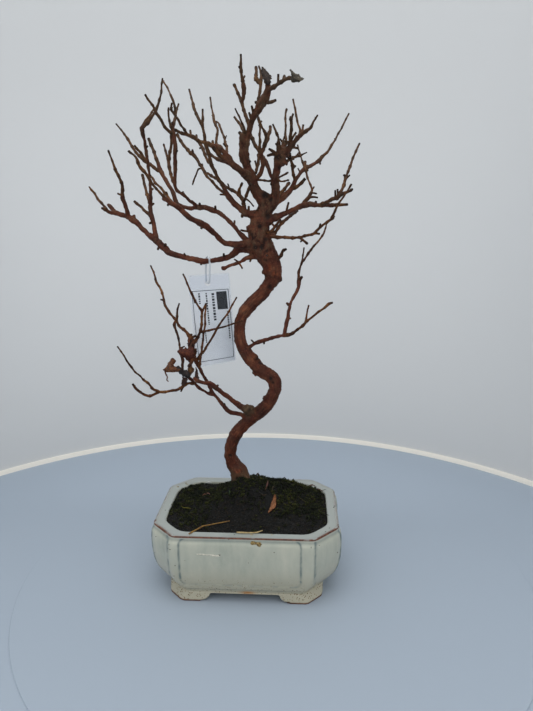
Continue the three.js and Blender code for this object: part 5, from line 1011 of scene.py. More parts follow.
  ["leftCrownFar", "leftCrown", [-18, -30, -42], [[-9, 383.6, 2], [-11.3, 388.2, 1.4], [-13.6, 391, 1.3],
    [-16.7, 393.6, 1.6], [-19.7, 396.2, 2.1], [-23.8, 397.9, 1.8], [-27.4, 398.9, 1.4], [-32.1, 401.1, 1.1],
    [-36.2, 402, 1], [-39.7, 404.2, 1.2], [-44.4, 406.4, 1.3], [-48.5, 408.1, 1.1], [-53.1, 409.5, 0.9],
    [-57.2, 411.6, 0.8]],
    [[-39.2, 404, -39.2, 407, 0.8], [-43.8, 406.4, -44.2, 410.8, 0.7], [-25.4, 398.6, -25.7, 402.3, 0.8]]],
  ["leftCrownOlive", "leftCrownFar", [-50, -60], [[-46.6, 407.4, 0.7], [-51, 414.1, 0.6], [-54.6, 419.7, 0.6],
    [-57.2, 423.8, 0.7], [-59.2, 427.4, 0.7], [-58.7, 432, 0.4]], []],
  ["leftCrownOliveTip", "leftCrownOlive", [-56, -48], [[-56.8, 423.2, 0.6], [-56.4, 428.3, 0.6],
    [-57.6, 434, 0.7], [-58.8, 437.2, 0.45], [-61.8, 443.3, 0.35], [-65.4, 449.9, 0.3]], []],
  ["leftCrownLow", "leftCrown", [2, 14], [[-9.4, 383.6, 1.8], [-13.6, 385.6, 1.6], [-17.2, 386.9, 1.5],
    [-20.8, 387.4, 1.2], [-23.8, 388.9, 0.9], [-26.9, 391, 0.8], [-29, 393.1, 0.8], [-30.7, 397.1, 0.6]], []],
  ["leftCrownMid", "leftCrown", [-22], [[-10, 384.2, 1.6], [-15.6, 388.2, 1.4], [-19.7, 390.5, 1.3],
    [-22.8, 394.1, 1.2], [-25.6, 397.5, 1.1]], []],
  ["crownUpright", "leftCrownFar", [-12, -4, 2], [[-21.5, 397, 0.9], [-22.6, 401, 0.6], [-22.1, 406.8, 0.6],
    [-21.3, 410.7, 0.7], [-22.6, 414.6, 0.6], [-24.1, 418, 0.8], [-25.4, 426.3, 0.4], [-26.8, 436, 0.35]],
    []],
  ["crownUprightRight", "leftCrownFar", [0, 10, 18], [[-14, 391.4, 1], [-14.2, 397.1, 0.7],
    [-15.6, 403.2, 0.6], [-17.7, 409.4, 0.6], [-19.2, 413, 0.7], [-20.4, 416.2, 0.4], [-22.5, 417.3, 0.5]],
    []],
  ["leftRising", "trunk", [6, -6, -18, -26, -32], [[12, 341.5, 4.5], [2.8, 343.3, 2.6], [-0.8, 345.4, 2.1],
    [-4.4, 348.5, 2], [-8.5, 351.7, 2.2], [-12.1, 355.8, 2], [-14.6, 359.7, 1.8], [-16.4, 363.3, 1.4],
    [-18.7, 367.4, 1.3], [-21.3, 371.4, 1.1], [-23.8, 376.2, 1], [-26.2, 381.1, 1.1], [-27.6, 385.8, 1.1],
    [-29, 390.5, 1.1], [-30.7, 396.7, 1.3], [-32.1, 403.1, 0.9], [-32.8, 408.3, 0.8], [-33.6, 414.5, 0.8],
    [-33.6, 419.6, 0.6], [-33.2, 427.2, 0.5]],
    [[3.4, 343.6, 3.8, 349.4, 0.9], [-0.6, 345, -2.2, 340.8, 1], [-13.5, 358, -20.6, 359.4, 0.6]]],
  ["leftRisingFork", "leftRising", [-24, -16], [[-33.4, 412.5, 0.9], [-34.8, 416, 1], [-36.7, 419.3, 0.9],
    [-38.7, 424, 0.8], [-40.8, 428.8, 0.9], [-41.8, 434, 0.5], [-43.9, 442.3, 0.4]], []],
  ["risingInner", "leftRising", [-8, 2], [[-27.2, 383.5, 1], [-31, 388.1, 0.9], [-33.1, 393.1, 0.9],
    [-34.6, 397.5, 0.9], [-37.4, 401.2, 0.7]], [[-34.4, 397, -37.2, 396.6, 0.5]]],
  ["risingBack", "leftRising", [10, 26, 40], [[-14.4, 359.4, 1.2], [-18.7, 361.8, 0.8], [-23.8, 366.4, 0.7],
    [-29, 371.9, 0.7], [-32.6, 376.2, 0.9], [-34.8, 380.6, 1], [-37.2, 384.4, 0.9], [-39.7, 388.3, 0.9],
    [-42.3, 391.7, 1.3], [-45.9, 394.2, 1.1], [-49.5, 398.7, 0.9], [-52.6, 402.5, 0.9], [-55.3, 408, 0.7]],
    [[-42.2, 391.6, -43, 395.6, 0.7], [-34.8, 380.6, -35, 384.2, 0.6]]],
  ["risingBackStalk", "risingBack", [24, 30], [[-34.6, 380.3, 0.45], [-37.2, 380.6, 0.4], [-38.7, 379.7, 0.4],
    [-40.8, 375.1, 0.4], [-42.3, 372.1, 0.4], [-43.9, 367.7, 0.35]], []],
  ["risingLow", "leftRising", [-2, 8], [[-18.4, 367, 1], [-22.8, 372.1, 0.9], [-26.4, 373.8, 0.9],
    [-31, 377, 0.6]], []],
  ["shortInner", "leftRising", [20, 32], [[0.4, 344.8, 1.4], [-0.9, 353.6, 1.2], [-2.8, 356.9, 1.2],
    [-4.9, 359.7, 1.1], [-8.5, 361.9, 0.9], [-11, 363, 1.2], [-14.6, 365.4, 0.8], [-18, 368.3, 0.5]],
    [[-12.4, 363.8, -13.8, 368, 0.5]]],
  ["shortInnerTip", "shortInner", [16], [[-3.6, 358, 0.9], [-4.2, 362.9, 0.9], [-2.8, 365.8, 0.7],
    [-1.3, 369, 0.5]], []],
  ["shortFront", "shortInner", [2, -6], [[-0.9, 353, 0.9], [0.9, 356.2, 0.8], [2.3, 359.7, 0.9],
    [3.8, 363.8, 0.9], [5.6, 367.9, 0.7]], [[1.2, 356, 7.9, 349.5, 0.45]]],
  ["innerRight", "trunk", [8, 2, -2], [[14, 338, 7], [18.6, 345, 5.2], [22.8, 350.4, 4.3], [25.8, 357.2, 3.6],
    [26.8, 364, 3.2], [26.2, 370, 3.3], [27, 375, 2.7], [28, 380, 2.6], [29.2, 385, 3.6], [30.8, 390, 4.4],
    [31.6, 394, 3.6], [31.8, 396.6, 2.2]],
    [[29, 391, 20, 390.2, 1], [30, 388, 21.4, 395.4, 0.9], [30.6, 386, 36.6, 383.6, 1.6],
    [31, 391, 37.4, 390, 2], [26.4, 366, 22.4, 367.8, 1.1], [31.6, 396, 34, 405, 0.6]]],
  ["innerRightUp", "innerRight", [-10, -18], [[31, 392, 2.6], [29, 398, 1.2], [29, 404.4, 0.7],
    [27.2, 408.6, 0.7], [24.4, 414.6, 0.4]], []],
  ["backTwig", "innerRight", [12, 24, 28, 30], [[26.4, 369.5, 1.6], [22.2, 375.1, 1.2], [20.5, 380.4, 1.3],
    [19, 384.4, 1.4], [16.4, 388.5, 1.2], [13.8, 392.6, 1.2], [10.5, 397.7, 1], [7.7, 402.5, 1.1],
    [5.3, 409, 1.1], [4.6, 414.3, 1.2], [2.4, 420.8, 1.1], [0.3, 427.3, 1], [-1.3, 432.6, 1.2],
    [-3.3, 437.3, 1], [-5.4, 441.9, 0.9], [-7.3, 445.6, 0.7]], []],
  ["topMost", "backTwig", [22, 16], [[-0.9, 431, 1.2], [0.3, 435, 1.1], [1, 438.3, 1.4], [0.8, 443.2, 1.4],
    [0.3, 447.8, 1.2], [-0.8, 452.1, 0.8], [-1.3, 455.5, 1], [-1, 460.6, 0.7], [-1.1, 467.6, 0.5]],
    [[0.2, 448, 1.9, 451.4, 0.6], [-1.2, 455.6, -2.9, 458.7, 0.7]]],
  ["backTwigDown", "backTwig", [8, 2], [[13.8, 392.6, 1.2], [12.6, 387.9, 1.1], [11.4, 381.9, 0.9],
    [10.3, 376.3, 0.7]], [[11, 380.5, 9.4, 386.4, 0.6]]],
  ["midTwig", "leader", [2, -10], [[7.4, 369.5, 2], [11.8, 373.1, 1.4], [14.4, 378, 1.5], [15.9, 382.3, 1.6],
    [15.4, 387.2, 1.4], [14.7, 391, 1.6], [14.5, 393.2, 1.7]], []],
  ["midTwigUp", "midTwig", [-16, -22], [[14.6, 392.4, 1.3], [13.6, 396.8, 0.8], [13.6, 404.9, 0.6],
    [13.8, 410.9, 0.6], [12.8, 418, 0.5], [12.2, 422, 0.4]], []],
  ["midTwigRight", "midTwig", [-4, 6], [[14.5, 392, 1.6], [16.9, 396.2, 1.3], [19, 400.8, 1.1],
    [20.5, 405.7, 1], [22.2, 408.9, 1], [22.3, 413, 0.9]], []],
  ["midTwigCurvy", "midTwigRight", [-14, -28], [[16.6, 395.8, 1], [18, 400.6, 0.8], [18.5, 405.6, 0.8],
    [17.7, 408.6, 1], [15.9, 411.9, 0.6], [13.8, 416, 0.7], [12.5, 419.9, 0.6]],
    [[13.8, 415.6, 15.2, 417, 0.5]]],
  ["topLimb", "leader", [6, 0, -6, -10], [[1.2, 402.5, 3], [3.4, 405.4, 2.2], [4.6, 409.4, 1.9],
    [6.2, 414.3, 1.9], [7.7, 418.4, 2], [9.7, 422.2, 2.3], [12.3, 425.8, 2.7], [14.9, 429.9, 2.9],
    [17.4, 433.8, 2.9], [19.6, 437.1, 2.6], [20.5, 440.5, 2.3], [20.5, 444.4, 1.9], [20.4, 448, 1.7]],
    [[6.8, 417, 5, 424, 0.7], [8.8, 420.8, 7.2, 428.8, 0.7], [16, 431, 10, 431.4, 0.9]]],
  ["topRightArm", "topLimb", [-18, -28], [[20, 439, 1.9], [21.9, 441.4, 1.6], [25.1, 442.4, 1.3],
    [28.2, 444.7, 1.2], [31.8, 446.8, 1.1], [34.9, 448.3, 1.1], [37.9, 449, 1.1], [40.8, 449.2, 0.9]],
    [[28.8, 445, 29, 452.4, 0.8], [33.4, 447.6, 33.9, 451, 1]]],
  ["topRightSpur", "topLimb", [4], [[17, 432, 1.2], [22.1, 431.3, 0.9], [26.8, 432.8, 0.7]], []],
  ["topLeftArm", "topLimb", [4, 10], [[12, 425.4, 1.4], [12.6, 431.8, 0.9], [13.4, 436.7, 0.9],
    [14.4, 442.2, 0.9], [14.7, 446.5, 1.1], [15.3, 450.8, 0.9], [14.9, 454.5, 0.6], [13.2, 458.5, 0.4]], []],
  ["topLeftArmTip", "topLeftArm", [14], [[14.6, 445.6, 1], [11.2, 448.2, 1.1], [11, 451.4, 1],
    [11.3, 454.5, 0.8], [11, 458.2, 0.6]], []],
  ["leaderTwigBack", "leader", [18, 26], [[1.2, 405.4, 1.4], [-0.8, 412.2, 0.9], [-3.8, 416, 0.7],
    [-7.2, 420.6, 0.7]], []],
  ["leaderTwigFront", "leader", [-4, -16], [[1.2, 406, 1.2], [0.9, 411.6, 0.7], [-0.2, 414.6, 0.5],
    [-2.8, 419.6, 0.45], [-6.4, 427, 0.35]], []],
  ["knotRight", "innerRight", [-12, -26], [[31.6, 392, 3], [38, 395.4, 2], [39, 400.4, 1.5],
    [39.2, 405.8, 1], [39.5, 410.9, 0.9], [39.7, 416, 1], [39.4, 420, 0.8]],
    [[39.6, 417.6, 41.2, 422.6, 0.6], [39, 401, 43.8, 408.2, 0.8], [38.4, 396.4, 45, 395.6, 0.8]]],
  ["knotBack", "innerRight", [8, 16], [[32, 394, 1.8], [35.2, 401.6, 1], [34.9, 406.3, 0.7],
    [34.9, 413.5, 0.5], [34.9, 422.9, 0.5], [35.7, 426.2, 0.4]], []],
  ["knotFar", "knotRight", [-28, -42], [[38.4, 396.4, 1.8], [42.6, 401.2, 1.5], [46.2, 404.7, 1.5],
    [49.2, 407.6, 1.4], [52.8, 409.9, 1.1], [55.6, 411.2, 0.8], [57.9, 416.7, 0.5], [61, 421, 0.4]],
    [[48.6, 407, 49.4, 413.8, 0.7]]],
  ["knotFarUp", "knotFar", [-14, -10], [[45.6, 404.2, 1], [46.9, 409.8, 0.7], [45.1, 414.5, 0.5],
    [43.1, 423.7, 0.5], [40.9, 433.5, 0.35]], []],
  ["innerRightLow", "innerRight", [10, 20], [[28.4, 381, 2], [31.8, 383.3, 1.5], [35.9, 385.7, 1],
    [40, 387.6, 0.8], [44.1, 389.3, 0.7], [48.6, 390.7, 0.6]], []],
  ["innerBack", "innerRight", [20, 32], [[25.8, 357.4, 1.6], [29.2, 358.8, 1.1], [32.8, 362.3, 1],
    [38.2, 368.3, 0.9]], []],
  ["thinCross", "leader", [14, 16, 20], [[6.8, 371, 1], [12.8, 371, 0.7], [16.9, 370.3, 0.6],
      [20.5, 370, 0.5],
    [24.6, 371, 0.6], [27.7, 371.8, 0.6], [31.8, 374, 0.5], [37.2, 376.9, 0.4]], []],
  ["thinCrossLow", "innerRight", [-12], [[26.6, 372.4, 0.8], [30.8, 369.7, 0.5], [37.6, 370.6, 0.4]], []],
  ["rightHigh", "trunk", [16, 26, 38, 50, 58], [[14, 340, 6], [20.5, 348.5, 4.2], [25.6, 352.6, 3.4],
    [30.8, 355.6, 2.9], [35.9, 359.2, 2.2], [39.5, 362.8, 1.8], [41.5, 366.4, 1.6], [43.3, 370.5, 1.4],
    [46.2, 374.6, 1.2], [48.7, 377.8, 1.3], [51.5, 380.1, 1.6], [55.4, 381.5, 1.3], [59, 383.6, 1.1],
    [62.6, 385.6, 1.3], [65.1, 388.3, 1], [67.7, 391, 0.9], [69.9, 393.2, 0.7], [72.3, 396.4, 0.8],
    [75.4, 401.8, 0.5], [79.6, 409, 0.5], [83, 415.5, 0.45], [86.4, 422, 0.35]],
    [[51, 379.8, 51.3, 385.2, 0.9], [52, 380.4, 53.4, 377.6, 0.8], [63, 386, 63.8, 383, 0.8]]],
  ["rightHighLow", "rightHigh", [20], [[40.4, 364, 1.5], [43.8, 364.6, 1.2], [47.2, 367.4, 1.1],
    [51.6, 371.8, 1]], []],
  ["rightHighInner", "rightHigh", [20, 4], [[43, 370, 1.2], [42.2, 373.7, 1], [41, 378.2, 0.9],
    [40.5, 382.3, 0.9], [39.5, 386.9, 0.8], [38.3, 392, 0.8]], []],
  ["rightMid", "trunk", [4, -6, -18, -30], [[12.8, 334, 7], [20.5, 338, 4.2], [25.6, 339.9, 2.9],
    [30.8, 341.8, 2.1], [35.9, 343.8, 1.8], [41, 346.1, 1.7], [46.2, 348.7, 1.8], [51.3, 350.4, 2.1],
    [55.4, 350.9, 1.9], [59, 350.6, 1.5], [64.1, 350, 1.5], [69.2, 350.3, 1.4], [75, 350.1, 1.4],
    [81.3, 350.3, 1], [87.4, 350.5, 0.7]],
    [[35.6, 343.7, 37.6, 352.4, 0.8], [60, 350.4, 60.8, 353.2, 0.8]]],
  ["rightMidUp", "rightMid", [-36, -48], [[64, 350, 1.3], [68.5, 352, 1.1], [73.6, 354.3, 1.1],
    [78.7, 356.6, 1.4], [81.5, 358.3, 1.1], [85.4, 359.9, 0.8], [91, 363, 0.6]],
    [[77, 356, 76.7, 361.8, 0.6], [79, 357, 78.6, 363.2, 0.6]]],
  ["rightMidTall", "rightMidUp", [-30, -18, -10], [[80, 357.5, 1.3], [82.8, 363.8, 1], [84.4, 369, 1],
    [85.6, 373.3, 0.8], [87.9, 379.4, 0.8], [90.5, 386.9, 0.6], [93.1, 393.4, 0.6], [95.7, 399, 0.4]],
    [[84.4, 369, 88.3, 374, 0.5], [85.4, 373, 83.2, 374.4, 0.7]]],
  ["rightThin", "rightMid", [-2, 8, 18], [[49, 349.8, 1.3], [51.8, 353.6, 1.1], [54.6, 356.4, 1.2],
    [56.4, 359.7, 0.8], [57.4, 362.5, 0.8], [56.4, 365.4, 0.5], [54.4, 370, 0.5], [52.1, 376.7, 0.5],
    [49.7, 383.5, 0.4], [47.9, 388.5, 0.4], [46.2, 393.1, 0.4], [44.9, 398.4, 0.35]],
    [[56.6, 360, 61.2, 359.4, 0.5], [57.3, 362, 59, 365, 0.5], [54.4, 356, 62, 356.4, 0.55]]],
  ["rightLow", "trunk", [-4, -18], [[16.5, 322, 4], [22, 325, 2], [27.7, 323.8, 1.1], [32.8, 323.6, 0.9],
    [38.5, 323.3, 0.9], [41.4, 323, 1.1], [44.6, 323.3, 0.8], [48.6, 323.5, 0.8]], []],
  ["rightLowEnd", "rightLow", [-26], [[47.4, 323.4, 0.8], [50.5, 321, 0.7], [53.8, 318.2, 0.8]],
    [[50, 321.5, 48, 319.6, 0.5]]],
  ["rightLowUp", "rightLow", [-28, -38, -46, -52, -56], [[48, 323.4, 0.9], [51.3, 324.6, 0.8],
    [55.4, 325.5, 0.8], [59, 326.6, 0.8], [61.5, 328.7, 0.8], [64.1, 331.3, 0.8], [68.2, 334.7, 0.7],
    [71.8, 337.2, 0.8], [75, 339.3, 1], [76, 343.4, 0.7], [77.7, 347.4, 0.6], [80.6, 352.4, 0.5],
    [83.5, 356.4, 0.45], [86.9, 361.6, 0.4], [90.2, 367.2, 0.35]],
    [[58.6, 326.4, 64.2, 326.4, 0.7], [64, 331.2, 64.8, 334.6, 0.6]]],
  ["rightLowBack", "rightLow", [16, 26, 34], [[23.5, 324.6, 1.5], [27, 328.7, 1], [29.4, 332.5, 1],
    [32.8, 336.3, 1.2], [37.9, 340.5, 0.9], [42.6, 343.9, 0.8], [45.6, 345.8, 0.7]], []],
  ["hubTwigRight", "rightLow", [6, 2], [[21, 324.8, 1.5], [24.3, 330, 0.9], [26.9, 333.8, 0.8],
    [31, 338.4, 0.6]], []],
  ["hubStalk", "trunk", [4], [[8, 328.6, 1], [0.8, 329, 0.5], [-3.2, 329.8, 0.4]], []],
  ["rightBranch", "trunk", [2, -6, -12], [[-2.6, 224.6, 2.4], [2.3, 226.5, 1.3], [5.8, 228.6, 1.1],
    [9.2, 230.4, 1.6], [16.2, 232.7, 1.5], [23.7, 235, 1.4], [30.6, 236.9, 1.4], [35, 237.6, 1.6]],
    [[7.4, 229.4, 4.4, 233, 0.6], [16, 232.6, 16, 229.4, 0.8]]],
  ["rightBranchOut", "rightBranch", [-20, -30, -38], [[34.2, 237.4, 1.4], [38.7, 237.9, 1.2],
    [42.8, 240.4, 0.9], [46.4, 242.9, 0.8], [51, 246.8, 0.9], [54, 249.9, 0.8], [59.2, 254.4, 0.6],
    [65.4, 259.4, 0.6], [70, 262.8, 0.7], [73.6, 266.1, 1], [76.8, 267.2, 0.5]], []],
  ["rightBranchTwig", "rightBranchOut", [-18, -10], [[52.8, 248.6, 0.8], [54.1, 256.3, 0.5],
    [55.8, 264.6, 0.4]], []],
  ["rightBranchUp", "rightBranch", [-6, 2, 12], [[34.2, 237.4, 1.6], [35.2, 243.4, 1.4], [36.2, 248.5, 1.4],
    [37.4, 253.2, 1.3], [38.1, 258.8, 1.2], [39.1, 263.9, 1.3], [40.5, 268.1, 1.1], [42.5, 272.1, 1.1],
    [44.9, 276.5, 1.3], [46.6, 281, 1.3], [47.1, 286, 1.4], [46.6, 289.7, 1]],
    [[38, 265, 36.4, 266.6, 0.7], [37.2, 252, 39.8, 253, 0.8], [47, 286.4, 49.6, 289.6, 0.9]]],
  ["rightBranchTop", "rightBranchUp", [18, 22], [[46.8, 288.4, 1], [46.8, 293.3, 0.8], [48.2, 299, 0.6],
    [49.5, 303, 0.7], [50.3, 308.2, 0.4], [51.1, 315, 0.35]], []],
  ["rightBranchTopOut", "rightBranchTop", [30, 38, 46], [[49.4, 302.4, 0.7], [52.2, 305.9, 0.6],
    [55.4, 310.8, 0.7], [57.4, 313.5, 0.6], [60.5, 317.1, 0.5], [65.1, 322.6, 0.5], [67.7, 326.7, 0.6],
    [69.2, 331.2, 0.35], [70.1, 335, 0.3]], []],
  ["leftBranch", "trunk", [6, -2, -10], [[5, 161.5, 4], [-1.8, 166.9, 3], [-6.9, 170, 2.2],
    [-12.1, 174.1, 1.9], [-17.2, 178.2, 1.8], [-22.3, 181.9, 1.7], [-27.4, 185.9, 1.8], [-30.9, 189.3, 2],
    [-34.5, 191.6, 1.8], [-37.6, 191.5, 1.5], [-41.3, 192.3, 1.4], [-45.4, 193.7, 1.5], [-48.2, 195.8, 1.2],
    [-49.7, 197, 0.9]], [[-28, 186.4, -27, 190.2, 0.9]]],
  ["leftBranchLow", "trunk", [14, 12, 8, 4, 0], [[2, 157, 3.5], [-5.4, 161.4, 1.8], [-10.5, 162.7, 1.8],
    [-14.6, 163.3, 1.7], [-18.2, 165.1, 1.8], [-20.8, 168.5, 1.6], [-24.9, 173.6, 1.3], [-29, 178.9, 1.3],
    [-32.1, 183, 1.3], [-34.6, 187.9, 1.3], [-36.9, 193, 1.3], [-39.2, 197.4, 1.2], [-41.8, 202.3, 1.2],
    [-44, 207.5, 1.3], [-46.3, 212.5, 1.4], [-48.2, 217, 1.6], [-49.8, 222, 1.9], [-50.3, 226.6, 2.1],
    [-50.4, 231.3, 2], [-50.4, 235.4, 1.7]],
    [[-20.2, 167.6, -21.6, 172.4, 0.8], [-49.8, 221.4, -46, 224, 0.8], [-50.4, 235, -49.6, 238.4, 0.8],
    [-50.4, 233.6, -46, 236.4, 0.8]]],
  ["lowTwig", "leftBranchLow", [6, -4], [[-30.6, 180.9, 1.5], [-36.2, 182, 1.2], [-40.3, 184.4, 1.1],
    [-44.4, 187.1, 1.1], [-47.4, 190.3, 1.1], [-50.2, 193.8, 1.1], [-54.5, 197.9, 1.3], [-57.2, 201.2, 1.5]],
    []],
  ["lowFar", "lowTwig", [-16, -24, -30], [[-48.6, 191.8, 1.1], [-54, 191.5, 1], [-58.1, 189.7, 1.2],
    [-61.4, 187.5, 0.9], [-65.8, 184.8, 1], [-70.9, 183.9, 0.8], [-78.1, 182.9, 0.8], [-82.4, 182.4, 1],
    [-86.3, 180.6, 0.9], [-91.4, 179, 1], [-95, 179.3, 0.9], [-98.6, 181, 0.8], [-102, 183.5, 0.9],
    [-107, 190.2, 0.6]], [[-58, 189.6, -61.8, 183.4, 0.6]]],
  ["lowFarUp", "lowFar", [-36, -48, -60], [[-81.6, 182.4, 0.9], [-87.3, 185.1, 0.9], [-90.1, 188.5, 0.8],
    [-94.5, 192.9, 0.7], [-99.6, 197.9, 0.5], [-104.7, 203.1, 0.5], [-107.5, 206.8, 0.6],
    [-110.9, 212.5, 0.5],
    [-115, 220, 0.45], [-118.8, 226, 0.35]], []],
  ["nestLeft", "leftBranchLow", [4, 8], [[-50.4, 234, 1.3], [-52.9, 238.3, 1], [-56, 241.4, 0.9],
    [-59.6, 244.3, 0.9], [-61.8, 248, 0.8], [-63.2, 251.5, 0.9]], []],
  ["nestLeftTall", "nestLeft", [14, 22, 30, 38], [[-63, 251, 0.9], [-66.2, 254.3, 0.7], [-69.4, 258.1, 0.9],
    [-71.9, 263.1, 0.7], [-73.7, 268.2, 0.8], [-74, 272.4, 0.6], [-74.8, 276.4, 0.8], [-76.6, 279.9, 0.6],
    [-79.2, 284.6, 0.8], [-80.5, 290.3, 0.5], [-83.8, 299.6, 0.4]], [[-73.8, 268.6, -76.6, 269.4, 0.6]]],
  ["nestLeftTip", "nestLeft", [-2], [[-62.8, 250.4, 0.9], [-61.7, 259.5, 0.6], [-59.8, 266, 0.4]], []],
  ["nestHanging", "nestLeft", [4, -2, -8], [[-63, 250.6, 1], [-65.2, 247, 0.9], [-63.2, 240, 0.7],
    [-61.7, 232.8, 0.6], [-60.9, 225.1, 0.6], [-59.7, 216.9, 0.9], [-58.8, 212.9, 1.1], [-59.1, 208.2, 0.8],
    [-59.4, 203.7, 0.8]], []],
  ["nestRight", "leftBranchLow", [-8, -12, -16], [[-50.2, 229.6, 1.4], [-47.3, 230.9, 1.1], [-45.1, 234, 0.9],
    [-43.2, 237.4, 0.9], [-41.2, 241.2, 1], [-40.5, 246.6, 0.8], [-39.6, 254.4, 0.7], [-39.7, 258.9, 0.9],
    [-41.7, 262, 0.7], [-44.2, 266.7, 0.6], [-47.3, 272.8, 0.8], [-49.4, 277.2, 0.6], [-51.2, 282.6, 0.5],
    [-55.3, 292.4, 0.4]], []],
  ["nestRightTip", "nestRight", [-10], [[-39.6, 258, 0.7], [-38, 261.4, 0.6], [-35.6, 266, 0.45]], []],
  ["nestCross", "nestRight", [-12, -10, -6], [[-42, 239.8, 0.8], [-37.1, 240.9, 0.6], [-30.9, 242.3, 0.6],
    [-24.7, 243.8, 0.5], [-16, 246.2, 0.4], [-9.9, 248.5, 0.4], [-2.8, 250.7, 0.35]], []],
  ["leafStalk", "leftBranchLow", [-7, -9.5], [[-47.4, 217, 1.1], [-48.9, 215.5, 1.1], [-50.2, 213.2, 1.1],
    [-51.6, 210.8, 1], [-53, 208.6, 0.9], [-54, 207.2, 0.8]], [[-48, 216.6, -45.9, 222.8, 0.8]]],
  ["nestStraight", "leftBranchLow", [-6, -4, -2, 2], [[-43.9, 207.3, 1], [-42.2, 215.9, 0.7],
    [-40.6, 224.6, 0.6], [-39.1, 236.4, 0.6], [-37.6, 243.8, 0.6], [-37.1, 248.6, 0.6], [-36.8, 254.4, 0.5],
    [-36, 263.1, 0.45], [-35.6, 266.4, 0.4]], []],
  ["nestDiagonal", "leftBranchLow", [-2, -4, -2, 4], [[-46.2, 212.4, 1], [-42.2, 219.2, 0.8],
    [-39.1, 222, 0.9], [-36.9, 226, 0.7], [-32.9, 231.8, 0.6], [-28.8, 238.6, 0.7], [-26.1, 243.8, 0.7],
    [-21.2, 250.8, 0.5], [-16, 257.9, 0.5], [-8, 271.8, 0.4]], []],
]

# Marks on the near side of the limbs, as seen: x, z, size, how far it stands out (negative: sunk), and its
# darkness (partly painted shade in the sunk marks), or a negative number where it is orange
barkMarks = [
    [2, 166, 5, 0.8, -0.02], [2, 166, 2.2, -1, 0.5], [5, 169, 1.6, 0.8, 0.3], [-1, 163, 1.6, 0.7, 0.3],
    [22, 197, 3.2, 0.7, 0.3], [22, 197, 2.0, -0.9, 0.95], [24, 193, 1.4, -0.3, 0.8], [5, 202, 1.7, 1.2, 0.2],
    [9, 216, 2.4, 1.2, 0.1], [5, 223, 2.2, 0.9, 0.1], [12, 212, 1.4, -0.4, 0.7], [16.5, 178, 1.7, 1.1, 0.1],
    [21.5, 280.5, 2.2, -0.5, 0.75], [14.5, 315, 2.6, -0.9, 0.9], [9, 315, 2.2, -0.8, 0.9],
    [13, 333, 2.4, -0.8, 0.9],
    [18, 322, 2.2, -0.7, 0.8], [6, 326, 2.0, -0.7, 0.7], [11, 303, 1.8, 0.8, 0.1], [20, 341, 2.6, -0.8, 0.85],
    [-17, 120, 2.0, -0.9, 0.8], [-16, 92, 3.6, 0.3, 0.8], [-3, 80, 2.2, -0.8, 0.8], [-9, 86, 1.9, -0.8, 0.7],
    [-12, 76, 2.4, -0.6, 0.8], [-1, 92, 1.6, -0.5, 0.6], [-9.5, 104.5, 2.6, 0.2, -0.8],
    [-6, 84, 2.4, 0.3, -0.9],
    [-11, 96, 1.8, -0.8, 0.8], [-4, 98, 1.8, 0.5, 0.1], [0, 86, 2.6, 0.5, 0.2], [26, 292, 2.8, 0.7, -0.35],
    [20, 298, 3.2, 0.4, -0.4], [30, 287, 2.0, 0.9, 0.3], [19.3, 312, 1.5, -0.9, 0.8],
    [18.4, 304, 1.3, -0.8, 0.7],
    [10, 216, 1.8, -0.5, 0.8], [13, 211.5, 1.5, -0.4, 0.7], [-6, 262.5, 3, 0.9, 0.0],
    [31, 287, 2.4, 0.8, 0.1],
    [17.8, 358.9, 3.4, -0.6, 0.95], [22, 355, 2.2, -0.5, 0.9], [29, 389, 3.0, -0.6, 0.8],
    [30, 380, 2.2, -0.5, 0.7],
]

# Knobbly places on all the limbs seen there: x, z, reach, how much thicker, how lumpy, how dark the shade
# painted in its hollows is
gnarls = [
    [13, 322, 19, 0.2, 1.1, 0.4], [19, 350, 11, 0.3, 0.9, 0.35], [-50, 230, 6, 1.5, 1.2, 0.75],
    [29, 389, 8, 0.9, 1.0, 0.5], [38, 398, 5, 0.6, 0.9, 0.4], [51.5, 382, 4, 0.7, 0.8, 0.5],
    [0.5, 400, 9, 0.3, 0.8, 0.2], [18, 428, 9, 0.5, 0.9, 0.25], [-58.4, 416, 4, 0.5, 0.8, 0.6],
    [-20, 397.4, 6, 0.5, 0.9, 0.4], [-97, 340, 4, 0.5, 0.8, 0.3], [-77, 320, 7, 0.4, 0.7, 0.3],
    [-83, 416, 3.5, 0.6, 0.7, 0.2], [-40.6, 348.6, 5, 0.4, 0.8, 0.3], [-0.8, 342.4, 6, 0.5, 0.9, 0.5],
    [55.4, 353.8, 5, 0.5, 0.8, 0.2], [2.7, 374.4, 6, 0.5, 0.9, 0.4], [0, 166, 6, 0.3, 1.0, 0.1],
    [48, 287, 2.4, 0.9, 0.5, 0.1], [37.8, 265.4, 1.8, 0.5, 0.5, 0.2], [34.6, 246.5, 1.8, 0.5, 0.5, 0.2],
    [27, 291, 7, 0.9, 0.6, 0.15], [-8, 86, 12, 0.0, 0.9, 0.25], [-50, 222, 5, 0.6, 0.8, 0.3],
    [10, 218, 6, 0.1, 0.8, 0.15],
]


def asSeen(points):
    # Where points show on the upright plane through the pot's middle
    points = np.asarray(points)
    reach = -eye[1] / (points[:, 1] - eye[1])
    return eye[0] + (points[:, 0] - eye[0]) * reach, eye[2] + (points[:, 2] - eye[2]) * reach


def gnarlAt(points):
    x, z = asSeen(points)
    thicker, lumpy, dark = np.zeros((3, len(x)))
    for cx, cz, reach, more, lumps, shade in gnarls:
        near = np.exp(-((x - cx) ** 2 + (z - cz) ** 2) / reach ** 2)
        thicker = np.maximum(thicker, more * near)
        lumpy = np.maximum(lumpy, lumps * near)
        dark = np.maximum(dark, shade * near)
    return thicker, lumpy, dark


def alongSight(x, z, depth):
    reach = (depth - eye[1]) / -eye[1]
    return np.array([eye[0] + (x - eye[0]) * reach, depth, eye[2] + (z - eye[2]) * reach])


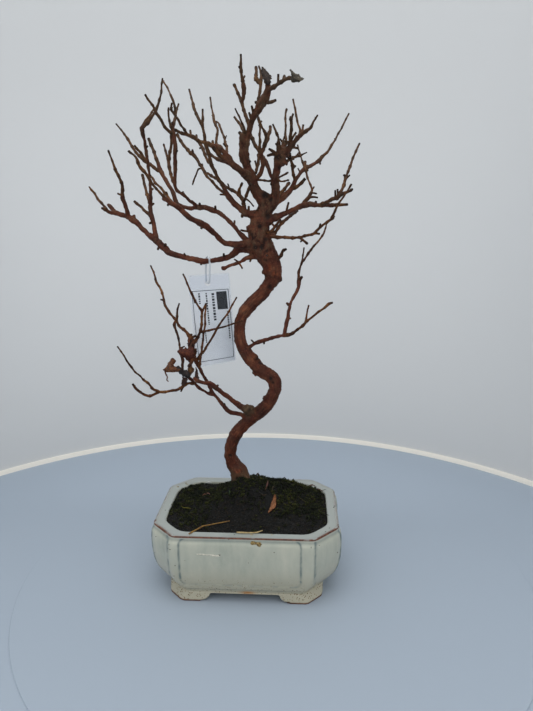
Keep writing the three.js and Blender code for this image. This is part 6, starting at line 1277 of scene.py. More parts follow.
def nearLine(line, depths, x, z):
    # The nearest place on a branch as seen: how far off, its depth, x and z
    best = (1e9, 0.0, x, z)
    for (ax, az, _), (bx, bz, _), da, db in zip(line, line[1:], depths, depths[1:]):
        length = max(math.hypot(bx - ax, bz - az), 1e-6)
        t = min(max(((x - ax) * (bx - ax) + (z - az) * (bz - az)) / length ** 2, 0), 1)
        nearX, nearZ = ax + (bx - ax) * t, az + (bz - az) * t
        best = min(best, (math.hypot(nearX - x, nearZ - z), da + (db - da) * t, nearX, nearZ))
    return best


def spreadDepths(line, knots):
    gone = np.concatenate([[0], np.cumsum([
        math.hypot(b[0] - a[0], b[1] - a[1]) for a, b in zip(line, line[1:])])])
    return np.interp(gone / gone[-1] * (len(knots) - 1), range(len(knots)), knots)


def swollen(points, radii):
    share, more = tree["twigThicker"]
    thin = np.clip(1.6 - radii / 4, 0, 1)
    return points, radii * (1 + (share - 1) * thin) + more * thin + 0.5 * gnarlAt(points)[0]


def growLimbs():
    # Every limb and spur as a run of points with radii; spurs lean forward or back by turns
    placed, runs = {}, []
    for name, parent, knots, line, spurs in branches:
        start = [nearLine(*placed[parent], *line[0][:2])[1]] if parent else []
        depths = spreadDepths(line, start + knots)
        placed[name] = (line, depths)
        points = [alongSight(x, z, depth) for (x, z, _), depth in zip(line, depths)]
        radii = [r * (depth - eye[1]) / -eye[1] for (_, _, r), depth in zip(line, depths)]
        runs.append((name, *swollen(*smoothRun(points, radii, tree["runStep"]))))
        for x, z, tipX, tipZ, radius in spurs:
            depth = nearLine(line, depths, x, z)[1]
            lean = math.sin(x * 1.7 + z * 0.9) * math.hypot(tipX - x, tipZ - z)
            points = np.array([alongSight(x, z, depth), alongSight(tipX, tipZ, depth + lean)])
            middle = points.mean(0) + np.array([0, 0, 0.06 * np.linalg.norm(points[1] - points[0])])
            points = [points[0], middle, points[1]]
            radii = [radius, radius * 0.82, radius * tree["spurTaper"]]
            runs.append(("spur", *swollen(*smoothRun(points, radii, tree["runStep"]))))
    pick = random.Random(tree["seed"])
    for x, z, reach, count, length in tree["brushes"]:
        for _ in range(count):
            fromX, fromZ = pick.gauss(x, reach / 2), pick.gauss(z, reach / 2)
            line, depths = min(placed.values(), key=lambda run: nearLine(run[0], run[1], fromX, fromZ)[0])
            _, depth, fromX, fromZ = nearLine(line, depths, fromX, fromZ)
            turn = pick.gauss(math.pi / 2, 0.9)
            far = length * pick.uniform(0.4, 1)
            points = [alongSight(fromX, fromZ, depth), alongSight(
                fromX + far * math.cos(turn), fromZ + far * math.sin(turn),
                depth + far * pick.uniform(-0.8, 0.6))]
            radius = pick.uniform(0.5, 0.95)
            runs.append(("spur", *smoothRun(points, [radius * 1.2, radius * 0.7], tree["runStep"])))
    return runs


def relax(mesh, rounds):
    # Smooths a fused skin without thinning it: each round draws in, then pushes back out
    places = vertexPlaces(mesh)
    edges = np.zeros(len(mesh.edges) * 2, np.int32)
    mesh.edges.foreach_get("vertices", edges)
    a, b = edges.reshape(-1, 2).T
    degree = np.bincount(edges, minlength=len(places))[:, None]
    for _ in range(rounds):
        for strength in (0.5, -0.53):
            total = np.zeros_like(places)
            np.add.at(total, a, places[b])
            np.add.at(total, b, places[a])
            places = places + strength * (total / degree - places)
    setPlaces(mesh, places)


def barkMaterial(name, thin):
    # Mulberry bark, drawn by layered noise stretched along each limb: red-brown and fairly smooth with fine
    # lengthwise cracks on the trunk, greyer and cracked at its foot, tan to olive with dark tips on the twigs
    material, nodes, shader, coords = startMaterial(name)
    space = addNode(nodes, "ShaderNodeAttribute", attribute_name="barkSpace").outputs["Vector"]
    stretched = addNode(nodes, "ShaderNodeMapping", {"Vector": space, "Scale": (1, 1, tree["ridgeStretch"])})
    patches = addNode(nodes, "ShaderNodeTexNoise", {
        "Vector": coords, "Scale": patternScale(14), "Detail": 4, "Roughness": 0.6})
    colour = addNode(nodes, "ShaderNodeValToRGB", {0: patches.outputs[0]}, stops=(
        [(0.3, "#2a1509"), (0.45, "#442410"), (0.57, "#5c3518"), (0.72, "#7a522d")] if thin else
        [(0.28, "#371a11"), (0.44, "#482216"), (0.57, "#582d1d"), (0.74, "#72442e")]))
    fine = addNode(nodes, "ShaderNodeTexNoise", {
        "Vector": stretched.outputs[0], "Scale": patternScale(1.5), "Detail": 6, "Roughness": 0.7})
    shade = addNode(nodes, "ShaderNodeMapRange", {
        0: fine.outputs[0], "From Min": 0.34, "From Max": 0.66, "To Min": 0.55, "To Max": 1.4})
    grained = addNode(nodes, "ShaderNodeMix", {0: 1.0, 6: colour.outputs[0], 7: shade.outputs[0]},
                      data_type="RGBA", blend_type="MULTIPLY")
    # Dark bark at marks, twig nodes and tips, and painted shade in the limbs' crevices, hollows and sunk marks
    dark = addNode(nodes, "ShaderNodeAttribute", attribute_name="darkBark").outputs["Fac"]
    grey = addNode(nodes, "ShaderNodeAttribute", attribute_name="greyBark").outputs["Fac"]
    greyed = addNode(nodes, "ShaderNodeMix", {0: grey, 6: grained.outputs[2], 7: hexColour("#574633")},
                     data_type="RGBA")
    orange = addNode(nodes, "ShaderNodeAttribute", attribute_name="orangeBark").outputs["Fac"]
    warmed = addNode(nodes, "ShaderNodeMix", {0: orange, 6: greyed.outputs[2], 7: hexColour("#8a3f1c")},
                     data_type="RGBA")
    darkened = addNode(nodes, "ShaderNodeMix", {0: dark, 6: warmed.outputs[2], 7: hexColour("#140d0a")},
                       data_type="RGBA")
    specks = addNode(nodes, "ShaderNodeTexVoronoi", {"Vector": coords, "Scale": patternScale(2.6)})
    speck = addNode(nodes, "ShaderNodeMapRange", {
        0: specks.outputs["Distance"], "From Min": 0.22, "From Max": 0.12, "To Max": 0.4})
    spotted = addNode(nodes, "ShaderNodeMix", {0: speck.outputs[0], 6: darkened.outputs[2],
                                               7: hexColour("#84684a" if thin else "#86593f")},
                       data_type="RGBA")
    nodes.links.new(spotted.outputs[2], shader.inputs["Base Color"])
    shader.inputs["Roughness"].default_value = 0.7
    shader.inputs["Specular IOR Level"].default_value = 0.22
    height = addNode(nodes, "ShaderNodeMath", {0: fine.outputs[0], 1: speck.outputs[0]}, operation="ADD")
    bump = addNode(nodes, "ShaderNodeBump", {
        "Height": height.outputs[0], "Strength": 0.75, "Distance": (0.25 if thin else 0.6) * mm})
    nodes.links.new(bump.outputs[0], shader.inputs["Normal"])
    return material


def makeLimbs(runs, twigBark):
    thickParts, centres, thinRuns = [], [], []
    for name, points, radii in runs:
        thick = np.nonzero(radii > tree["fuseOver"])[0]
        last = thick[-1] + 1 if len(thick) > 3 else 0
        if last:
            last = min(last + 1, len(points))
            if len(points) - last < 4:
                last = len(points)
            thickParts.append(tubeAround(points[:last], radii[:last], tree["tubeSides"]))
            gone = np.concatenate([[0], np.cumsum(np.linalg.norm(np.diff(points, axis=0), axis=1))])
            for row in zip(points[:last], radii[:last], gone, *ringFrames(points[:last])[1:]):
                centres.append(row)
        if last < len(points):
            thinRuns.append((name, points[max(last - 3, 0):], radii[max(last - 3, 0):]))
    points, faces = joinParts(thickParts)
    piece = meshPiece("limbs", inFrame(points), faces)
    fuse = piece.modifiers.new("Fuse", "REMESH")
    fuse.mode = "VOXEL"
    fuse.voxel_size = tree["voxel"] * mm
    applyModifiers(piece)
    relax(piece.data, 5)
    # A small gap goes right through below the hub, where a strand has grown apart from the trunk
    x, z, radius = tree["throughHole"]
    sight = [alongSight(x, z + rise, depth) for depth, rise in ((-30, 0.6), (0, 0.2), (12, 0), (50, -0.6))]
    cutWith(piece, meshPiece("gap", *placedTube(sight, [radius * 2, radius * 1.3, radius, radius * 2.4])),
            "DIFFERENCE")
    detailBark(piece.data, centres)
    piece.data.materials.clear()
    piece.data.materials.append(barkMaterial("mulberryBark", False))
    piece.data.polygons.foreach_set("material_index", np.zeros(len(piece.data.polygons), np.int32))
    piece.data.shade_smooth()
    ride(piece, "bark", "tree")
    makeTwigs(thinRuns, twigBark)


def placedTube(points, radii):
    skin, faces = tubeAround(*smoothRun(points, radii, 2.0), 12)
    return inFrame(skin), faces


def detailBark(mesh, centres):
    places = (vertexPlaces(mesh) - potMiddle) / mm
    finder = KDTree(len(centres))
    for i, row in enumerate(centres):
        finder.insert(row[0], i)
    finder.balance()
    nearest = np.array([finder.find(p)[1] for p in places])
    middle, radius, gone, side, other = (np.array([row[k] for row in centres])[nearest] for k in range(5))
    offset = places - middle
    space = np.column_stack([(offset * side).sum(1), (offset * other).sum(1), gone])
    normals = vertexNormals(mesh)
    facing = ((eye - places) * normals).sum(1) > 0
    ridges = roughness3d(space * (1, 1, tree["ridgeStretch"]), tree["barkRidges"] * 0.6, 4, tree["seed"])
    knots = roughness3d(places, 5.0, 3, tree["seed"] + 2)
    lumps = roughness3d(places * (1, 1, 0.6), 3.4, 3, tree["seed"] + 5)
    _, lumpy, shade = gnarlAt(places)
    lumpy = np.maximum(lumpy, tree["evenLumps"])
    depth = tree["barkDepth"] * np.clip(radius / 5, 0.5, 1.3)
    lift = ridges * depth * (1 + lumpy) + knots * tree["knuckle"] * np.clip(3.2 - radius * 0.4, 0.35, 1)
    lift += lumpy * lumps * np.clip(radius / 3.5, 0.45, 1.5)
    # Painted shade: the low parts of the ridges and lumps are darkened, most at the gnarls
    dark = np.clip(-ridges * 0.8 - 0.25, 0, 0.45) + np.clip(-lumps * lumpy * 2 - 0.1, 0, 1) * (0.4 + shade)
    orange = np.zeros(len(places))
    x, z = asSeen(places)
    for markX, markZ, size, height, tint in barkMarks:
        away = np.hypot(x - markX, z - markZ) / size
        lift += height * np.exp(-away ** 2) * facing
        spot = abs(tint) * np.exp(-away ** 4) * facing
        if tint < 0:
            orange = np.maximum(orange, spot)
        else:
            dark = np.maximum(dark, spot)
    setPlaces(mesh, inFrame(places + normals * lift[:, None]))
    storeVector(mesh, "barkSpace", space * mm)
    storeValue(mesh, "darkBark", np.clip(dark, 0, 1))
    storeValue(mesh, "orangeBark", orange * (0.6 + 0.4 * np.sign(lumps)))
    high = smoothStep(places[:, 2], 300, 420) * 0.3
    foot = 0.8 * (1 - smoothStep(places[:, 2], 84, 108))
    knob = np.exp(-(np.hypot(x - 1, z - 166) / 6) ** 2)
    hub = 0.75 * np.clip(lumpy - 0.3, 0, 1) * np.clip(0.5 + lumps * 1.6, 0, 1)
    storeValue(mesh, "greyBark", np.clip(high + foot + knob + hub + 0.3 * knots, 0, 0.9))


def twigNodes(material):
    nodes, given = startNodes("twigs", {
        "Step": "Float", "Sides": "Int", "Bud Length": "Float", "Bud": "Float"})
    lines = addNode(nodes, "GeometryNodeMeshToCurve", {"Mesh": given["Geometry"]})
    even = addNode(nodes, "GeometryNodeResampleCurve", {"Curve": lines.outputs[0], "Length": given["Step"]},
                   mode="LENGTH")
    place = addNode(nodes, "GeometryNodeInputPosition")
    wobble = addNode(nodes, "ShaderNodeTexNoise", {"Vector": place.outputs[0], "Scale": patternScale(4)})
    radius = addNode(nodes, "GeometryNodeInputNamedAttribute", {"Name": "limbRadius"}, data_type="FLOAT")
    swell = addNode(nodes, "ShaderNodeMapRange", {0: wobble.outputs[0], "From Min": 0.3, "From Max": 0.7,
                                                  "To Min": 0.86, "To Max": 1.16})
    thickness = addNode(nodes, "ShaderNodeMath", {0: radius.outputs[0], 1: swell.outputs[0]},
                        operation="MULTIPLY")
    ring = addNode(nodes, "GeometryNodeCurvePrimitiveCircle", {"Resolution": given["Sides"], "Radius": 1.0})
    skin = addNode(nodes, "GeometryNodeCurveToMesh", {
        "Curve": even.outputs[0], "Profile Curve": ring.outputs[0], "Scale": thickness.outputs[0],
        "Fill Caps": True})
    # Buds: small blunt scales that lean out from the twigs where the points ask for them
    aim = addNode(nodes, "GeometryNodeInputNamedAttribute", {"Name": "budAim"}, data_type="FLOAT_VECTOR")
    size = addNode(nodes, "GeometryNodeInputNamedAttribute", {"Name": "budSize"}, data_type="FLOAT")
    turned = addNode(nodes, "FunctionNodeAlignRotationToVector", {"Vector": aim.outputs[0]}, axis="Z")
    wanted = addNode(nodes, "FunctionNodeCompare", {0: size.outputs[0], 1: 0.01}, operation="GREATER_THAN")
    spots = addNode(nodes, "GeometryNodeMeshToPoints", {"Mesh": given["Geometry"],
                                                        "Selection": wanted.outputs[0]})
    bud = addNode(nodes, "GeometryNodeMeshCone", {
        "Vertices": 7, "Side Segments": 3, "Fill Segments": 1, "Radius Top": 0.25 * mm,
        "Radius Bottom": given["Bud"], "Depth": given["Bud Length"]})
    buds = addNode(nodes, "GeometryNodeInstanceOnPoints", {
        "Points": spots.outputs[0], "Instance": bud.outputs[0], "Rotation": turned.outputs[0],
        "Scale": size.outputs[0]})
    both = addNode(nodes, "GeometryNodeJoinGeometry")
    nodes.links.new(skin.outputs[0], both.inputs[0])
    nodes.links.new(buds.outputs[0], both.inputs[0])
    finishNodes(nodes, both.outputs[0], material)
    return nodes


def noded(points, radii, pick, spur):
    # Swellings where leaves once grew, each with a bud on alternate sides, and a slight bend at each
    gone = np.concatenate([[0], np.cumsum(np.linalg.norm(np.diff(points, axis=0), axis=1))])
    along, side, other = ringFrames(points)
    aims, sizes = along.copy(), np.zeros(len(points))
    tips = smoothStep(gone, gone[-1] - 3.5, gone[-1])
    dark = 0.8 * tips
    radii = radii * (1 + 0.1 * np.exp(-((gone - gone[-1] + 1) / 1.2) ** 2))
    at, turn = pick.uniform(2.5, 6), pick.uniform(0, 6.28)
    while at < gone[-1] - 1 and not spur:
        radii = radii * (1 + tree["nodeSwelling"] * np.exp(-((gone - at) / 0.9) ** 2))
        dark = np.maximum(dark, 0.55 * np.exp(-((gone - at) / 0.7) ** 2))
        k = int(np.argmin(np.abs(gone - at)))
        out = math.cos(turn) * side[k] + math.sin(turn) * other[k]
        bend = np.clip(1 - np.abs(gone - at) / 3.5, 0, 1) * tree["kink"] * min(radii[k], 1.0)
        points = points - out * bend[:, None]
        aims[k] = 0.75 * along[k] + out
        sizes[k] = pick.uniform(0.6, 1.0) * min(max(radii[k] / 0.9, 0.6), 1.25)
        at += pick.uniform(*tree["nodesApart"])
        turn += math.pi + pick.uniform(-0.6, 0.6)
    return points, radii, dark, aims, sizes


def makeTwigs(runs, material):
    pick = random.Random(tree["seed"])
    rows = [noded(points, radii, pick, name == "spur") for name, points, radii in runs]
    points, radii, dark, aims, sizes = (np.concatenate([row[k] for row in rows]) for k in range(5))
    edges, start = [], 0
    for row in rows:
        edges += [(i, i + 1) for i in range(start, start + len(row[0]) - 1)]
        start += len(row[0])
    mesh = bpy.data.meshes.new("twigLines")
    mesh.from_pydata([tuple(p) for p in inFrame(points)], edges, [])
    for name, values in (("limbRadius", radii * mm), ("darkBark", dark), ("budSize", sizes),
                         ("greyBark", np.clip((points[:, 2] - 300) / 260, 0, 0.5)),
                         ("orangeBark", 0 * sizes)):
        storeValue(mesh, name, values)
    storeVector(mesh, "barkSpace", inFrame(points))
    storeVector(mesh, "budAim", aims)
    carrier = bpy.data.objects.new("twigLines", mesh)
    bpy.context.scene.collection.objects.link(carrier)
    piece = bakeNodes("twigs", carrier, twigNodes(material), {
        "Step": tree["twigStep"] * mm, "Sides": tree["twigSides"], "Bud Length": tree["budLength"] * mm,
        "Bud": 0.75 * mm})
    removeObject(carrier)
    ride(piece, "bark", "tree")


makeLimbs(growLimbs(), barkMaterial("mulberryTwigBark", True))

# Dead leaves
leafShape = {"rows": 34, "columns": 27, "wrinkle": 0.8, "ragged": 0.7, "veinHeight": 0.2, "thickness": 0.32}

# Each leaf: its node, slot, colours from dark to pale, the stalk, and rows across its blade as seen, each with
# both edge points and the depths y at the first edge, the middle and the second edge
leafTable = [
    ("leaf_low_large", "dead_leaf_red", ["#2a110a", "#4a2115", "#65341f"], None, [
        [-63.4, 222.2, -63.1, 220.9, -6, -6.4, -6], [-61.4, 224.2, -62.2, 219.3, -5, -6.8, -5.6],
        [-58.7, 224.6, -59.8, 217, -4.4, -7.2, -5], [-56.3, 225.6, -56.8, 215.2, -3.6, -7.4, -4],
        [-53.7, 224.8, -54.1, 213.9, -3, -7, -2.6], [-51, 225.6, -51.9, 212.1, -2.6, -5.6, -1.6],
        [-48.3, 225.3, -49.7, 214.3, -2.6, -4.8, -1], [-47.9, 221, -48.8, 217.1, -2.6, -4.4, -0.6]]),
    ("leaf_low_curled", "dead_leaf_brown", ["#2c1510", "#53301d", "#8a5c33"],
     [[-76, 204.4, -6], [-75.2, 200.4, -5], [-73.9, 197.4, -5.4], [-74.4, 194.4, -6], [-73, 193, -6.6]], [
        [-67.9, 215.5, -67.3, 215.3, -3, -3.6, -3], [-70.5, 213.7, -65.6, 213.6, -2.4, -5, -2.6],
        [-72.1, 211.4, -66.2, 211.6, -2, -6, -3], [-73.7, 208.6, -67.1, 209.6, -2.6, -7, -4],
        [-75.3, 206.2, -66.7, 207.9, -3, -9, -5], [-76.5, 204, -64.9, 206.3, -4, -9.6, -5.4],
        [-75.7, 202.4, -62, 205.2, -5, -10, -7], [-72.4, 201.7, -63, 202.2, -6.4, -9, -8.4]]),
    ("leaf_low_small", "dead_leaf_brown", ["#2f1d10", "#583a20", "#805c33"], None, [
        [-55, 206, -52, 210.4, -8, -8.6, -7], [-54.8, 202.8, -50, 207, -7.4, -9.6, -7.4],
        [-54.7, 200.5, -48.7, 205.7, -7, -9.8, -7.2], [-53.6, 198.7, -49.4, 203.3, -6.6, -8.6, -7],
        [-52.5, 197.7, -51, 200.5, -6, -6.4, -6.2]]),
    ("leaf_low_dark", "dead_leaf_dark", ["#150d0a", "#2e1b13", "#482f20"], None, [
        [-60, 197.6, -56, 196.9, -9, -10.6, -9], [-60.3, 194.4, -55.1, 195.3, -8.6, -11, -9.4],
        [-60.5, 191.2, -55.8, 192.9, -8.8, -10.8, -9.6], [-60.2, 188.4, -56.8, 190.8, -9, -10.4, -9.8],
        [-61.1, 186, -58.7, 188.4, -9.4, -10, -9.8], [-61.6, 183.9, -61.2, 183.7, -9.6, -10, -9.8]]),
    ("leaf_low_scrap", "dead_leaf_dark", ["#170e0b", "#2d1a13", "#452d20"], None, [
        [-47.3, 207.3, -46.3, 207.1, -2, -3, -2], [-47.6, 203.3, -45.2, 202.5, -3.4, -5, -3.6],
        [-48.3, 200.1, -44.9, 199.8, -5.4, -7, -5.6], [-48.6, 197.3, -44.4, 196.6, -6.6, -7.8, -7],
        [-48.3, 194.9, -44.5, 194.6, -8, -8.8, -8.2]]),
    ("leaf_top_left", "dead_leaf_dark", ["#120f10", "#2b211d", "#4a3a2e"], None, [
        [15.7, 457.9, 16.6, 457.7, -6, -6.4, -6], [15.1, 453.7, 19.8, 454.2, -8, -9.4, -7],
        [16.9, 449.7, 22.7, 450.2, -10, -12.6, -9], [17.6, 446, 23.4, 446.6, -12, -14, -11],
        [19.8, 444.3, 21.9, 444.6, -12, -14, -12]]),
    ("leaf_top_right", "dead_leaf_olive", ["#1b1916", "#3d362b", "#665d4b"], None, [
        [37.8, 455.2, 38.8, 455.5, -32, -33, -31], [39.6, 451.6, 41.4, 453.5, -32.4, -35.4, -30],
        [39.6, 447, 45, 451.5, -32.6, -36.4, -30.4], [43.6, 446.2, 47.8, 449.8, -34, -36.4, -32],
        [45.7, 445.9, 49.6, 448.6, -35, -36.6, -34.6]]),
    # Two scraps that the solids leave out: one bridges the curled leaf and the branch, near black as a dark leaf
    # with painted shade between the parts; one hangs at the top
    ("leaf_low_bridge", "dead_leaf_red", ["#10110f", "#272525", "#4a3a31"], None, [
        [-66.8, 206.3, -63.2, 208.3, -4.4, -5.4, -4.4], [-65.7, 204.7, -62.1, 208.1, -4.6, -6.4, -4.6],
        [-63.5, 202.7, -60.2, 206.3, -5, -7, -5], [-61.3, 200, -58, 204, -5.6, -7.8, -5.6],
        [-58.6, 198, -55.3, 203.6, -6.4, -8.8, -6.4], [-56, 196.9, -53.1, 200.1, -7, -9, -7],
        [-53.7, 196.5, -52.5, 198.1, -7.6, -8.2, -7.6]]),
    ("leaf_top_small", "dead_leaf_brown", ["#2b1a10", "#56391f", "#84603a"], None, [
        [9.3, 450.5, 10.8, 453.1, -6, -7, -6], [9.7, 447.5, 12.9, 450.4, -6.4, -8, -6.6],
        [11.1, 447.1, 13.7, 448.4, -6.6, -7.4, -6.8]]),
]


def dryLeafMaterial(name, colours):
    # A leaf dried on the twig: mottled brown, darker between its raised veins, with a papery dull surface
    material, nodes, shader, coords = startMaterial(name)
    mottle = addNode(nodes, "ShaderNodeTexNoise", {
        "Vector": coords, "Scale": patternScale(3.2), "Detail": 6, "Roughness": 0.7})
    colour = addNode(nodes, "ShaderNodeValToRGB", {0: mottle.outputs[0]}, stops=[
        (0.33, colours[0]), (0.52, colours[1]), (0.7, colours[2])])
    vein = addNode(nodes, "ShaderNodeAttribute", attribute_name="leafVein").outputs["Fac"]
    faint = addNode(nodes, "ShaderNodeMath", {0: vein, 1: 0.55}, operation="MULTIPLY")
    veined = addNode(nodes, "ShaderNodeMix", {0: faint.outputs[0], 6: colour.outputs[0],
                                              7: hexColour(colours[2])}, data_type="RGBA")
    nodes.links.new(veined.outputs[2], shader.inputs["Base Color"])
    shader.inputs["Roughness"].default_value = 0.7
    shader.inputs["Specular IOR Level"].default_value = 0.3
    bump = addNode(nodes, "ShaderNodeBump", {
        "Height": mottle.outputs[0], "Strength": 0.6, "Distance": 0.3 * mm})
    nodes.links.new(bump.outputs[0], shader.inputs["Normal"])
    return material


def leafSheet(grid, seed, material, name, stalk=None, shape=leafShape):
    # A closed thin sheet through the grid, wrinkled and ragged, its midrib and side veins raised
    rows, columns = grid.shape[:2]
    rowAt = np.linspace(-1, 1, rows)[:, None] * np.ones((1, columns))
    across = np.linspace(-1, 1, columns)[None] * np.ones((rows, 1))
    along = np.gradient(grid, axis=0)
    over = np.gradient(grid, axis=1)
    normal = np.cross(over, along)
    normal /= np.maximum(np.linalg.norm(normal, axis=2, keepdims=True), 1e-9)
    flat = grid.reshape(-1, 3)
    wrinkles = roughness3d(flat, 3.4, 3, seed).reshape(rows, columns)
    margin = np.array([noise.noise(Vector((t * 9 + seed, side * 5, seed))) for side in (0, 1)
                       for t in np.linspace(0, 1, rows)]).reshape(2, rows)
    side = (across > 0).astype(int)
    pull = 1 + shape["ragged"] * np.abs(across) ** 4 * np.take_along_axis(margin.T, side, 1) * 0.5
    middle = grid.mean(1, keepdims=True)
    grid = middle + (grid - middle) * pull[..., None]
    slant = np.abs(across) * 0.55 - rowAt
    veins = np.exp(-(across / 0.06) ** 2) + 0.6 * np.exp(-((slant * 3.2 % 1 - 0.5) / 0.14) ** 2)
    lift = shape["wrinkle"] * wrinkles * (0.4 + 0.6 * np.abs(across)) + shape["veinHeight"] * veins
    grid = grid + normal * lift[..., None]
    faces = [(i * columns + j, i * columns + j + 1, (i + 1) * columns + j + 1, (i + 1) * columns + j)
             for i in range(rows - 1) for j in range(columns - 1)]
    piece = meshPiece(name, inFrame(grid.reshape(-1, 3)), faces, material)
    storeValue(piece.data, "leafVein", np.clip(veins, 0, 1).ravel())
    solid = piece.modifiers.new("Thickness", "SOLIDIFY")
    solid.thickness = shape["thickness"] * mm
    solid.offset = 0
    applyModifiers(piece)
    if stalk is not None:
        points, skin = tubeAround(*stalk, 7)
        stem = meshPiece("stem", inFrame(points), skin, material)
        joined = bmesh.new()
        joined.from_mesh(piece.data)
        joined.from_mesh(stem.data)
        joined.to_mesh(piece.data)
        joined.free()
        removeObject(stem)
        piece.data.shade_smooth()
    return piece


def leafGrid(rows, shape=leafShape):
    table = np.array(rows, float)
    at = np.linspace(0, len(table) - 1, shape["rows"])
    first = np.minimum(at.astype(int), len(table) - 2)
    t = (at - first)[:, None]
    before, start, end, after = (table[np.clip(first + k, 0, len(table) - 1)] for k in (-1, 0, 1, 2))
    even = start + 0.5 * t * (end - before + t * (2 * before - 5 * start + 4 * end - after
                                                   + t * (3 * (start - end) + after - before)))
    grid = []
    for ax, az, bx, bz, first, halfway, second in even:
        row = []
        for t in np.linspace(0, 1, shape["columns"]):
            depth = first * (1 - t) * (1 - 2 * t) + halfway * 4 * t * (1 - t) + second * t * (2 * t - 1)
            row.append(alongSight(ax + (bx - ax) * t, az + (bz - az) * t, depth))
        grid.append(row)
    return np.array(grid)


def makeLeaves():
    for seed, (name, slot, colours, stalk, rows) in enumerate(leafTable):
        stem = stalk and smoothRun([alongSight(*p) for p in stalk], np.linspace(0.75, 0.5, len(stalk)), 0.6)
        piece = leafSheet(leafGrid(rows), seed + 1.5, dryLeafMaterial("dry" + name, colours),
            name + "_dry", stem)
        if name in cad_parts:
            # Its depth is its solid's, which touches the twig that holds it
            low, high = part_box(name)
            places = vertexPlaces(piece.data)
            shift = (low.y + high.y) / 2 - (places[:, 1].min() + places[:, 1].max()) / 2
            away = potMiddle + eye * mm
            setPlaces(piece.data, away + (places - away) * (1 + shift / (places[:, 1].mean() - away[1])))
            ride(piece, slot, name)
        else:
            ride(piece, slot)


makeLeaves()
# Label: a clear sleeve, a printed card in it and a tie over the branch. Its parts are made flat (u to the right,
# w to the back, v up, all from its middle), then turned with it
label = {
    "middle": (-29.9, 251.2, 22.0),
    "tilt": math.radians(4),
    "twist": math.radians(28),
    "sleeve": (39.0, 86.0),
    "sleeveCorner": 1.6,
    "film": 0.22,
    "weld": 1.3,
    "card": (36.4, -41.7, 29.8),
    "cardThickness": 0.45,
    "hole": (-1.4, 34.5, 2.4),
    "ink": 0.05,
    "borderLine": 0.55,
    "strips": 4.0,
    # Plain ruled lines stand for the printing: u, v from, v to, line width, dash length (0 for solid)
    "rows": [(2.3, -0.6, 25.4, 2.3, 2.0), (-3.8, -4.3, 25.7, 1.3, 1.5), (-10.5, 15.9, 26.0, 1.6, 1.6),
             (-15.4, 17.0, 20.6, 1.2, 1.4), (14.5, -19.2, 7.5, 1.3, 1.4), (-8.0, -21.0, -9.0, 1.0, 1.2)],
    "block": (5.6, 9.5, 15.2, 26.2),
}


def onLabel(u, w, v):
    turn = label["twist"] * (0.5 - v / label["sleeve"][1]) ** 2
    across, deep = u * np.cos(turn) - w * np.sin(turn), u * np.sin(turn) + w * np.cos(turn)
    c, s = math.cos(label["tilt"]), math.sin(label["tilt"])
    return alongSight(*label["middle"]) + np.stack([across * c - v * s, deep, across * s + v * c], -1)


def turnWithLabel(piece):
    # Cuts the flat part into strips and squares, then turns it
    shell = bmesh.new()
    shell.from_mesh(piece.data)
    for k, reach in enumerate((20, 0, 44)):
        direction = Vector([k == 0, 0, k == 2])
        for at in np.arange(-reach, reach + 1, label["strips"]) if reach else ():
            bmesh.ops.bisect_plane(shell, geom=[*shell.verts, *shell.edges, *shell.faces],
                                   plane_co=direction * at, plane_no=direction)
    bmesh.ops.recalc_face_normals(shell, faces=shell.faces)
    shell.to_mesh(piece.data)
    shell.free()
    setPlaces(piece.data, inFrame(onLabel(*vertexPlaces(piece.data).T)))
    piece.data.shade_flat()


def labelSlab(outline, low, high):
    rings = [np.array([(u, w, v) for u, v in outline]) for w in (high, low)]
    return np.vstack(rings), ringFaces(len(outline), 2)


def box(u, v, width, height):
    return [(u, v), (u + width, v), (u + width, v + height), (u, v + height)]


def roundBox(u, v, width, height, corner):
    outline = []
    for cu, cv, start in ((u + width - corner, v + corner, -90), (u + width - corner, v + height - corner, 0),
                          (u + corner, v + height - corner, 90), (u + corner, v + corner, 180)):
        for step in range(6):
            angle = math.radians(start + 18 * step)
            outline.append((cu + corner * math.cos(angle), cv + corner * math.sin(angle)))
    return outline


def circle(u, v, radius, count=40):
    return [(u + radius * math.cos(2 * math.pi * k / count), v + radius * math.sin(2 * math.pi * k / count))
            for k in range(count)]


def clearVinyl():
    # Soft clear vinyl film, glossy and very slightly milky
    material, nodes, shader, coords = startMaterial("clearVinylFilm")
    shader.inputs["Base Color"].default_value = hexColour("#f4f8fa")
    shader.inputs["Roughness"].default_value = 0.12
    shader.inputs["IOR"].default_value = 1.5
    shader.inputs["Alpha"].default_value = 1.0
    shader.inputs["Transmission Weight"].default_value = 0.0
    clear = addNode(nodes, "ShaderNodeBsdfTransparent", {"Color": hexColour("#fcfdff")})
    ripples = addNode(nodes, "ShaderNodeTexNoise", {"Vector": coords, "Scale": patternScale(18), "Detail": 2})
    bump = addNode(nodes, "ShaderNodeBump", {"Height": ripples.outputs[0], "Strength": 0.3, "Distance": mm})
    nodes.links.new(bump.outputs[0], shader.inputs["Normal"])
    gloss = addNode(nodes, "ShaderNodeFresnel", {"IOR": 1.45, "Normal": bump.outputs[0]})
    share = addNode(nodes, "ShaderNodeMath", {0: gloss.outputs[0], 1: 0.6, 2: 0.0}, operation="MULTIPLY_ADD")
    mixed = addNode(nodes, "ShaderNodeMixShader", {0: share.outputs[0], 1: clear.outputs[0],
                                                   2: shader.outputs[0]})
    nodes.links.new(mixed.outputs[0], nodes.nodes["Material Output"].inputs["Surface"])
    return material


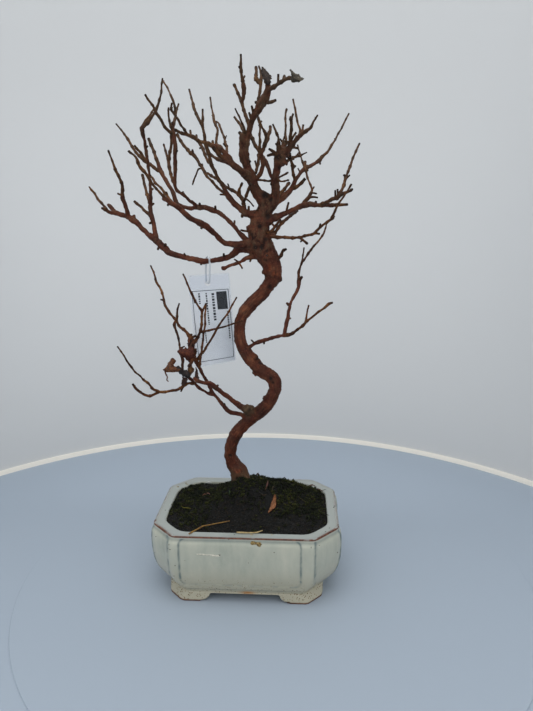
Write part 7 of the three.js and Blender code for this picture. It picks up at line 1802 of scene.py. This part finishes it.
def plainMaterial(name, colour, roughness, grain, contrast=0.06):
    # A plain moulded or printed surface with a faint even grain
    material, nodes, shader, coords = startMaterial(name)
    grains = addNode(nodes, "ShaderNodeTexNoise", {
        "Vector": coords, "Scale": patternScale(grain), "Detail": 4})
    shade = addNode(nodes, "ShaderNodeMapRange", {0: grains.outputs[0], "To Min": 1 - contrast,
                                                  "To Max": 1 + contrast})
    tone = addNode(nodes, "ShaderNodeMix", {0: 1.0, 6: hexColour(colour), 7: shade.outputs[0]},
                   data_type="RGBA", blend_type="MULTIPLY")
    nodes.links.new(tone.outputs[2], shader.inputs["Base Color"])
    shader.inputs["Roughness"].default_value = roughness
    bump = addNode(nodes, "ShaderNodeBump", {
        "Height": grains.outputs[0], "Strength": 0.2, "Distance": 0.1 * mm})
    nodes.links.new(bump.outputs[0], shader.inputs["Normal"])
    return material


def makeSleeve():
    width, height = label["sleeve"]
    film, weld = label["film"], label["weld"]
    gap = label["cardThickness"] / 2 + 0.15
    outline = roundBox(-width / 2, -height / 2, width, height, label["sleeveCorner"])
    seam = roundBox(-width / 2 + weld - 0.5, -height / 2 + weld - 0.5,
                    width - 2 * weld + 1, height - 2 * weld + 1, 1.0)
    inner = roundBox(-width / 2 + weld, -height / 2 + weld, width - 2 * weld, height - 2 * weld, 0.8)
    # Front and back films with a rounded pillow edge, joined to a flat welded seam all round
    count = len(outline)
    rows = [(inner, -gap - film), (seam, -film), (outline, -film), (outline, film), (seam, film),
            (inner, gap + film)]
    points = [(u, w, v) for line, w in rows for u, v in line]
    faces = [(k * count + i, (k + 1) * count + i, (k + 1) * count + (i + 1) % count,
        k * count + (i + 1) % count)
             for k in range(len(rows) - 1) for i in range(count)]
    faces += [tuple(range(count)), tuple(5 * count + i for i in range(count))[::-1]]
    sleeve = meshPiece("label_sleeve_film", points, faces)
    for cutter in (labelSlab(inner, -gap, gap), labelSlab(circle(*label["hole"]), -3, 3)):
        cutWith(sleeve, meshPiece("cutter", *cutter), "DIFFERENCE")
    sleeve.data.materials.clear()
    sleeve.data.materials.append(clearVinyl())
    turnWithLabel(sleeve)
    ride(sleeve, "clear_vinyl", "label_sleeve")


def makeCard():
    width, low, high = label["card"]
    front = -label["cardThickness"] / 2
    card = meshPiece("label_card_printed", *labelSlab(roundBox(-width / 2, low, width, high - low, 1.2),
                                                      front, -front),
                     plainMaterial("whiteCard", "#fdfdfb", 0.6, 3))
    line, inked = label["borderLine"], (front - label["ink"], front)
    lines = [labelSlab(box(u, v, wide, tall), *inked) for u, v, wide, tall in (
        (-17.2, -38.5, 34.4, line), (-17.2, 27.6, 34.4, line),
        (-17.2, -38.5, line, 66.1), (17.2 - line, -38.5, line, 66.1))]
    pick = random.Random(7)
    u0, v0, u1, v1 = label["block"]
    blocks = [labelSlab(box(u0, v0, u1 - u0, v1 - v0), *inked)]
    for u, v, end, wide, dash in label["rows"]:
        while v < end:
            reach = dash * pick.uniform(0.6, 1.5)
            blocks.append(labelSlab(box(u - wide / 2, v, wide, min(reach, end - v)), *inked))
            v += reach + dash * 0.45
    turnWithLabel(card)
    ride(card, "card", "label_card")
    for name, parts, ink in (("lines", lines, "#454b56"), ("rows", blocks, "#15171c")):
        piece = meshPiece("label_print_" + name, *joinParts(parts), plainMaterial(name + "Ink", ink, 0.5, 2))
        turnWithLabel(piece)
        ride(piece, "card")


def makeTie():
    # A flat translucent band: through the sleeve's hole, round the branch and back
    low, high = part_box("label_tie")
    bottom, top = low.z / mm, high.z / mm
    hole = onLabel(label["hole"][0], 0, label["hole"][1])
    solidMiddle = (np.array(low + high) / 2 - potMiddle) / mm
    across = np.array([-0.5, math.cos(math.radians(30)), 0])
    lean = np.array([(solidMiddle - hole)[0], 0, 0])
    points = []
    for step in range(56):
        angle = 2 * math.pi * step / 56
        wide = 5.0 * math.copysign(abs(math.cos(angle)) ** 0.5, math.cos(angle))
        share = (1 + math.copysign(abs(math.sin(angle)) ** 0.86, math.sin(angle))) / 2
        points.append(hole + lean * 2 * share + across * wide * 1.0
                      + np.array([0, 0, bottom + 1.1 + (top - bottom - 2.2) * share - hole[2]]))
    skin, faces = bandAround(np.array(points), 0.95, 0.34)
    band = meshPiece("label_tie_band", inFrame(skin), faces, tiePlastic())
    ride(band, "tie_plastic", "label_tie")


def bandAround(points, halfWidth, halfThickness):
    # A closed band with rounded edges; its flat side faces away from the loop's middle
    middle = points.mean(0)
    along = np.roll(points, -1, axis=0) - np.roll(points, 1, axis=0)
    along /= np.linalg.norm(along, axis=1, keepdims=True)
    axis = np.cross(points[0] - middle, points[len(points) // 4] - middle)
    axis /= np.linalg.norm(axis)
    out = np.cross(along, axis)
    section = [(math.cos(a) * halfWidth, math.sin(a) * halfThickness) for a in
               np.linspace(0, 2 * math.pi, 13)[:-1]]
    rings = [p + u * axis + v * o for p, o in zip(points, out) for u, v in section]
    return np.array(rings), ringFaces(len(section), len(points), closed=True)


def tiePlastic():
    # Soft nylon, white and half see-through
    material, nodes, shader, coords = startMaterial("whiteNylon")
    shader.inputs["Base Color"].default_value = hexColour("#dfe5ea")
    shader.inputs["Roughness"].default_value = 0.3
    shader.inputs["Alpha"].default_value = 0.6
    shader.inputs["Subsurface Weight"].default_value = 0.3
    shader.inputs["Subsurface Radius"].default_value = (0.004, 0.004, 0.004)
    flow = addNode(nodes, "ShaderNodeTexNoise", {"Vector": coords, "Scale": patternScale(4), "Detail": 2})
    bump = addNode(nodes, "ShaderNodeBump", {
        "Height": flow.outputs[0], "Strength": 0.25, "Distance": 0.2 * mm})
    nodes.links.new(bump.outputs[0], shader.inputs["Normal"])
    return material


makeSleeve()
makeCard()
makeTie()

# Litter: a bent twig and a straw on the rim, a fallen leaf and scraps on the soil
litter = {
    "twig": ([(-48.5, -53.4, 0), (-39.6, -41.2, -0.3), (-38, -39.6, -0.2), (-36, -38.8, -0.2),
        (-15, -30.2, 0)], 0.72),
    "straw": ([(-6.4, -50.6, 0), (10, -50.2, 0), (16.4, -46.6, 3)], 0.72),
    "fallenRows": [(25.6, 79.2, 0.3), (25.5, 75.9, 1.3), (24.6, 71.8, 2.2), (24.1, 67.8, 2.6),
        (23.1, 65.1, 2.4),
                   (20.9, 62.4, 1.2), (19.1, 60, 0.3)],
    "leafLift": 1.3,
    # Scraps: colour, half width and the points [x, y, height over the soil] of each
    "scraps": [
        ("#8d6250", 0.45, [(-48.3, 15.8, 1.0), (-46.2, 18.2, 1.9), (-44.3, 18.0, 1.2)]),
        ("#a3786a", 0.5, [(-44.5, 19.6, 1.5), (-41.3, 15.8, 3.0), (-39.5, 13.6, 1.0)]),
        ("#77702a", 0.5, [(-64.7, -8.4, 1.8), (-61.6, -10.8, 2.2), (-58.5, -9.6, 1.9), (-54.9, -8.4, 1.4)]),
        ("#a39a22", 0.6, [(-39.6, 49.2, 1.2), (-37.4, 49.6, 1.8), (-35.2, 49.6, 1.2)]),
        ("#1f3416", 0.6, [(-18.7, -2.6, 1.2), (-18.4, 0.2, 2.0), (-19.4, 4.2, 1.5)]),
        ("#4c2a20", 0.9, [(15.7, 6.2, 1.0), (17.2, 12.0, 2.6), (17.9, 20.6, 2.5)]),
        ("#57502c", 0.3, [(47.3, 12.0, 1.8), (51.0, 8.2, 2.2), (55.2, 6.0, 1.2)]),
        ("#4a3d24", 0.35, [(24.4, 14.6, 2.0), (22.7, 10.8, 2.3), (22.3, 6.8, 1.0)]),
        ("#4f3422", 0.8, [(3.2, 34.0, -1.4), (6.4, 34.0, 3.4), (7.4, 34.0, 4.4)]),
        ("#3a2a1e", 0.9, [(9.0, 34.0, -0.6), (7.6, 34.0, 2.2), (6.6, 34.2, 4.2)]),
        ("#2a2119", 0.9, [(26.0, 38.0, 0.2), (31.0, 38.0, 3.4), (34.4, 38.0, 6.0)]),
        ("#221b15", 0.9, [(36.2, 38.0, 0.4), (35.4, 38.0, 3.4), (34.2, 38.2, 5.6)]),
        ("#1d1813", 0.8, [(41.4, 36.0, 0.6), (42.6, 36.0, 3.2), (43.4, 36.0, 4.9)]),
        ("#c3c7c6", 1.1, [(-50.6, 48.0, 0.8), (-47.2, 48.4, 1.3), (-43.4, 48.2, 0.9)]),
        ("#8e9492", 0.8, [(-31.0, 48.2, 0.8), (-28.8, 48.4, 1.4), (-25.7, 48.2, 0.9)]),
        ("#5a4030", 0.5, [(57.1, 38.0, 1.0), (60.9, 39.0, 3.4), (63.2, 38.0, 4.8)]),
        ("#6b4c38", 0.5, [(59.0, 36.0, 1.6), (63.0, 36.0, 3.8), (67.0, 34.0, 3.6)]),
        ("#5d3f2d", 0.6, [(66.7, 30.0, 2.8), (69.9, 29.0, 3.6), (73.2, 27.0, 3.0)]),
        ("#4a2c22", 0.7, [(10.9, 36.0, 0.6), (14.4, 37.0, 2.7), (19.3, 37.0, 1.6)]),
    ],
}


def stalkMaterial(name, dark, pale):
    # Dry straw: fine lengthwise fibres in tan to ochre
    material, nodes, shader, coords = startMaterial(name)
    fibres = addNode(nodes, "ShaderNodeTexNoise", {
        "Vector": coords, "Scale": patternScale(2.2), "Detail": 5, "Roughness": 0.7})
    colour = addNode(nodes, "ShaderNodeValToRGB", {0: fibres.outputs[0]}, stops=[(0.35, dark), (0.65, pale)])
    nodes.links.new(colour.outputs[0], shader.inputs["Base Color"])
    shader.inputs["Roughness"].default_value = 0.6
    bump = addNode(nodes, "ShaderNodeBump", {
        "Height": fibres.outputs[0], "Strength": 0.6, "Distance": 0.2 * mm})
    nodes.links.new(bump.outputs[0], shader.inputs["Normal"])
    return material


def makeStalks():
    for node, dark, pale in (("litter_twig", "#5a3c18", "#94702a"), ("litter_straw", "#8a744a", "#bda878")):
        line, radius = litter[node.split("_")[1]]
        low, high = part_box(node)
        onRim = pot["height"]
        points = [(x, y, onRim + over + radius + 0.3 if over < 1 else
                   float(soilTop(x, y)) + over + radius + 0.3) for x, y, over in line]
        smooth, radii = smoothRun(points, np.linspace(radius, radius * 0.65, len(points)), 1.0)
        knobs = 1 + 0.16 * np.array([noise.noise(Vector((k * 0.35, radius, 2))) for k in range(len(radii))])
        skin, faces = tubeAround(smooth, radii * knobs, 10)
        piece = meshPiece(node + "_dry", inFrame(skin), faces, stalkMaterial(node, dark, pale))
        places = vertexPlaces(piece.data)
        shift = np.array(low + high) / 2 - (places.min(0) + places.max(0)) / 2
        setPlaces(piece.data, places + shift)
        ride(piece, "dry_stalk", node)


def onSoil(x, z):
    for y in np.arange(-58, 58, 0.25):
        p = alongSight(x, z, y)
        if p[2] <= groundTop(p[0], y) + litter["leafLift"]:
            return p
    return p


def makeFallenLeaf():
    ribs = np.array([(*onSoil(x, z)[:2], half) for x, z, half in litter["fallenRows"]])
    at = np.linspace(0, len(ribs) - 1, leafShape["rows"])
    x, y, half = (np.interp(at, range(len(ribs)), ribs[:, k]) for k in range(3))
    grid = []
    for cx, cy, reach in zip(x, y, half):
        across = np.linspace(-1, 1, leafShape["columns"])
        px = cx + across * reach
        grid.append(np.column_stack([px, np.full(len(px), cy),
                                     groundTop(cx, cy) + litter["leafLift"] + 1.1 * across ** 2]))
    shape = {**leafShape, "wrinkle": 0.3, "thickness": 0.3}
    piece = leafSheet(
        np.array(grid), 9.5, dryLeafMaterial("dryFallenLeaf", ["#472a1b", "#80502f", "#a97f5c"]),
                      "litter_leaf_dry", shape=shape)
    ride(piece, "dead_leaf_orange", "litter_leaf")


def makeScraps():
    for index, (colour, half, line) in enumerate(litter["scraps"]):
        points, _ = smoothRun([(x, y, float(groundTop(x, y)) + over) for x, y, over in line],
                              [half] * len(line), 0.5)
        taper = half * np.sin(np.linspace(0.25, math.pi - 0.25, len(points)))
        _, side, up = ringFrames(points)
        section = [(math.cos(a), 0.4 * math.sin(a)) for a in np.linspace(0, 2 * math.pi, 9)[:-1]]
        rings = [p + w * (u * s + v * o) for p, w, s, o in zip(points, taper, side, up) for u, v in section]
        piece = meshPiece(f"scrap_{index}", inFrame(rings), ringFaces(len(section), len(points)),
                          plainMaterial(f"driedScrap{index}", colour, 0.7, 1.2, 0.3))
        ride(piece, None)


def blackenMeshes():
    # The drain meshes keep their solids and take a black plastic finish
    plastic = plainMaterial("blackPolythene", "#15171a", 0.45, 1.5)
    for side in ("left", "right"):
        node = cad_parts["drain_mesh_" + side]
        node.data.materials.clear()
        node.data.materials.append(plastic)


makeStalks()
makeFallenLeaf()
makeScraps()
blackenMeshes()
# Floor, backdrop and light
room = {
    "turntable": (25.3, -0.6, 243.2),
    "turntableEdge": 1.2,
    "wallCircle": (-2.0, -154.0, 495.0),
    "wallHeight": 2.2,
    "skirting": 6.0,
    "floorColour": "#9fabb8",
    "wallColour": "#cfd1d2",
    "skirtingColour": "#e3e0d8",
    "worldColour": "#ffffff",
    "worldStrength": 0.9,
    # Each lamp: place, aim, size and power. One lies overhead, one lights the wall from behind the pot.
    "lamps": {"window": ((-0.12, -0.1, 2.3), (0.0, 0.05, 0.15), (2.2, 1.8), 30.0),
              "backdrop": ((0.0, 0.1, 0.28), (0.0, 0.4, 0.26), (0.5, 0.4), 0.2)},
}


def matteSurface(name, colour):
    # A painted floor board and wall: matte, even, and clear from behind so that it hides nothing
    material, tree, shader, coords = startMaterial(name)
    shader.inputs["Base Color"].default_value = hexColour(colour)
    shader.inputs["Roughness"].default_value = 0.75
    shader.inputs["Specular IOR Level"].default_value = 0.25
    behind = addNode(tree, "ShaderNodeNewGeometry").outputs["Backfacing"]
    clear = addNode(tree, "ShaderNodeBsdfTransparent")
    addNode(tree, "ShaderNodeMixShader", {0: behind, 1: shader.outputs[0], 2: clear.outputs[0]}, name="Sides")
    tree.links.new(tree.nodes["Sides"].outputs[0], tree.nodes["Material Output"].inputs["Surface"])
    return material


def bend(name, radius, low, high, thick, colour):
    # A band that stands round the back half of the floor
    x, y, _ = room["wallCircle"]
    points = []
    for angle in np.linspace(0, math.pi, 97):
        for reach, z in ((radius, low), (radius, high), (radius + thick, high)):
            points.append((x + reach * math.cos(angle), y + reach * math.sin(angle), z))
    faces = [(3 * k + i, 3 * k + 1 + i, 3 * k + 4 + i, 3 * k + 3 + i) for k in range(96) for i in (0, 1)]
    return meshPiece(name, inFrame(points), faces, matteSurface(name + "Paint", colour))


def makeRoom():
    x, y, radius = room["turntable"]
    edge = -room["turntableEdge"]
    turn = np.linspace(0, 2 * math.pi, 193)[:-1]
    rim = [(x + reach * math.cos(a), y + reach * math.sin(a), z)
           for reach, z in ((radius, edge - 1), (radius, edge / 3), (radius + edge / 3, 0)) for a in turn]
    count = len(turn)
    faces = [(k * count + i, k * count + (i + 1) % count, (k + 1) * count + (i + 1) % count,
        (k + 1) * count + i)
             for k in (0, 1) for i in range(count)] + [tuple(2 * count + i for i in range(count))]
    far = 3000
    rim += [(-far, -far, edge), (far, -far, edge), (far, far, edge), (-far, far, edge)]
    faces.append(tuple(range(3 * count, 3 * count + 4)))
    floorPiece = meshPiece("floor", inFrame(rim), faces, matteSurface("floorPaint", room["floorColour"]))
    floorPiece.data.shade_flat()
    wallRadius = room["wallCircle"][2]
    wall = bend("wall", wallRadius + 1, -5, room["wallHeight"] * 1000, 1, room["wallColour"])
    skirting = bend("skirting", wallRadius - 2, -5, room["skirting"] + edge, 3, room["skirtingColour"])
    for name, (place, aim, size, power) in room["lamps"].items():
        lamp = bpy.data.lights.new(name, "AREA")
        lamp.shape = "RECTANGLE"
        lamp.size, lamp.size_y = size
        lamp.energy = power
        panel = bpy.data.objects.new(name, lamp)
        aimed = (Vector(aim) - Vector(place)).to_track_quat("-Z", "Y").to_matrix().to_4x4()
        panel.matrix_world = Matrix.Translation(place) @ aimed
        panel.visible_camera = False
        bpy.context.scene.collection.objects.link(panel)
    world = bpy.data.worlds.new("room")
    world.use_nodes = True
    sky = world.node_tree.nodes["Background"]
    sky.inputs["Color"].default_value = hexColour(room["worldColour"])
    sky.inputs["Strength"].default_value = room["worldStrength"]
    bpy.context.scene.world = world


makeRoom()
